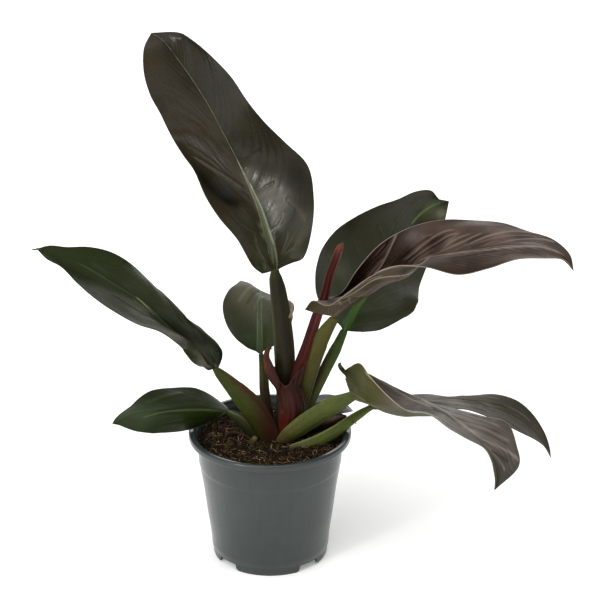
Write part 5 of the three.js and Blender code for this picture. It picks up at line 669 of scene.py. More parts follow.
leaf("blade_back_small_leaf", BLADE_BACK_SMALL, GREEN_D, "blade_back_small", {'top': '#2c2f18', 'bottom': '#2f301b', 'seed': 11, 'gap': 8, 'a': 1.5, 'b': 0.8, 'quilt': 0.1, 'groove': 0.16, 'wave': 0.6, 'ripple': 0.06, 'rib': (2.6, 0.9), 'sink': 0.5, 'crest': 0.3, 'keel': 1.2},
     # '#54503f' and '#4a483c' are a painted sheen across the upper part of the blade.
     patches=[(0, 45.9, -12.2, 14.7, '#54503f', 0.9), (0, 12.6, -19.6, 14.7, '#292d17', 0.5), (0, 6.2, -1.7, 8.8, '#26381a', 0.8), (0, 37.6, 6.0, 11.8, '#4a483c', 0.7)],
     folds=[([(36.0, -17.3), (39.4, -15.7), (42.7, -14.0), (45.9, -12.2), (49.2, -10.4), (52.4, -8.6), (55.7, -6.9), (59.1, -5.3)], 1.4, 0.5), ([(36.1, -10.7), (40.0, -8.7), (43.9, -6.7), (47.9, -4.7), (51.8, -2.8), (55.8, -1.0), (59.8, 0.9)], 1.2, -0.5), ([(31.5, -4.3), (35.3, -3.5), (38.8, -2.3), (42.1, -0.7), (45.1, 1.4), (47.9, 3.8), (50.5, 6.6)], 1.2, 0.4)],
     lines=[], nu=190, nv=91)
leaf("blade_back_right_leaf", BLADE_BACK_RIGHT, DARK_E, "blade_back_right", {'top': '#2b2c1c', 'relief_shading': 0.3, 'bottom': '#292b18', 'seed': 14, 'gap': 14, 'ridge_highlight': '#3a3e2c', 'groove_shade': '#0d0f07', 'quilt_shading': 0.15, 'a': 1.3, 'b': 0.8, 'quilt': 0.07, 'groove': 0.12, 'wave': 0.6, 'ripple': 0.06, 'rib': (3.4, 1.1), 'sink': 0.5, 'crest': 0.3, 'keel': 1.4, 'bulge': [(38.6, -23.8, 10.3, 0.6), (22.1, 32.1, 10.3, 0.7), (78.7, -22.5, 10.3, -0.5)], 'gloss': [(0, 48.8, 12.3, 22.1, 0.2), (0, 13.2, 38.2, 14.7, 0.2)]},
     patches=[(0, 163.2, -0.9, 8.8, '#585940', 0.9), (0, 170.6, 8.9, 5.2, '#6a6a56', 0.9), (0, 73.9, 24.8, 11.8, '#15160b', 0.85), (0, 75.1, -44.3, 8.8, '#191812', 0.8), (0, 9.8, -32.4, 10.3, '#1a160c', 0.8), (0, 35.3, 16.5, 11.8, '#28291a', 0.6), (0, 21.1, 2.7, 13.3, '#1e2c0b', 0.85), (0, 2.6, -0.5, 7.4, '#2c4c14', 0.9), (0, 32.2, -38.7, 11.8, '#34342b', 0.7), (0, 41.9, -26.1, 10.3, '#434436', 0.8), (0, 53.6, -41.6, 10.3, '#2c2c22', 0.7), (0, 10.4, 22.1, 11.8, '#2b2c1d', 0.6), (0, 88.2, -26.4, 14.7, '#2e2f20', 0.6), (0, 112.4, -33.4, 10.3, '#38352a', 0.7), (0, 76.3, -7.7, 13.3, '#1c1e12', 0.6)],
     folds=[([(99.2, -25.9), (99.8, -23.5), (100.3, -21.2), (100.8, -18.8), (101.1, -16.4), (101.4, -13.9), (101.6, -11.5)], 1.3, 0.5), ([(71.6, -33.5), (71.3, -31.2), (70.9, -28.9), (70.2, -26.6), (69.2, -24.5), (68.1, -22.3), (66.7, -20.3)], 1.2, 0.5), ([(62.2, -38.8), (60.4, -36.3), (58.6, -33.9), (56.7, -31.6), (54.8, -29.3), (52.9, -27.0), (51.0, -24.7), (49.0, -22.5), (47.1, -20.2), (45.1, -17.8), (43.2, -15.4)], 1.4, 0.4), ([(41.9, -41.1), (40.1, -38.5), (38.0, -36.2), (35.5, -34.2), (32.9, -32.4), (30.0, -30.9), (27.0, -29.6), (24.0, -28.6)], 1.2, 0.5), ([(36.5, 12.5), (40.6, 14.8), (44.8, 17.1), (48.9, 19.3), (53.0, 21.6), (57.1, 23.9), (61.2, 26.3), (65.2, 28.8), (69.2, 31.3)], 1.0, -0.4), ([(2.7, 22.8), (4.1, 24.9), (5.4, 27.1), (6.6, 29.4), (7.8, 31.6), (9.2, 33.8), (10.7, 35.8), (12.4, 37.6), (14.3, 39.2), (16.7, 40.4), (19.4, 41.2)], 1.2, 0.35), ([(118.7, -18.8), (121.4, -15.1), (124.0, -11.4), (126.7, -7.6), (129.3, -3.9), (132.0, -0.1), (134.6, 3.7)], 1.2, 0.3)],
     lines=[(0, [(139.6, 0.0), (143.4, 0.0), (147.3, 0.0), (151.1, 0.0), (155.0, 0.0), (158.9, 0.0), (162.8, 0.0), (166.7, 0.0), (170.6, 0.0), (174.5, 0.0)], 0.9, '#5c7a3c', 0.9), (0, [(41.9, 7.7), (46.7, 9.3), (51.5, 11.1), (56.2, 13.1), (60.8, 15.3), (65.4, 17.6), (69.9, 19.9), (74.4, 22.4), (78.9, 24.8), (83.4, 27.2)], 0.6, '#434833', 0.35), (0, [(26.0, 6.0), (29.4, 8.4), (32.9, 10.7), (36.5, 12.9), (40.1, 15.0), (43.7, 17.0), (47.4, 19.1), (51.0, 21.2), (54.5, 23.4), (58.0, 25.9), (61.4, 28.5), (64.6, 31.4)], 0.6, '#434833', 0.35), (0, [(10.6, 7.4), (12.9, 11.4), (15.1, 14.5), (17.1, 16.8), (19.1, 18.5), (21.0, 19.9), (23.0, 21.0), (25.1, 22.0), (27.3, 23.2), (29.6, 24.7), (32.2, 26.6), (35.0, 29.3), (38.1, 32.8)], 0.5, '#434833', 0.35), (0, [(6.5, 4.0), (5.6, 7.2), (5.4, 10.3), (5.6, 13.2), (6.3, 16.1), (7.3, 18.8), (8.5, 21.4), (9.9, 24.1), (11.4, 26.7), (12.8, 29.3), (14.1, 31.9)], 0.5, '#42482f', 0.4)], nu=240, nv=111)
leaf("blade_arching_leaf", BLADE_ARCHING, MAUVE_F, "blade_arching", {'top': '#2d1f17', 'bottom': '#332c18', 'seed': 17, 'relief_shading': 0.76, 'ridge_highlight': '#8c7c72', 'groove_shade': '#120b07', 'quilt_shading': 0.3, 'gap': 9, 'a': 1.7, 'b': 1.0, 'su': (0.7, 1.35), 'quilt': 0.22, 'groove': 0.25, 'wave': 0.4, 'ripple': 0.05, 'rib': (2.2, 0.7), 'sink': 0.5, 'crest': 0.3, 'keel': 1.0, 'gloss': [(0, 105.9, 30.2, 16.2, 0.45), (0, 126.0, 25.0, 16.2, 0.45), (0, 93.7, 38.6, 10.3, 0.45), (0, 103.2, -19.0, 11.8, 0.3), (0, 139.6, 22.8, 11.8, 0.3), (1, 33.6, 43.9, 14.7, 0.3)]},
     # The pale mauve patches ('#5c4c46', '#6c5d53', '#73645a', and '#7a7060' underneath) are painted sheen streaks on
     # the crease tops.
     patches=[(0, 44.6, -39.8, 11.8, '#2e1a12', 0.8), (0, 68.6, -27.3, 14.7, '#24170f', 0.8), (0, 79.2, -34.1, 13.3, '#38221a', 0.6), (0, 115.3, -16.8, 22.1, '#38281c', 0.6), (0, 163.3, -1.1, 14.7, '#3c2e28', 0.8), (0, 138.2, -11.4, 7.4, '#5c4c46', 0.8), (0, 108.6, -2.7, 8.8, '#4a3a33', 0.6), (1, 72.6, 43.8, 6.6, '#4a3f35', 0.7), (0, 123.3, 22.8, 19.2, '#1f1710', 0.9), (0, 99.1, 33.1, 10.3, '#1f1710', 0.8), (0, 151.9, 22.5, 14.7, '#3a2e24', 0.8), (0, 31.3, -18.5, 8.8, '#3a2a20', 0.8), (1, 1.8, 15.3, 10.3, '#352c12', 0.95), (1, 29.0, 42.4, 8.8, '#544935', 0.8), (1, 61.7, 36.4, 10.3, '#4a3d30', 0.8), (1, 36.0, 35.8, 7.4, '#3c2c18', 0.7), (1, 47.1, 31.8, 6.6, '#3a2c1c', 0.8), (1, 7.4, 20.1, 6.6, '#3a3114', 0.9), (0, 171.3, 1.9, 9.6, '#2a201b', 0.8), (0, 75.2, -20.3, 5.9, '#6c5d53', 0.65), (0, 100.5, -13.1, 6.6, '#73645a', 0.6), (0, 142.3, 12.3, 7.4, '#2c201a', 0.75), (0, 99.1, 30.5, 5.9, '#241a13', 0.6), (1, 40.8, 26.8, 5.2, '#1f160d', 0.75), (1, 73.9, 36.2, 5.2, '#20160e', 0.75), (1, 48.4, 33.8, 4.4, '#2a1f15', 0.6), (1, 24.4, 34.4, 2.9, '#7a7060', 0.6)],
     folds=[([(61.4, -40.9), (59.6, -38.9), (57.8, -36.9), (56.0, -35.0), (54.1, -33.2), (52.2, -31.4), (50.2, -29.8), (48.1, -28.3), (45.9, -27.0), (43.6, -25.8), (41.2, -24.9), (38.7, -24.2), (36.1, -23.7), (33.3, -23.5)], 0.9, 1.4), ([(56.2, -40.2), (54.3, -38.3), (52.3, -36.8), (50.2, -35.8), (48.0, -35.1), (45.7, -34.6), (43.4, -34.4), (41.0, -34.2), (38.6, -34.1), (36.1, -34.0), (33.7, -33.8), (31.4, -33.4), (29.0, -32.8), (26.8, -31.9)], 1.2, -0.7), ([(48.3, -29.8), (45.4, -29.0), (42.5, -28.1), (39.6, -27.3), (36.7, -26.4), (33.7, -25.5), (30.8, -24.6), (27.8, -23.6)], 0.6, 0.6), ([(45.8, -31.6), (42.9, -31.1), (39.9, -30.4), (37.1, -29.6), (34.2, -28.8), (31.3, -27.8), (28.5, -26.8), (25.5, -25.8)], 0.6, -0.6), ([(53.7, -38.7), (51.1, -37.9), (48.5, -37.1), (45.9, -36.4), (43.3, -35.7), (40.7, -35.0), (38.1, -34.4), (35.5, -33.8), (32.8, -33.1), (30.2, -32.5)], 0.6, 0.5), ([(59.0, -19.4), (62.1, -19.5), (65.2, -19.7), (68.2, -20.2), (71.2, -20.7), (74.2, -21.4), (77.1, -22.0), (80.0, -22.6), (82.9, -23.0), (85.8, -23.4), (88.7, -23.5), (91.6, -23.5), (94.4, -23.1), (97.3, -22.3), (100.2, -21.2), (103.1, -19.6)], 0.8, 0.6), ([(56.3, -21.5), (59.1, -21.6), (61.8, -21.8), (64.5, -22.2), (67.2, -22.6), (69.9, -23.0), (72.5, -23.5), (75.2, -23.9), (77.8, -24.4), (80.5, -24.8), (83.2, -25.1), (85.8, -25.4)], 1.1, -0.6), ([(60.4, -16.3), (63.8, -16.5), (67.1, -16.7), (70.4, -17.0), (73.7, -17.2), (77.0, -17.5), (80.3, -17.8), (83.6, -18.0), (86.8, -18.2), (90.1, -18.3), (93.4, -18.2), (96.6, -18.1), (99.9, -17.7), (103.2, -17.2), (106.6, -16.5), (109.9, -15.5)], 0.7, 0.6), ([(60.4, -17.2), (63.5, -17.5), (66.6, -17.8), (69.6, -18.2), (72.6, -18.7), (75.6, -19.1), (78.6, -19.5), (81.6, -19.8), (84.6, -20.1), (87.6, -20.3), (90.6, -20.3), (93.6, -20.3), (96.6, -20.0), (99.7, -19.5), (102.8, -18.9), (105.9, -18.0)], 0.7, -0.6), ([(68.6, -12.7), (71.9, -12.7), (75.3, -12.5), (78.6, -12.3), (82.0, -12.0), (85.4, -11.8), (88.7, -11.5), (92.1, -11.3), (95.5, -11.2), (98.8, -11.2), (102.2, -11.4), (105.5, -11.7), (108.7, -12.2), (111.9, -13.0), (115.1, -14.0), (118.2, -15.3)], 0.8, 0.7), ([(64.5, -15.4), (67.4, -15.8), (70.3, -16.2), (73.1, -16.5), (75.9, -16.7), (78.8, -16.9), (81.6, -17.1), (84.4, -17.2), (87.2, -17.2), (90.1, -17.1), (92.9, -17.0), (95.8, -16.8), (98.7, -16.5), (101.6, -16.1), (104.6, -15.6)], 0.8, -0.6), ([(85.8, -9.0), (88.8, -8.4), (91.9, -7.8), (94.9, -7.3), (98.0, -7.0), (101.1, -6.8), (104.1, -6.7), (107.2, -6.9), (110.1, -7.3), (113.0, -8.0), (115.8, -8.9), (118.5, -10.2), (121.2, -11.7), (123.6, -13.7), (126.0, -16.0)], 0.8, 0.7), ([(76.7, -13.7), (79.9, -13.4), (83.2, -12.9), (86.4, -12.2), (89.7, -11.5), (93.1, -10.9), (96.4, -10.3), (99.6, -9.9), (102.9, -9.8), (106.1, -9.9), (109.3, -10.5), (112.4, -11.5), (115.5, -13.1)], 0.8, -0.6), ([(116.6, -5.6), (118.4, -7.2), (120.2, -8.7), (122.0, -10.3), (123.9, -11.7), (125.9, -13.0), (127.9, -14.1), (130.1, -14.9)], 0.7, -1.0), ([(114.0, -4.5), (117.4, -5.2), (120.6, -6.2), (123.8, -7.5), (127.0, -9.0), (130.1, -10.7), (133.2, -12.4), (136.2, -14.1), (139.3, -15.7), (142.4, -17.1), (145.5, -18.3), (148.7, -19.2), (151.9, -19.8), (155.2, -19.8), (158.6, -19.3), (162.1, -18.3)], 0.9, 0.8), ([(136.9, -7.1), (139.3, -7.5), (141.7, -8.0), (144.1, -8.7), (146.4, -9.5), (148.8, -10.3), (151.1, -11.1), (153.4, -11.9), (155.7, -12.6), (158.1, -13.2), (160.4, -13.6)], 0.9, -0.8), ([(142.2, -2.4), (144.7, -3.0), (147.1, -3.9), (149.5, -4.9), (151.8, -6.1), (154.2, -7.3), (156.5, -8.5), (158.8, -9.6), (161.2, -10.6), (163.5, -11.5), (166.0, -12.1), (168.5, -12.4), (171.0, -12.4), (173.7, -12.0), (176.4, -11.2)], 0.9, 0.6), ([(119.3, -3.2), (122.2, -4.0), (125.1, -4.8), (128.0, -5.5), (130.8, -6.1), (133.7, -6.7), (136.6, -7.1), (139.6, -7.5)], 0.8, -0.5), ([(75.6, -1.3), (83.3, 1.0), (90.8, 2.8), (98.1, 4.1), (105.4, 4.9), (112.5, 5.4), (119.7, 5.5), (126.8, 5.3), (134.0, 4.9), (141.4, 4.4), (148.8, 3.8), (156.5, 3.1), (164.4, 2.5), (172.6, 2.0), (181.1, 1.6), (189.9, 1.5)], 0.9, 1.0), ([(100.3, 18.0), (103.4, 18.2), (106.4, 18.1), (109.3, 17.6), (112.0, 16.9), (114.8, 16.0), (117.4, 14.9), (120.1, 13.8), (122.7, 12.6), (125.4, 11.4), (128.0, 10.3), (130.7, 9.4), (133.5, 8.6), (136.4, 8.1), (139.3, 7.9), (142.4, 8.0)], 1.1, -0.6), ([(50.1, 42.9), (55.7, 44.4), (60.7, 45.1), (65.3, 45.1), (69.4, 44.4), (73.1, 43.1), (76.3, 41.2), (79.2, 38.7), (81.8, 35.8), (84.0, 32.4), (86.0, 28.7), (87.7, 24.6), (89.2, 20.2), (90.6, 15.7), (91.7, 10.9), (92.8, 6.0)], 0.9, 1.0), ([(57.0, 39.1), (60.8, 39.7), (64.1, 40.0), (66.8, 40.1), (69.2, 39.8), (71.2, 39.3), (73.0, 38.5), (74.6, 37.5), (76.2, 36.4), (77.7, 35.0), (79.3, 33.5), (81.0, 31.9), (83.0, 30.2)], 0.9, -0.7), ([(142.3, 13.3), (145.0, 11.7), (147.7, 10.5), (150.5, 9.6), (153.2, 9.1), (155.9, 8.8), (158.7, 8.8), (161.4, 8.9), (164.2, 9.3), (167.0, 9.8), (169.8, 10.3), (172.7, 11.0)], 1.2, -0.5)],
     # These pale lines on the underside are painted highlights along the rolled edge and the fold crests.
     lines=[(1, [(9.7, 1.2), (10.5, 9.2), (12.5, 16.2), (15.5, 22.2), (19.5, 27.2), (24.3, 31.3), (29.6, 34.4), (35.5, 36.5), (41.6, 37.7), (47.9, 38.0), (54.2, 37.2), (60.4, 35.6), (66.3, 33.0), (71.7, 29.4), (76.6, 24.9), (80.6, 19.5)], 0.7, '#a09080', 0.8), (1, [(24.2, 37.9), (26.9, 40.1), (29.5, 41.6), (32.1, 42.6), (34.6, 43.1), (37.1, 43.1), (39.6, 42.9), (42.1, 42.4), (44.6, 41.8), (47.1, 41.2), (49.7, 40.5), (52.3, 40.0), (54.9, 39.7), (57.7, 39.7)], 0.6, '#8a7a68', 0.7), (1, [(14.6, -2.0), (16.3, 3.2), (18.4, 7.8), (20.7, 11.8), (23.3, 15.3), (26.1, 18.2), (29.1, 20.6), (32.4, 22.6), (35.9, 24.2), (39.5, 25.4), (43.3, 26.3), (47.3, 26.9), (51.4, 27.2), (55.7, 27.4), (60.0, 27.3), (64.5, 27.2)], 0.5, '#84745f', 0.6), (1, [(5.0, 9.4), (7.4, 7.2), (9.9, 5.7), (12.4, 4.9), (15.0, 4.9), (17.6, 5.6), (20.3, 7.0)], 0.6, '#8a7a62', 0.5)], nu=320, nv=141)
leaf("blade_front_right_leaf", BLADE_FRONT_RIGHT, MAUVE_G, "blade_front_right", {'top': '#423c37', 'bottom': '#34370f', 'seed': 20, 'relief_shading': 0.8, 'ridge_highlight': '#8f877e', 'groove_shade': '#27221d', 'quilt_shading': 0.25, 'gap': 8, 'a': 1.9, 'b': 1.0, 'su': (0.7, 1.3), 'quilt': 0.22, 'groove': 0.25, 'wave': 0.5, 'ripple': 0.07, 'rib': (2.0, 0.7), 'sink': 0.5, 'crest': 0.3, 'keel': 1.0, 'bulge': [(133.4, 5.6, 7.4, -0.8), (113.6, -21.0, 7.4, -0.8)], 'gloss': [(0, 122.7, -8.4, 11.8, 0.1)]},
     # The pale mauve-grey patches on the upper face ('#8f8580', '#8c827c', '#7d736e', '#7a706a', '#655d57', '#7c736e',
     # '#8a8079', '#6a615b', '#6a6058') are a painted sheen.
     patches=[(0, 0.0, -16.6, 5.2, '#33351a', 1), (0, 0.0, -15.6, 5.2, '#3c4018', 1), (0, 0.0, -7.5, 4.4, '#3c4018', 1), (0, 1.7, -10.3, 4.4, '#3c4018', 1), (1, 23.1, 27.0, 11.8, '#4a4a20', 0.7), (1, 34.0, 41.2, 8.8, '#453b1e', 0.7), (1, 5.6, 18.9, 7.4, '#333a16', 0.7), (1, 0.0, 19.7, 3.7, '#15130c', 0.95), (1, 43.9, 41.4, 16.2, '#524431', 0.9), (0, 31.2, -31.3, 6.6, '#8f8580', 0.6), (0, 18.6, -23.8, 6.6, '#8c827c', 0.8), (0, 47.5, -30.7, 10.3, '#7d736e', 0.7), (0, 61.1, -28.0, 13.3, '#5c534c', 0.7), (0, 91.4, -6.5, 13.3, '#655d57', 0.8), (0, 103.5, -9.1, 8.8, '#7c736e', 0.8), (0, 114.8, -12.2, 7.4, '#6a615b', 0.7), (0, 94.7, 23.2, 5.9, '#3a322c', 0.6), (0, 103.5, 19.8, 10.3, '#4a413a', 0.6), (0, 110.1, -20.1, 10.3, '#3a342c', 0.8), (0, 137.0, -7.0, 14.7, '#3a342f', 0.8), (0, 139.4, 3.1, 7.4, '#2c2a1c', 0.8), (0, 26.5, -27.5, 5.9, '#7a706a', 0.6), (0, 95.8, -2.5, 8.8, '#8a8079', 0.6), (0, 116.0, -5.7, 7.4, '#6a6058', 0.7), (0, 143.8, -3.1, 7.4, '#1c1a0f', 0.85)],
     folds=[([(51.1, -37.4), (54.2, -33.9), (57.3, -30.4), (60.5, -26.9), (63.7, -23.4), (67.0, -20.0), (70.4, -16.8), (73.9, -13.8), (77.6, -11.1), (81.4, -8.7), (85.5, -6.7), (89.8, -5.1), (94.3, -4.1), (99.1, -3.6), (104.2, -3.7), (109.7, -4.5)], 2.2, 0.7), ([(90.0, -5.4), (93.8, -3.8), (97.4, -2.9), (100.9, -2.5), (104.2, -2.7), (107.4, -3.3), (110.4, -4.3), (113.4, -5.6), (116.3, -7.1), (119.2, -8.9), (122.0, -10.7), (124.9, -12.6), (127.7, -14.4), (130.7, -16.1), (133.6, -17.7), (136.7, -19.1)], 1.1, 1.0), ([(92.5, -6.6), (94.8, -7.2), (97.2, -7.8), (99.5, -8.5), (101.8, -9.2), (104.2, -9.9), (106.5, -10.6), (108.8, -11.3), (111.1, -12.1), (113.4, -12.9), (115.7, -13.7), (118.0, -14.5), (120.3, -15.4), (122.5, -16.2), (124.7, -17.1)], 0.9, -0.9), ([(88.3, -8.7), (90.6, -9.4), (92.8, -10.1), (95.0, -10.7), (97.2, -11.3), (99.5, -11.9), (101.7, -12.5), (103.9, -13.1), (106.2, -13.7), (108.4, -14.3), (110.6, -15.0), (112.9, -15.7), (115.1, -16.5), (117.3, -17.4), (119.6, -18.3), (121.8, -19.3)], 1.0, 0.6), ([(78.5, -9.9), (81.1, -9.6), (83.6, -9.5), (86.1, -9.7), (88.6, -10.1), (91.0, -10.6), (93.5, -11.2), (95.8, -11.9), (98.2, -12.7), (100.6, -13.6), (102.9, -14.5), (105.3, -15.4), (107.6, -16.3), (110.0, -17.2), (112.3, -17.9), (114.7, -18.6)], 0.8, -0.7), ([(71.8, -21.9), (74.3, -20.3), (76.8, -19.1), (79.3, -18.4), (81.8, -18.0), (84.3, -18.0), (86.9, -18.2), (89.4, -18.6), (92.0, -19.1), (94.5, -19.7), (97.1, -20.4), (99.7, -21.0), (102.3, -21.6), (104.9, -22.1), (107.5, -22.3), (110.1, -22.3)], 1.1, 0.6), ([(61.4, -34.3), (63.9, -29.4), (66.4, -25.8), (68.9, -23.3), (71.5, -21.6), (74.1, -20.8), (76.7, -20.6), (79.4, -20.9), (82.2, -21.7), (85.0, -22.6), (87.8, -23.7), (90.6, -24.7), (93.5, -25.6), (96.4, -26.2), (99.4, -26.3), (102.3, -25.9)], 0.8, -0.6), ([(119.5, -2.5), (121.9, -3.8), (124.3, -5.2), (126.6, -6.6), (128.9, -8.1), (131.2, -9.7), (133.4, -11.4)], 0.8, -0.8), ([(111.3, -1.9), (114.4, -1.8), (117.5, -2.0), (120.6, -2.3), (123.7, -2.9), (126.7, -3.6), (129.7, -4.5), (132.7, -5.5), (135.6, -6.5), (138.6, -7.5)], 0.9, 0.7), ([(112.4, 14.1), (117.0, 12.3), (121.4, 10.3), (125.5, 7.9), (129.4, 5.2), (133.0, 2.2), (136.4, -1.1)], 0.9, -0.5), ([(63.4, -23.3), (65.0, -19.6), (67.0, -16.5), (69.2, -13.8), (71.7, -11.5), (74.3, -9.5), (77.2, -7.9), (80.2, -6.6), (83.4, -5.5), (86.7, -4.5), (90.0, -3.7), (93.4, -3.0), (96.8, -2.4), (100.2, -1.7), (103.5, -1.0)], 0.8, -0.5), ([(16.3, -21.9), (19.2, -24.2), (22.3, -26.2), (25.7, -27.8), (29.3, -29.1), (32.9, -30.1), (36.7, -30.6), (40.4, -30.8), (44.1, -30.5), (47.7, -29.8), (51.1, -28.7), (54.4, -27.1), (57.3, -24.9), (60.0, -22.3), (62.3, -19.1), (64.1, -15.4)], 1.6, 0.6), ([(20.3, -26.3), (23.0, -27.8), (25.9, -29.1), (28.9, -30.2), (32.0, -31.1), (35.2, -31.7), (38.4, -32.1), (41.6, -32.2), (44.8, -31.9), (47.9, -31.3), (50.9, -30.4), (53.7, -29.0)], 1.0, -0.5), ([(26.6, -29.6), (29.1, -30.6), (31.8, -31.5), (34.5, -32.4), (37.3, -33.1), (40.1, -33.7), (42.9, -34.1), (45.7, -34.2), (48.5, -34.1), (51.3, -33.7), (53.9, -33.0), (56.5, -31.9)], 0.9, 0.4)],
     lines=[(1, [(16.1, 30.5), (20.7, 34.8), (24.9, 37.8), (28.7, 39.8), (32.2, 40.8), (35.3, 41.0), (38.3, 40.5), (41.1, 39.4), (43.7, 37.8), (46.3, 35.9), (48.8, 33.7), (51.4, 31.5), (54.1, 29.3), (56.9, 27.3), (59.9, 25.5), (63.1, 24.1)], 0.8, '#a39c74', 0.85), (1, [(-0.9, 3.3), (4.4, 3.4), (9.1, 3.5), (13.3, 3.7), (17.0, 3.9), (20.4, 4.1), (23.5, 4.2), (26.5, 4.3), (29.3, 4.3), (32.1, 4.2), (34.9, 4.0), (37.9, 3.6), (41.1, 2.9), (44.6, 2.1), (48.5, 1.0), (52.8, -0.5)], 0.7, '#6f7040', 0.6)], nu=300, nv=131)
leaf("blade_low_right_leaf", BLADE_LOW_RIGHT, DARK_H, "blade_low_right", {'top': '#2b261b', 'bottom': '#2a2c14', 'seed': 23, 'relief_shading': 0.8, 'ridge_highlight': '#7d7567', 'groove_shade': '#201d16', 'quilt_shading': 0.2, 'gap': 9, 'a': 2.2, 'b': 1.1, 'quilt': 0.16, 'groove': 0.2, 'wave': 0.4, 'ripple': 0.06, 'rib': (1.8, 0.7), 'sink': 0.6, 'crest': 0.2, 'keel': 1.0, 'gloss': [(0, 74.0, -6.0, 22.1, 0.15), (0, 106.3, -6.2, 22.1, 0.2)]},
     # '#5c5249', '#5c544a' and '#786f68' are a painted sheen on the upper face.
     patches=[(0, 63.3, 5.3, 8.8, '#5c5249', 0.85), (0, 86.9, -2.9, 7.4, '#5c544a', 0.8), (0, 63.3, 1.1, 5.9, '#786f68', 0.8), (0, 88.0, -16.4, 13.3, '#2c2a18', 0.8), (0, 111.7, -12.0, 14.7, '#282615', 0.8), (0, 89.1, 23.9, 10.3, '#3c3832', 0.7), (0, 130.3, 12.5, 7.4, '#201e12', 0.7), (0, 15.1, 14.9, 10.3, '#3a3f1c', 0.8), (0, 1.9, 9.6, 6.6, '#3a4219', 0.95)],
     folds=[([(29.0, -22.8), (32.9, -17.2), (36.8, -13.0), (40.5, -10.1), (44.3, -8.1), (48.1, -6.9), (51.9, -6.4), (55.9, -6.2), (59.9, -6.3), (64.2, -6.3), (68.7, -6.1), (73.4, -5.5), (78.5, -4.4), (83.9, -2.4), (89.7, 0.6), (95.9, 4.9)], 0.9, -0.8), ([(34.3, 2.9), (39.2, 6.4), (43.6, 8.8), (47.6, 10.3), (51.3, 11.1), (54.7, 11.3), (58.1, 11.2), (61.3, 10.8), (64.4, 10.3), (67.7, 9.9), (71.0, 9.7), (74.5, 9.9), (78.3, 10.7), (82.4, 12.2), (86.9, 14.6), (91.9, 18.0)], 1.0, 0.7), ([(60.4, -19.6), (64.8, -19.8), (68.4, -19.7), (71.4, -19.4), (74.1, -18.9), (76.5, -18.2), (78.8, -17.5), (81.2, -16.8), (83.8, -16.2), (86.9, -15.7), (90.5, -15.5), (94.8, -15.6)], 1.2, 0.4), ([(50.8, 2.2), (55.5, 1.9), (59.7, 1.6), (63.3, 1.2), (66.5, 0.9), (69.3, 0.6), (71.9, 0.4), (74.3, 0.3), (76.6, 0.3), (78.9, 0.5), (81.3, 0.9), (83.8, 1.5), (86.6, 2.3), (89.6, 3.4), (93.1, 4.8), (97.0, 6.6)], 0.8, -0.6), ([(97.7, -7.7), (101.1, -8.2), (104.4, -8.4), (107.6, -8.4), (110.8, -8.2), (114.0, -7.9), (117.2, -7.5), (120.4, -7.0), (123.7, -6.5), (127.0, -5.9)], 1.2, 0.4), ([(75.1, -6.4), (77.9, -6.4), (80.6, -6.4), (83.4, -6.5), (86.1, -6.6), (88.8, -6.7), (91.5, -6.8), (94.2, -6.9), (97.0, -7.1), (99.7, -7.2), (102.5, -7.3), (105.3, -7.5)], 0.9, -0.5), ([(87.3, 14.9), (92.4, 14.3), (96.2, 13.9), (99.0, 13.8), (101.1, 14.0), (102.8, 14.3), (104.3, 14.9), (106.0, 15.6), (108.2, 16.5), (111.1, 17.6), (115.0, 18.7)], 1.0, -0.4)],
     lines=[], nu=250, nv=91)
leaf("blade_back_low_leaf", BLADE_BACK_LOW, MAUVE_J, "blade_back_low", {'top': '#2c2428', 'bottom': '#2e2824', 'seed': 26, 'gap': 8, 'a': 1.4, 'b': 0.8, 'quilt': 0.1, 'groove': 0.2, 'wave': 0.4, 'ripple': 0.06, 'rib': (2.0, 0.8), 'sink': 0.4, 'crest': 0.2, 'keel': 1.0},
     patches=[],
     folds=[],
     lines=[], nu=120, nv=61)


# ------------------------------------------------------------------ stalks
STALK = stalk_material("stalk_skin", rough=0.42, spec=0.12, streak=0.5, speck_col=(0.02, 0.01, 0.006))
SHEATH = stalk_material("sheath_skin", rough=0.4, spec=0.1, streak=0.45, speck_col=(0.012, 0.004, 0.003))
DRY = stalk_material("husk_skin", rough=0.7, spec=0.18, streak=0.6)
WOOD = stalk_material("root_skin", rough=0.8, spec=0.12, streak=0.5)

stalk("stem_core", [[6, -1, 70, 4.5], [6, -1, 80, 6.8], [6, -1, 88, 7], [6, -1, 96.5, 3.5]], WOOD, "stem_crown", "#2a2016", deep=1.0, lens=0)
stalk("petiole_tall_skin", [[9, 6.5, 98, 5.2], [10.3, 7, 110, 5.5], [11.2, 7.2, 124, 6], [11.4, 7.4, 138.1, 6.8], [10.9, 8, 159.8, 7.2], [9, 9.5, 184.2, 6.5], [6.6, 11, 203.8, 5.7], [4.9, 12, 215.2, 4.6], [4.2, 12.3, 220.5, 3.2], [4.0, 12.5, 225.2, 2.4]], STALK, "petiole_tall", "#242013", deep=0.5,
      patches=[(1.0, 270, 0.06, 200, "#3a441c", 0.9), (0.6, 0, 0.6, 26, "#3d431f", 0.95), (0.6, 180, 0.6, 30, "#363b1c", 0.95), (0.5, 255, 0.4, 16, "#19150e", 0.7)],
      ridges=[(10, 7, 0.5, 0.05, 0.95), (170, 7, 0.5, 0.05, 0.9), (262, 10, 0.25, 0.1, 0.9)])
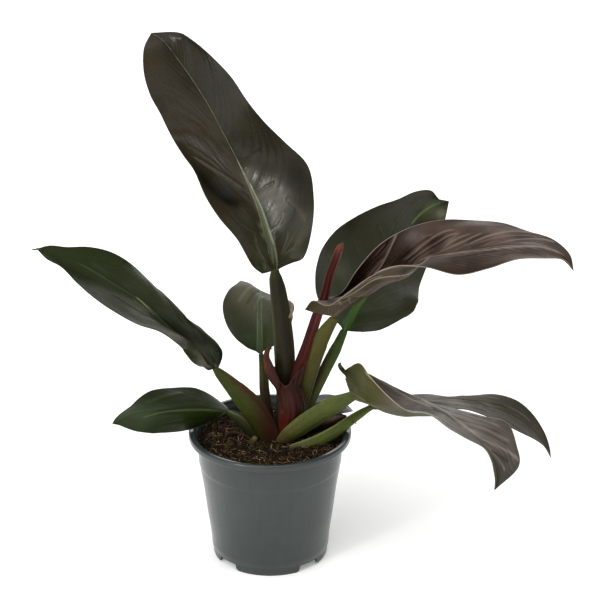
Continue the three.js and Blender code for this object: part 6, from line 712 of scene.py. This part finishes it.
stalk("spear_leaf_roll", [[14.5, 1.5, 119, 3.2], [17, 2, 131, 3.8], [19.6, 2.5, 141, 4.2], [22.2, 3, 150.7, 4.4], [27.7, 2, 167.3, 4.1], [34.5, 1, 190.8, 3.7], [39.7, 0, 207, 3.2], [43.7, 0, 224.2, 3], [47.2, 0, 234.3, 2.9], [50.2, 0, 243.6, 2.7], [52.6, 0, 247.6, 1]], SHEATH, "spear_leaf", "#3a130d", deep=0.9, per=12, lens=0.2,
      # The pink patches on the right face ('#a8625c', '#8c4a42') are the new leaf's own pink, lightened into a painted
      # highlight on its lit side.
      patches=[(0.85, 205, 0.3, 30, "#a8625c", 0.85), (0.6, 200, 0.2, 26, "#8c4a42", 0.8), (0.4, 195, 0.2, 30, "#5c2c24", 0.7), (0.98, 270, 0.05, 200, "#6e4030", 0.7), (0.3, 265, 0.3, 60, "#401208", 0.7), (0.62, 250, 0.14, 50, "#5e3029", 0.7), (0.5, 300, 0.6, 14, "#1b0a09", 0.7), (0.02, 270, 0.12, 200, "#2c120c", 0.8)],
      ridges=[(262, 6, 0.7, 0.3, 0.97), (300, 9, -0.5, 0.3, 0.97)])
stalk("petiole_arching_skin", [[15, 9.5, 97, 4.6], [19, 9.5, 106, 5.4], [24.4, 8.5, 127.0, 6.1], [29.5, 6, 150.9, 7.4], [34.5, 2, 165.6, 6.5], [41, -2.5, 180.9, 5.1], [46.7, -6, 191.6, 3.5]], STALK, "petiole_arching", "#45431c", deep=0.5,
      patches=[(0.1, 270, 0.25, 120, "#37301a", 0.7), (0.5, 320, 0.5, 30, "#33301a", 0.7), (0.9, 270, 0.3, 90, "#4d4b20", 0.8), (0.6, 235, 0.45, 25, "#4d4c20", 0.6), (0.45, 176, 0.45, 10, "#8d8a68", 0.9), (0.5, 200, 0.5, 8, "#26210f", 0.7)],
      ridges=[(176, 6, 0.9, 0.0, 0.75), (4, 7, 0.5, 0.1, 0.8)])
stalk("petiole_left_upper_skin", [[2.5, -6, 90.5, 7.2], [-6.4, -7, 110.1, 8.4], [-14, -8, 123.2, 8.5], [-21.5, -9, 133.1, 7.3], [-29.7, -10, 143.2, 5.5], [-35.4, -11, 150.1, 4], [-39.1, -12, 155, 2.3]], STALK, "petiole_left_upper", "#323a12", deep=0.5,
      # '#171a08' at 345 degrees is painted shade on the side that faces the lower left stalk.
      patches=[(0.25, 205, 0.4, 42, "#3a1c10", 0.95), (0.0, 270, 0.2, 140, "#2b1d12", 0.85), (0.72, 195, 0.16, 36, "#4c261a", 0.85), (0.5, 345, 0.4, 30, "#3d4716", 0.7), (0.15, 250, 0.2, 30, "#2c2012", 0.6), (0.3, 225, 0.3, 9, "#150d08", 0.8), (0.12, 212, 0.06, 10, "#7a5a4c", 0.7), (0.3, 345, 0.14, 34, "#171a08", 0.8), (0.2, 238, 0.24, 52, "#35190f", 0.8), (0.05, 250, 0.1, 120, "#2e130c", 0.8)],
      ridges=[(222, 7, 0.7, 0.05, 0.72), (182, 8, 0.7, 0.0, 0.72)])
stalk("petiole_front_right_skin", [[6.4, -9, 93.0, 2.6], [10.5, -10.5, 97.5, 4.6], [17.4, -12, 104.0, 6.2], [30.2, -13, 114.7, 7.1], [46.2, -15, 126.7, 6.7], [55.6, -16, 132.4, 5.0], [62.1, -16.2, 135.8, 3.6]], STALK, "petiole_front_right", "#474e24", deep=0.5,
      patches=[(0.05, 270, 0.16, 160, "#473a1e", 0.85), (0.0, 270, 0.05, 200, "#41351f", 0.7), (0.5, 350, 0.5, 26, "#525d23", 0.7), (0.6, 180, 0.5, 40, "#343b1a", 0.7), (0.75, 270, 0.3, 60, "#464f22", 0.7), (0.4, 230, 0.3, 20, "#33351a", 0.6), (0.25, 300, 0.2, 16, "#4a3a22", 0.5)],
      ridges=[(350, 7, 0.5, 0.0, 0.85), (186, 8, 0.5, 0.0, 0.85)])
stalk("petiole_low_right_skin", [[14.1, -15, 90.6, 3.0], [20.7, -14, 91.6, 4.2], [28.8, -13, 93.6, 4.8], [38.3, -10, 96.4, 5.0], [49.4, -6, 101.2, 4.8], [59.0, -1, 107.2, 3.7], [73.0, 5, 114.4, 2.5], [83.4, 9, 117.7, 1.6]], STALK, "petiole_low_right", "#4e5725", deep=0.6,
      # '#332c17' at the foot is painted shade where the stalk goes into the soil.
      patches=[(0.03, 270, 0.12, 150, "#332c17", 0.8), (0.5, 350, 0.6, 14, "#8a8f5c", 0.7), (0.6, 186, 0.5, 9, "#a3a77c", 0.8), (0.45, 200, 0.4, 30, "#333a17", 0.6), (0.8, 270, 0.25, 60, "#46521f", 0.7)],
      ridges=[(356, 7, 0.5, 0.0, 0.8), (180, 8, 0.4, 0.0, 0.8)])
stalk("petiole_low_right_spur", [[59.8, -1, 106.0, 1.1], [61.2, -2.5, 107.0, 0.8], [62.6, -3.6, 107.2, 0.5], [63.6, -4.2, 106.4, 0.3]], STALK, "petiole_low_right", "#4c4a26", deep=0.8, sides=16, per=6, lens=0)
stalk("petiole_back_right_skin", [[17, 8.5, 92, 2.2], [24.4, 10, 101, 2.6], [31.4, 12, 119.2, 3.2], [40.1, 16, 138.9, 3.9], [48.7, 20, 156.1, 3.8], [54.5, 22, 169.2, 2.9]], STALK, "petiole_back_right", "#454c26", deep=0.6,
      patches=[(0.98, 270, 0.22, 200, "#40582a", 0.9), (0.8, 270, 0.16, 200, "#465c2a", 0.8), (0.55, 330, 0.3, 40, "#36190f", 0.9), (0.05, 270, 0.25, 150, "#2b2c14", 0.7), (0.6, 180, 0.4, 30, "#3d5220", 0.6)],
      ridges=[(358, 8, 0.6, 0.1, 0.85), (182, 8, 0.4, 0.1, 0.85)])
stalk("petiole_back_small_skin", [[2.5, 6.5, 93, 3.6], [-1, 9.5, 106, 3.9], [-3.9, 14, 122.7, 3.5], [-4.8, 19, 134.2, 3.1], [-5.9, 22, 144.2, 2.2], [-6.6, 24, 149.8, 1.8]], STALK, "petiole_back_small", "#37351c", deep=0.6,
      patches=[(0.85, 270, 0.3, 200, "#353e1b", 0.85), (0.15, 250, 0.35, 160, "#2c1710", 0.9), (0.35, 180, 0.4, 12, "#7a6354", 0.85), (0.5, 270, 0.2, 40, "#33200f", 0.6)],
      ridges=[(180, 7, 0.5, 0.0, 0.8), (270, 9, 0.3, 0.1, 0.8)])
stalk("petiole_left_lower_skin", [[0, -1.5, 89, 4.8], [-6.2, -2, 93.8, 5.6], [-14.6, -3, 102.3, 5.3], [-22.6, -2, 110.1, 4.3], [-30.2, -1, 114.6, 2.3]], STALK, "petiole_left_lower", "#232813", deep=0.6,
      patches=[(0.08, 270, 0.25, 150, "#2b2012", 0.9), (0.62, 190, 0.14, 40, "#73401f", 0.75), (0.35, 190, 0.25, 40, "#38220f", 0.8), (0.95, 270, 0.2, 200, "#2f3a1c", 0.7), (0.95, 235, 0.25, 14, "#6b7450", 0.6)],
      ridges=[(205, 8, 0.6, 0.0, 0.8)])
stalk("petiole_back_low_skin", [[10.3, 8, 90.2, 2.4], [14.8, 10, 98.8, 2.2], [18.4, 11.6, 105, 1.9], [19.6, 12, 106.6, 1.3]], STALK, "petiole_back_low", "#2b251a", deep=0.9, sides=24, lens=0)
wrap("sheath_wrap", [[7.5, -2, 89.5, 4.2], [10.8, -1.5, 97, 6.6], [14.6, -0.5, 108, 9.2], [16.2, 0.6, 117, 10.2], [15.4, 1.6, 126, 9.4], [13.2, 2.4, 134, 8.8], [12.0, 3, 143, 10.6], [11.6, 3.5, 152, 13.6], [11.4, 4, 160, 15.5]],
     {0: 0.93, 30: 0.86, 60: 0.76, 100: 0.7, 140: 0.76, 165: 0.85, 185: 0.88, 205: 0.88, 222: 0.83, 240: 0.76, 256: 0.7, 268: 0.672, 280: 0.672, 292: 0.71, 306: 0.78, 322: 0.85, 342: 0.92},
     SHEATH, "sheath_red", "sheath_central", "#2e140d", deep=0.8,
     patches=[(0.2, 290, 0.15, 34, "#4c1409", 0.9), (0.3, 325, 0.2, 25, "#431a10", 0.8), (0.5, 275, 0.1, 26, "#3c2018", 0.8), (0.46, 215, 0.2, 30, "#2e130e", 0.85), (0.35, 318, 0.02, 6, "#7e4a44", 0.7), (0.85, 335, 0.12, 40, "#3c2015", 0.85), (0.66, 285, 0.08, 26, "#40221a", 0.7), (0.75, 215, 0.12, 34, "#2c0f0b", 0.85), (0.02, 270, 0.1, 200, "#1c130c", 0.9), (0.4, 90, 0.5, 80, "#22150f", 0.8)],
     rim="#3f241a")
stalk("husk_left_curl", [[5.8, -5.5, 136.2, 1.6], [4.0, -5.5, 141.9, 3.0], [0.7, -5.0, 148.9, 3.4], [-0.8, -4.2, 154.5, 2.9], [-2.1, -3.2, 158.9, 2.1], [-1.9, -2.2, 162.8, 1.6], [-0.8, -0.8, 165.1, 1.4], [0.5, 0.8, 165.6, 1.0], [1.1, 2.0, 163.7, 0.6]],
      SHEATH, "husk_left", "#38201a", deep=0.35, sides=40, per=10, lens=0.8,
      patches=[(0.6, 0, 0.16, 50, "#6b3416", 0.85), (0.9, 270, 0.15, 120, "#4a3020", 0.7), (0.2, 200, 0.3, 40, "#331a12", 0.8)], ridges=[(180, 12, 0.4, 0.1, 0.9), (4, 9, 0.4, 0.1, 0.9)])
stalk("husk_dry_curl", [[20.7, 0, 94.2, 2.2], [31.1, 0, 99.2, 3.4], [41.4, 0, 104.9, 3.8], [50.2, 0, 109.1, 3.0], [56, 0, 110.7, 1]], DRY, "husk_dry", "#21160f", deep=0.4, sides=48, lens=0.7,
      patches=[(0.75, 300, 0.16, 40, "#7c625a", 0.85), (0.62, 330, 0.12, 26, "#5a4238", 0.7), (0.4, 270, 0.2, 60, "#150e0a", 0.8)], ridges=[(20, 12, 0.6, 0.1, 0.95), (300, 10, 0.4, 0.2, 0.9), (250, 8, -0.5, 0.1, 0.9)])
stalk("petiole_stub_skin", [[-14.6, -8, 88, 3], [-13.1, -9, 93, 2.8], [-10.5, -10, 98, 2]], WOOD, "petiole_stub", "#37321a", deep=0.9, sides=24, lens=0, patches=[(1.0, 270, 0.2, 200, "#6a5a36", 0.8)])
stalk("aerial_root_thread", [[-34.5, -6, 90.5, 0.7], [-33, -5.5, 95.5, 0.7], [-30.8, -5, 98.8, 0.7], [-27.8, -4, 99.6, 0.7], [-23.1, -4, 98.7, 0.7], [-18.3, -4, 97.1, 0.7], [-13.2, -5, 93.7, 0.7], [-9.5, -6, 90.5, 0.7]], WOOD, "aerial_root", "#3c2b1b", deep=1.0, sides=12, lens=0)
TIP = stalk_material("tip_skin", rough=0.6, spec=0.15)
stalk("blade_left_upper_tip", [[-156.5, -46.9, 262.2, 0.9], [-159.0, -47.3, 263.1, 0.7], [-161.2, -47.8, 262.8, 0.5], [-163.0, -48.2, 263.1, 0.3]], TIP, "", "#2a3016", deep=1.0, sides=10, lens=0)
stalk("blade_front_right_tip", [[55.6, -13.4, 150.6, 1.0], [54.7, -14, 152.4, 1.5], [52.9, -15, 155.4, 1.7], [51.2, -16, 158.4, 1.5], [50.8, -16, 160.2, 1.2], [51.6, -15.4, 161.0, 0.6]], TIP, "", "#1c1a10", deep=0.8, sides=14, lens=0.3, patches=[(0.15, 270, 0.25, 200, "#3c4018", 0.9), (0.8, 220, 0.15, 60, "#55524a", 0.6)])
stalk("petiole_tall_curl", [[14.4, 8.5, 186, 0.7], [15.9, 7.2, 190, 1.0], [16.9, 6.6, 194, 1.2], [16.6, 7.0, 197.4, 1.0], [15.0, 8.0, 198.8, 0.5]], TIP, "", "#7a6248", deep=0.5, sides=16, lens=0.3)


# ------------------------------------------------------------------ pot
def pot_material():
    g = Graph("pot_plastic")
    x, y, z = g.sep(g.coords())[:3]
    cloud = g.noise(22, 4, 0.6)
    fine = g.noise(1500, 2, 0.5)
    streak = g.noise(1.0, 3, 0.6, g.comb(g.math("MULTIPLY", x, 240.0), g.math("MULTIPLY", y, 240.0), g.math("MULTIPLY", z, 14.0)))
    scuff = g.noise(1.0, 4, 0.7, g.comb(g.math("MULTIPLY", x, 60.0), g.math("MULTIPLY", y, 60.0), g.math("MULTIPLY", z, 900.0)))
    base, light, dark = lin("#2d3432"), lin("#353d3b"), lin("#252b29")
    col = g.mix(g.range(cloud, 0.3, 0.7, 0.0, 0.55), base, light)
    col = g.mix(g.range(streak, 0.45, 0.75, 0.0, 0.25), col, dark)
    low = g.range(z, 0.022, 0.0)
    col = g.mix(g.math("MULTIPLY", low, g.range(cloud, 0.2, 0.8, 0.0, 0.12)), col, lin("#4c5048"))
    col = g.mix(g.range(scuff, 0.66, 0.9, 0.0, 0.1), col, lin("#59615e"))
    r = g.math("ADD", g.range(cloud, 0.2, 0.8, 0.19, 0.25), g.range(scuff, 0.55, 0.9, 0.0, 0.05))
    h = g.math("ADD", g.math("MULTIPLY", fine, 0.35), streak)
    g.set(Base_Color=col, Roughness=r, Specular_IOR_Level=0.4, Normal=g.bump(h, 0.00005))
    return g.mat


def hard_edges(o, degrees):
    """Flat-looking creases where faces meet at more than this angle."""
    me = o.data
    limit = math.cos(math.radians(degrees))
    normal = {}
    faces_of = {}
    for f in me.polygons:
        normal[f.index] = f.normal.copy()
        for k in f.edge_keys:
            faces_of.setdefault(k, []).append(f.index)
    a = me.attributes.get("sharp_edge") or me.attributes.new("sharp_edge", "BOOLEAN", "EDGE")
    flags = [len(faces_of.get(e.key, ())) != 2 or normal[faces_of[e.key][0]].dot(normal[faces_of[e.key][1]]) < limit for e in me.edges]
    a.data.foreach_set("value", flags)


def lathe_solid(profile, segs):
    """Verts and faces of a closed solid of revolution; the profile runs from the axis back to the axis."""
    prof = np.array(profile, float)
    a = np.arange(segs) / segs * 2 * np.pi
    ring = prof[1:-1]
    v = np.stack([ring[:, :1] * np.cos(a), ring[:, :1] * np.sin(a), ring[:, 1:].repeat(segs, 1)], -1).reshape(-1, 3)
    v = np.concatenate([v, [[0, 0, prof[0][1]], [0, 0, prof[-1][1]]]])
    f = grid_faces(len(ring), segs, wrap=True)
    n = len(ring)
    for k in range(segs):
        f.append([n * segs, (k + 1) % segs, k])
        f.append([n * segs + 1, (n - 1) * segs + k, (n - 1) * segs + (k + 1) % segs])
    return v, f


def arc(cx, cz, r, a0, a1, n):
    return [(cx + r * math.cos(math.radians(a)), cz + r * math.sin(math.radians(a))) for a in np.linspace(a0, a1, n)]


pot_profile = [(0, 6.0), (40.2, 6.0), (40.7, 5.5), (41.0, 0.5), (41.35, 0.05), (42.1, 0.0), (42.5, 0.45), (42.6, 1.5), (42.85, 2.1), (42.75, 2.7), (43.2, 6.4), (43.35, 7.1), (43.7, 7.6),
               (44.0, 12), (44.6, 19), (45.6, 26), (46.9, 35), (48.2, 46), (49.6, 57), (51.0, 66), (51.7, 70), (52.05, 73.4), (52.25, 74.4), (52.6, 75.4), (52.85, 76.4), (53.15, 82.5), (53.9, 90), (54.3, 94)]
pot_profile += arc(54.9, 94.9, 0.6, 180, 100, 4) + [(57.4, 95.5)] + arc(58.9, 96.0, 1.1, 250, 360, 6)
pot_profile += [(60.0, 98.0)] + arc(58.5, 98.5, 1.5, 0, 90, 7) + [(57.6, 100.0)] + arc(57.0, 99.1, 0.9, 90, 180, 5)
pot_profile += [(55.6, 97.6), (54.2, 96.2), (53.4, 94.5), (52.8, 90), (51.9, 82), (51.4, 76), (50.5, 70), (48.4, 57), (45.7, 35), (43.0, 9.5), (41.5, 7.4), (0, 7.2)]
v, f = lathe_solid(pot_profile, 200)
pot = make("pot_body", (v + POT) * MM, f, pot_material(), ("pot",))
cut_v, cut_f = [], []
for i in range(4):  # gaps between the feet: a rounded arch, wider at the bottom
    t = math.radians(-90 - 2.6 + 45 + 90 * i)
    w, h = 8.6, 5.5
    shape = [(-w - 3.2, -1.0), (-w - 3.2, 0.0), (-w - 1.6, 0.35), (-w - 0.5, 1.3), (-w, 2.6)] + [(x - w + 1.2, z + h - 1.2) for x, z in arc(0, 0, 1.2, 180, 90, 4)]
    shape = shape + [(-x, z) for x, z in shape[::-1]]
    m = len(shape)
    first = len(cut_v)
    for r in (37.0, 47.0):
        for x, z in shape:
            cut_v.append((r * math.cos(t) - x * math.sin(t), r * math.sin(t) + x * math.cos(t), z))
    cut_f += [[first + k, first + (k + 1) % m, first + m + (k + 1) % m, first + m + k] for k in range(m)]
    cut_f += [[first + k for k in range(m)][::-1], [first + m + k for k in range(m)]]
for i in range(8):  # drain holes
    t = (i + 0.5) / 8 * 2 * math.pi
    first = len(cut_v)
    for z in (3.0, 10.0):
        for k in range(28):
            b = k / 28 * 2 * math.pi
            cut_v.append((33 * math.cos(t) + 3.5 * math.cos(b), 33 * math.sin(t) + 3.5 * math.sin(b), z))
    cut_f += [[first + k, first + (k + 1) % 28, first + 28 + (k + 1) % 28, first + 28 + k] for k in range(28)]
    cut_f += [[first + k for k in range(28)][::-1], [first + 28 + k for k in range(28)]]
cut_mesh = bpy.data.meshes.new("pot_cuts")
cut_mesh.from_pydata([[(a + b) * MM for a, b in zip(c, POT)] for c in cut_v], [], cut_f)
import bmesh

bm = bmesh.new()
bm.from_mesh(cut_mesh)
bmesh.ops.recalc_face_normals(bm, faces=bm.faces)
bm.to_mesh(cut_mesh)
bm.free()
cutter = bpy.data.objects.new("pot_cuts", cut_mesh)
bpy.context.scene.collection.objects.link(cutter)
mod = pot.modifiers.new("cuts", "BOOLEAN")
mod.operation, mod.solver, mod.object = "DIFFERENCE", "EXACT", cutter
new = bpy.data.meshes.new_from_object(pot.evaluated_get(bpy.context.evaluated_depsgraph_get()))
pot.modifiers.clear()
old, pot.data = pot.data, new
bpy.data.meshes.remove(old)
bpy.data.objects.remove(cutter)
bpy.data.meshes.remove(cut_mesh)
pot.data.polygons.foreach_set("use_smooth", np.ones(len(pot.data.polygons), bool))
hard_edges(pot, 38)


# ------------------------------------------------------------------ soil
def soil_material():
    g = Graph("soil_mix")
    tint = g.attr("tint", "Color")
    n1, n2 = g.noise(300, 5, 0.7), g.noise(1400, 4, 0.7)
    col = g.mix(g.range(n1, 0.35, 0.7, 0.0, 0.8), tint, g.mix(1.0, tint, (0.25, 0.22, 0.2), "MULTIPLY"))
    col = g.mix(g.range(n2, 0.55, 0.75, 0.0, 0.6), col, g.mix(1.0, tint, (2.2, 2.0, 1.7), "MULTIPLY"))
    h = g.math("ADD", n1, g.math("MULTIPLY", n2, 0.6))
    g.set(Base_Color=col, Roughness=0.93, Specular_IOR_Level=0.12, Normal=g.bump(h, 0.0008))
    return g.mat


SOIL = soil_material()


def soil_height(x, y):
    r = np.hypot(x, y)
    h = 92.2 + 1.6 * plane_noise(x / 17, y / 17, 21) + 1.3 * plane_noise(x / 6, y / 6, 22) + 0.8 * plane_noise(x / 2.4, y / 2.4, 23) + 0.35 * plane_noise(x / 0.9, y / 0.9, 24)
    return h - 1.4 * step(r, 44, 54) + 1.2 * step(26 - r, 0, 20)


rings, around = 84, 260
rr = np.sqrt(np.linspace(0.0004, 1, rings)) * 53.1
aa = np.arange(around) / around * 2 * np.pi
x, y = rr[:, None] * np.cos(aa), rr[:, None] * np.sin(aa)
z = soil_height(x, y)
top = np.stack([x, y, z], -1)
skirt = top[-1].copy()
skirt[:, 2] = 86
low = skirt.copy()
low[:, :2] *= 0.78
low[:, 2] = 8
grid = np.concatenate([top, skirt[None], low[None]])
v = np.concatenate([grid.reshape(-1, 3), [[0, 0, float(soil_height(np.array(0.0), np.array(0.0)))], [0, 0, 8]]])
f = grid_faces(len(grid), around, wrap=True, flip=False)
N = len(grid) * around
for k in range(around):
    f.append([N, k, (k + 1) % around])
    f.append([N + 1, (len(grid) - 1) * around + (k + 1) % around, (len(grid) - 1) * around + k])
base = np.ones((len(v), 3)) * lin("#18100a")
k = (0.5 + 0.5 * plane_noise(v[:, 0] / 5, v[:, 1] / 5, 31))[:, None]
base = base * (1 - 0.6 * k) + np.array(lin("#24180f")) * 0.6 * k
soil = make("soil_bed", (v + POT) * MM, f, SOIL, ("soil",), {"tint": ("FLOAT_COLOR", base)})

rnd = np.random.default_rng(41)


def scatter(count, near_front=0.0):
    """Points on the soil, x and y in mm."""
    r = 52.0 * np.sqrt(rnd.uniform(0.01, 1, count))
    a = rnd.uniform(0, 2 * np.pi, count)
    return r * np.cos(a), r * np.sin(a)


def crumbs(name, count, size, colours, lift, squash=0.7):
    """Small irregular lumps."""
    g = (1 + 5**0.5) / 2
    ico = unit(np.array([(-1, g, 0), (1, g, 0), (-1, -g, 0), (1, -g, 0), (0, -1, g), (0, 1, g), (0, -1, -g), (0, 1, -g), (g, 0, -1), (g, 0, 1), (-g, 0, -1), (-g, 0, 1)], float))
    tri = [(0, 11, 5), (0, 5, 1), (0, 1, 7), (0, 7, 10), (0, 10, 11), (1, 5, 9), (5, 11, 4), (11, 10, 2), (10, 7, 6), (7, 1, 8), (3, 9, 4), (3, 4, 2), (3, 2, 6), (3, 6, 8), (3, 8, 9), (4, 9, 5), (2, 4, 11), (6, 2, 10), (8, 6, 7), (9, 8, 1)]
    x, y = scatter(count)
    V, F, C = [], [], []
    for i in range(count):
        s = rnd.uniform(*size) * 0.5
        q = rnd.normal(size=(3, 3))
        q, _ = np.linalg.qr(q)
        b = ico * rnd.uniform(0.65, 1.2, (12, 1)) * np.array([1, rnd.uniform(0.5, 1), squash]) * s
        z = float(soil_height(x[i], y[i])) + lift * s
        V.append(b @ q + [x[i], y[i], z])
        F += [[12 * i + k for k in t] for t in tri]
        c = lin(colours[rnd.integers(len(colours))])
        C.append(np.tile(np.array(c) * rnd.uniform(0.7, 1.25), (12, 1)))
    return make(name, (np.concatenate(V) + POT) * MM, F, SOIL, (), {"tint": ("FLOAT_COLOR", np.clip(np.concatenate(C), 0, 1))}, smooth=False)


def fibres(name, count, length, width, colours):
    """Thin bent threads lying on the soil."""
    x, y = scatter(count)
    V, F, C = [], [], []
    n = 7
    for i in range(count):
        l, w = rnd.uniform(*length), rnd.uniform(*width) / 2
        a, curl = rnd.uniform(0, 2 * np.pi), rnd.normal() * 1.3
        t = np.linspace(-0.5, 0.5, n)
        ang = a + curl * t
        px = x[i] + np.cumsum(np.cos(ang)) * l / n
        py = y[i] + np.cumsum(np.sin(ang)) * l / n
        r = np.hypot(px, py)
        k = np.minimum(1, 52.3 / np.maximum(r, 1e-6))
        px, py = px * k, py * k
        pz = soil_height(px, py) + w + rnd.uniform(0, 0.5) + rnd.uniform(0, 1.5) * (0.25 - t * t) * 2
        p = np.stack([px, py, pz], 1)
        d = unit(np.gradient(p, axis=0))
        s = unit(np.cross(d, [0, 0, 1]))
        u = np.cross(s, d)
        taper = w * np.array([0.35, 0.8, 1, 1, 1, 0.8, 0.3])[:, None]
        ring = [p + (s * math.cos(b) + u * math.sin(b)) * taper for b in (0.3, 2.4, 4.5)]
        first = len(V) * 3 * n
        V.append(np.stack(ring, 1).reshape(-1, 3))
        F += grid_faces(n, 3, first, wrap=True, flip=True) + [[first, first + 1, first + 2], [first + 3 * n - 1, first + 3 * n - 2, first + 3 * n - 3]]
        c = np.array(lin(colours[rnd.integers(len(colours))])) * rnd.uniform(0.6, 1.2)
        C.append(np.tile(c, (3 * n, 1)))
    return make(name, (np.concatenate(V) + POT) * MM, F, SOIL, (), {"tint": ("FLOAT_COLOR", np.clip(np.concatenate(C), 0, 1))})


crumbs("soil_crumbs", 3200, (0.9, 3.2), ["#17100b", "#22170f", "#2f2116", "#130d09", "#3d2b1b"], 0.2)
crumbs("soil_white_grains", 80, (0.6, 1.6), ["#c9c2b2", "#b2a996", "#dcd7cb"], 0.5)
fibres("soil_fibres", 2300, (3.5, 11), (0.22, 0.5), ["#5a462d", "#7a623f", "#3c2b19", "#a89067", "#2c1f13", "#33241a"])


# ------------------------------------------------------------------ floor, light
floor_mesh = bpy.data.meshes.new("floor")
floor_mesh.from_pydata([(-9, -9, 0), (9, -9, 0), (9, 9, 0), (-9, 9, 0)], [], [(0, 1, 2, 3)])
g = Graph("floor_paper")
g.set(Base_Color=(0.93, 0.93, 0.925), Roughness=0.9, Specular_IOR_Level=0.05, Emission_Color=(1.0, 1.0, 1.0, 1), Emission_Strength=0.2)
floor_mesh.materials.append(g.mat)
floor = bpy.data.objects.new("floor", floor_mesh)
bpy.context.scene.collection.objects.link(floor)

world = bpy.data.worlds.new("studio")
world.use_nodes = True
world.node_tree.nodes["Background"].inputs[0].default_value = (1.0, 0.995, 0.985, 1)
world.node_tree.nodes["Background"].inputs[1].default_value = 0.55
bpy.context.scene.world = world


def softbox(name, azimuth, elevation, distance, width, height, watts, target=(0.0, 0.0, 0.2), colour=(1, 1, 1)):
    """azimuth 0 is the camera's side, positive to its right."""
    a, e = math.radians(azimuth), math.radians(elevation)
    d = np.array([math.sin(a) * math.cos(e), -math.cos(a) * math.cos(e), math.sin(e)])
    light = bpy.data.lights.new(name, "AREA")
    light.shape, light.size, light.size_y = "RECTANGLE", width, height
    light.energy, light.color = watts, colour
    o = bpy.data.objects.new(name, light)
    bpy.context.scene.collection.objects.link(o)
    p = np.array(target) + d * distance
    o.location = p
    z = d / np.linalg.norm(d)
    x = np.cross([0, 0, 1], z)
    x = x / np.linalg.norm(x)
    y = np.cross(z, x)
    from mathutils import Matrix

    o.rotation_euler = Matrix(((x[0], y[0], z[0]), (x[1], y[1], z[1]), (x[2], y[2], z[2]))).to_euler()


softbox("key", -41, 23, 1.5, 0.24, 0.24, 6.5)
softbox("fill", -35, 38, 1.9, 1.8, 1.4, 11)
softbox("overhead", 10, 78, 1.9, 2.4, 2.4, 26)
softbox("back", 160, 26, 1.9, 2.2, 0.9, 15)
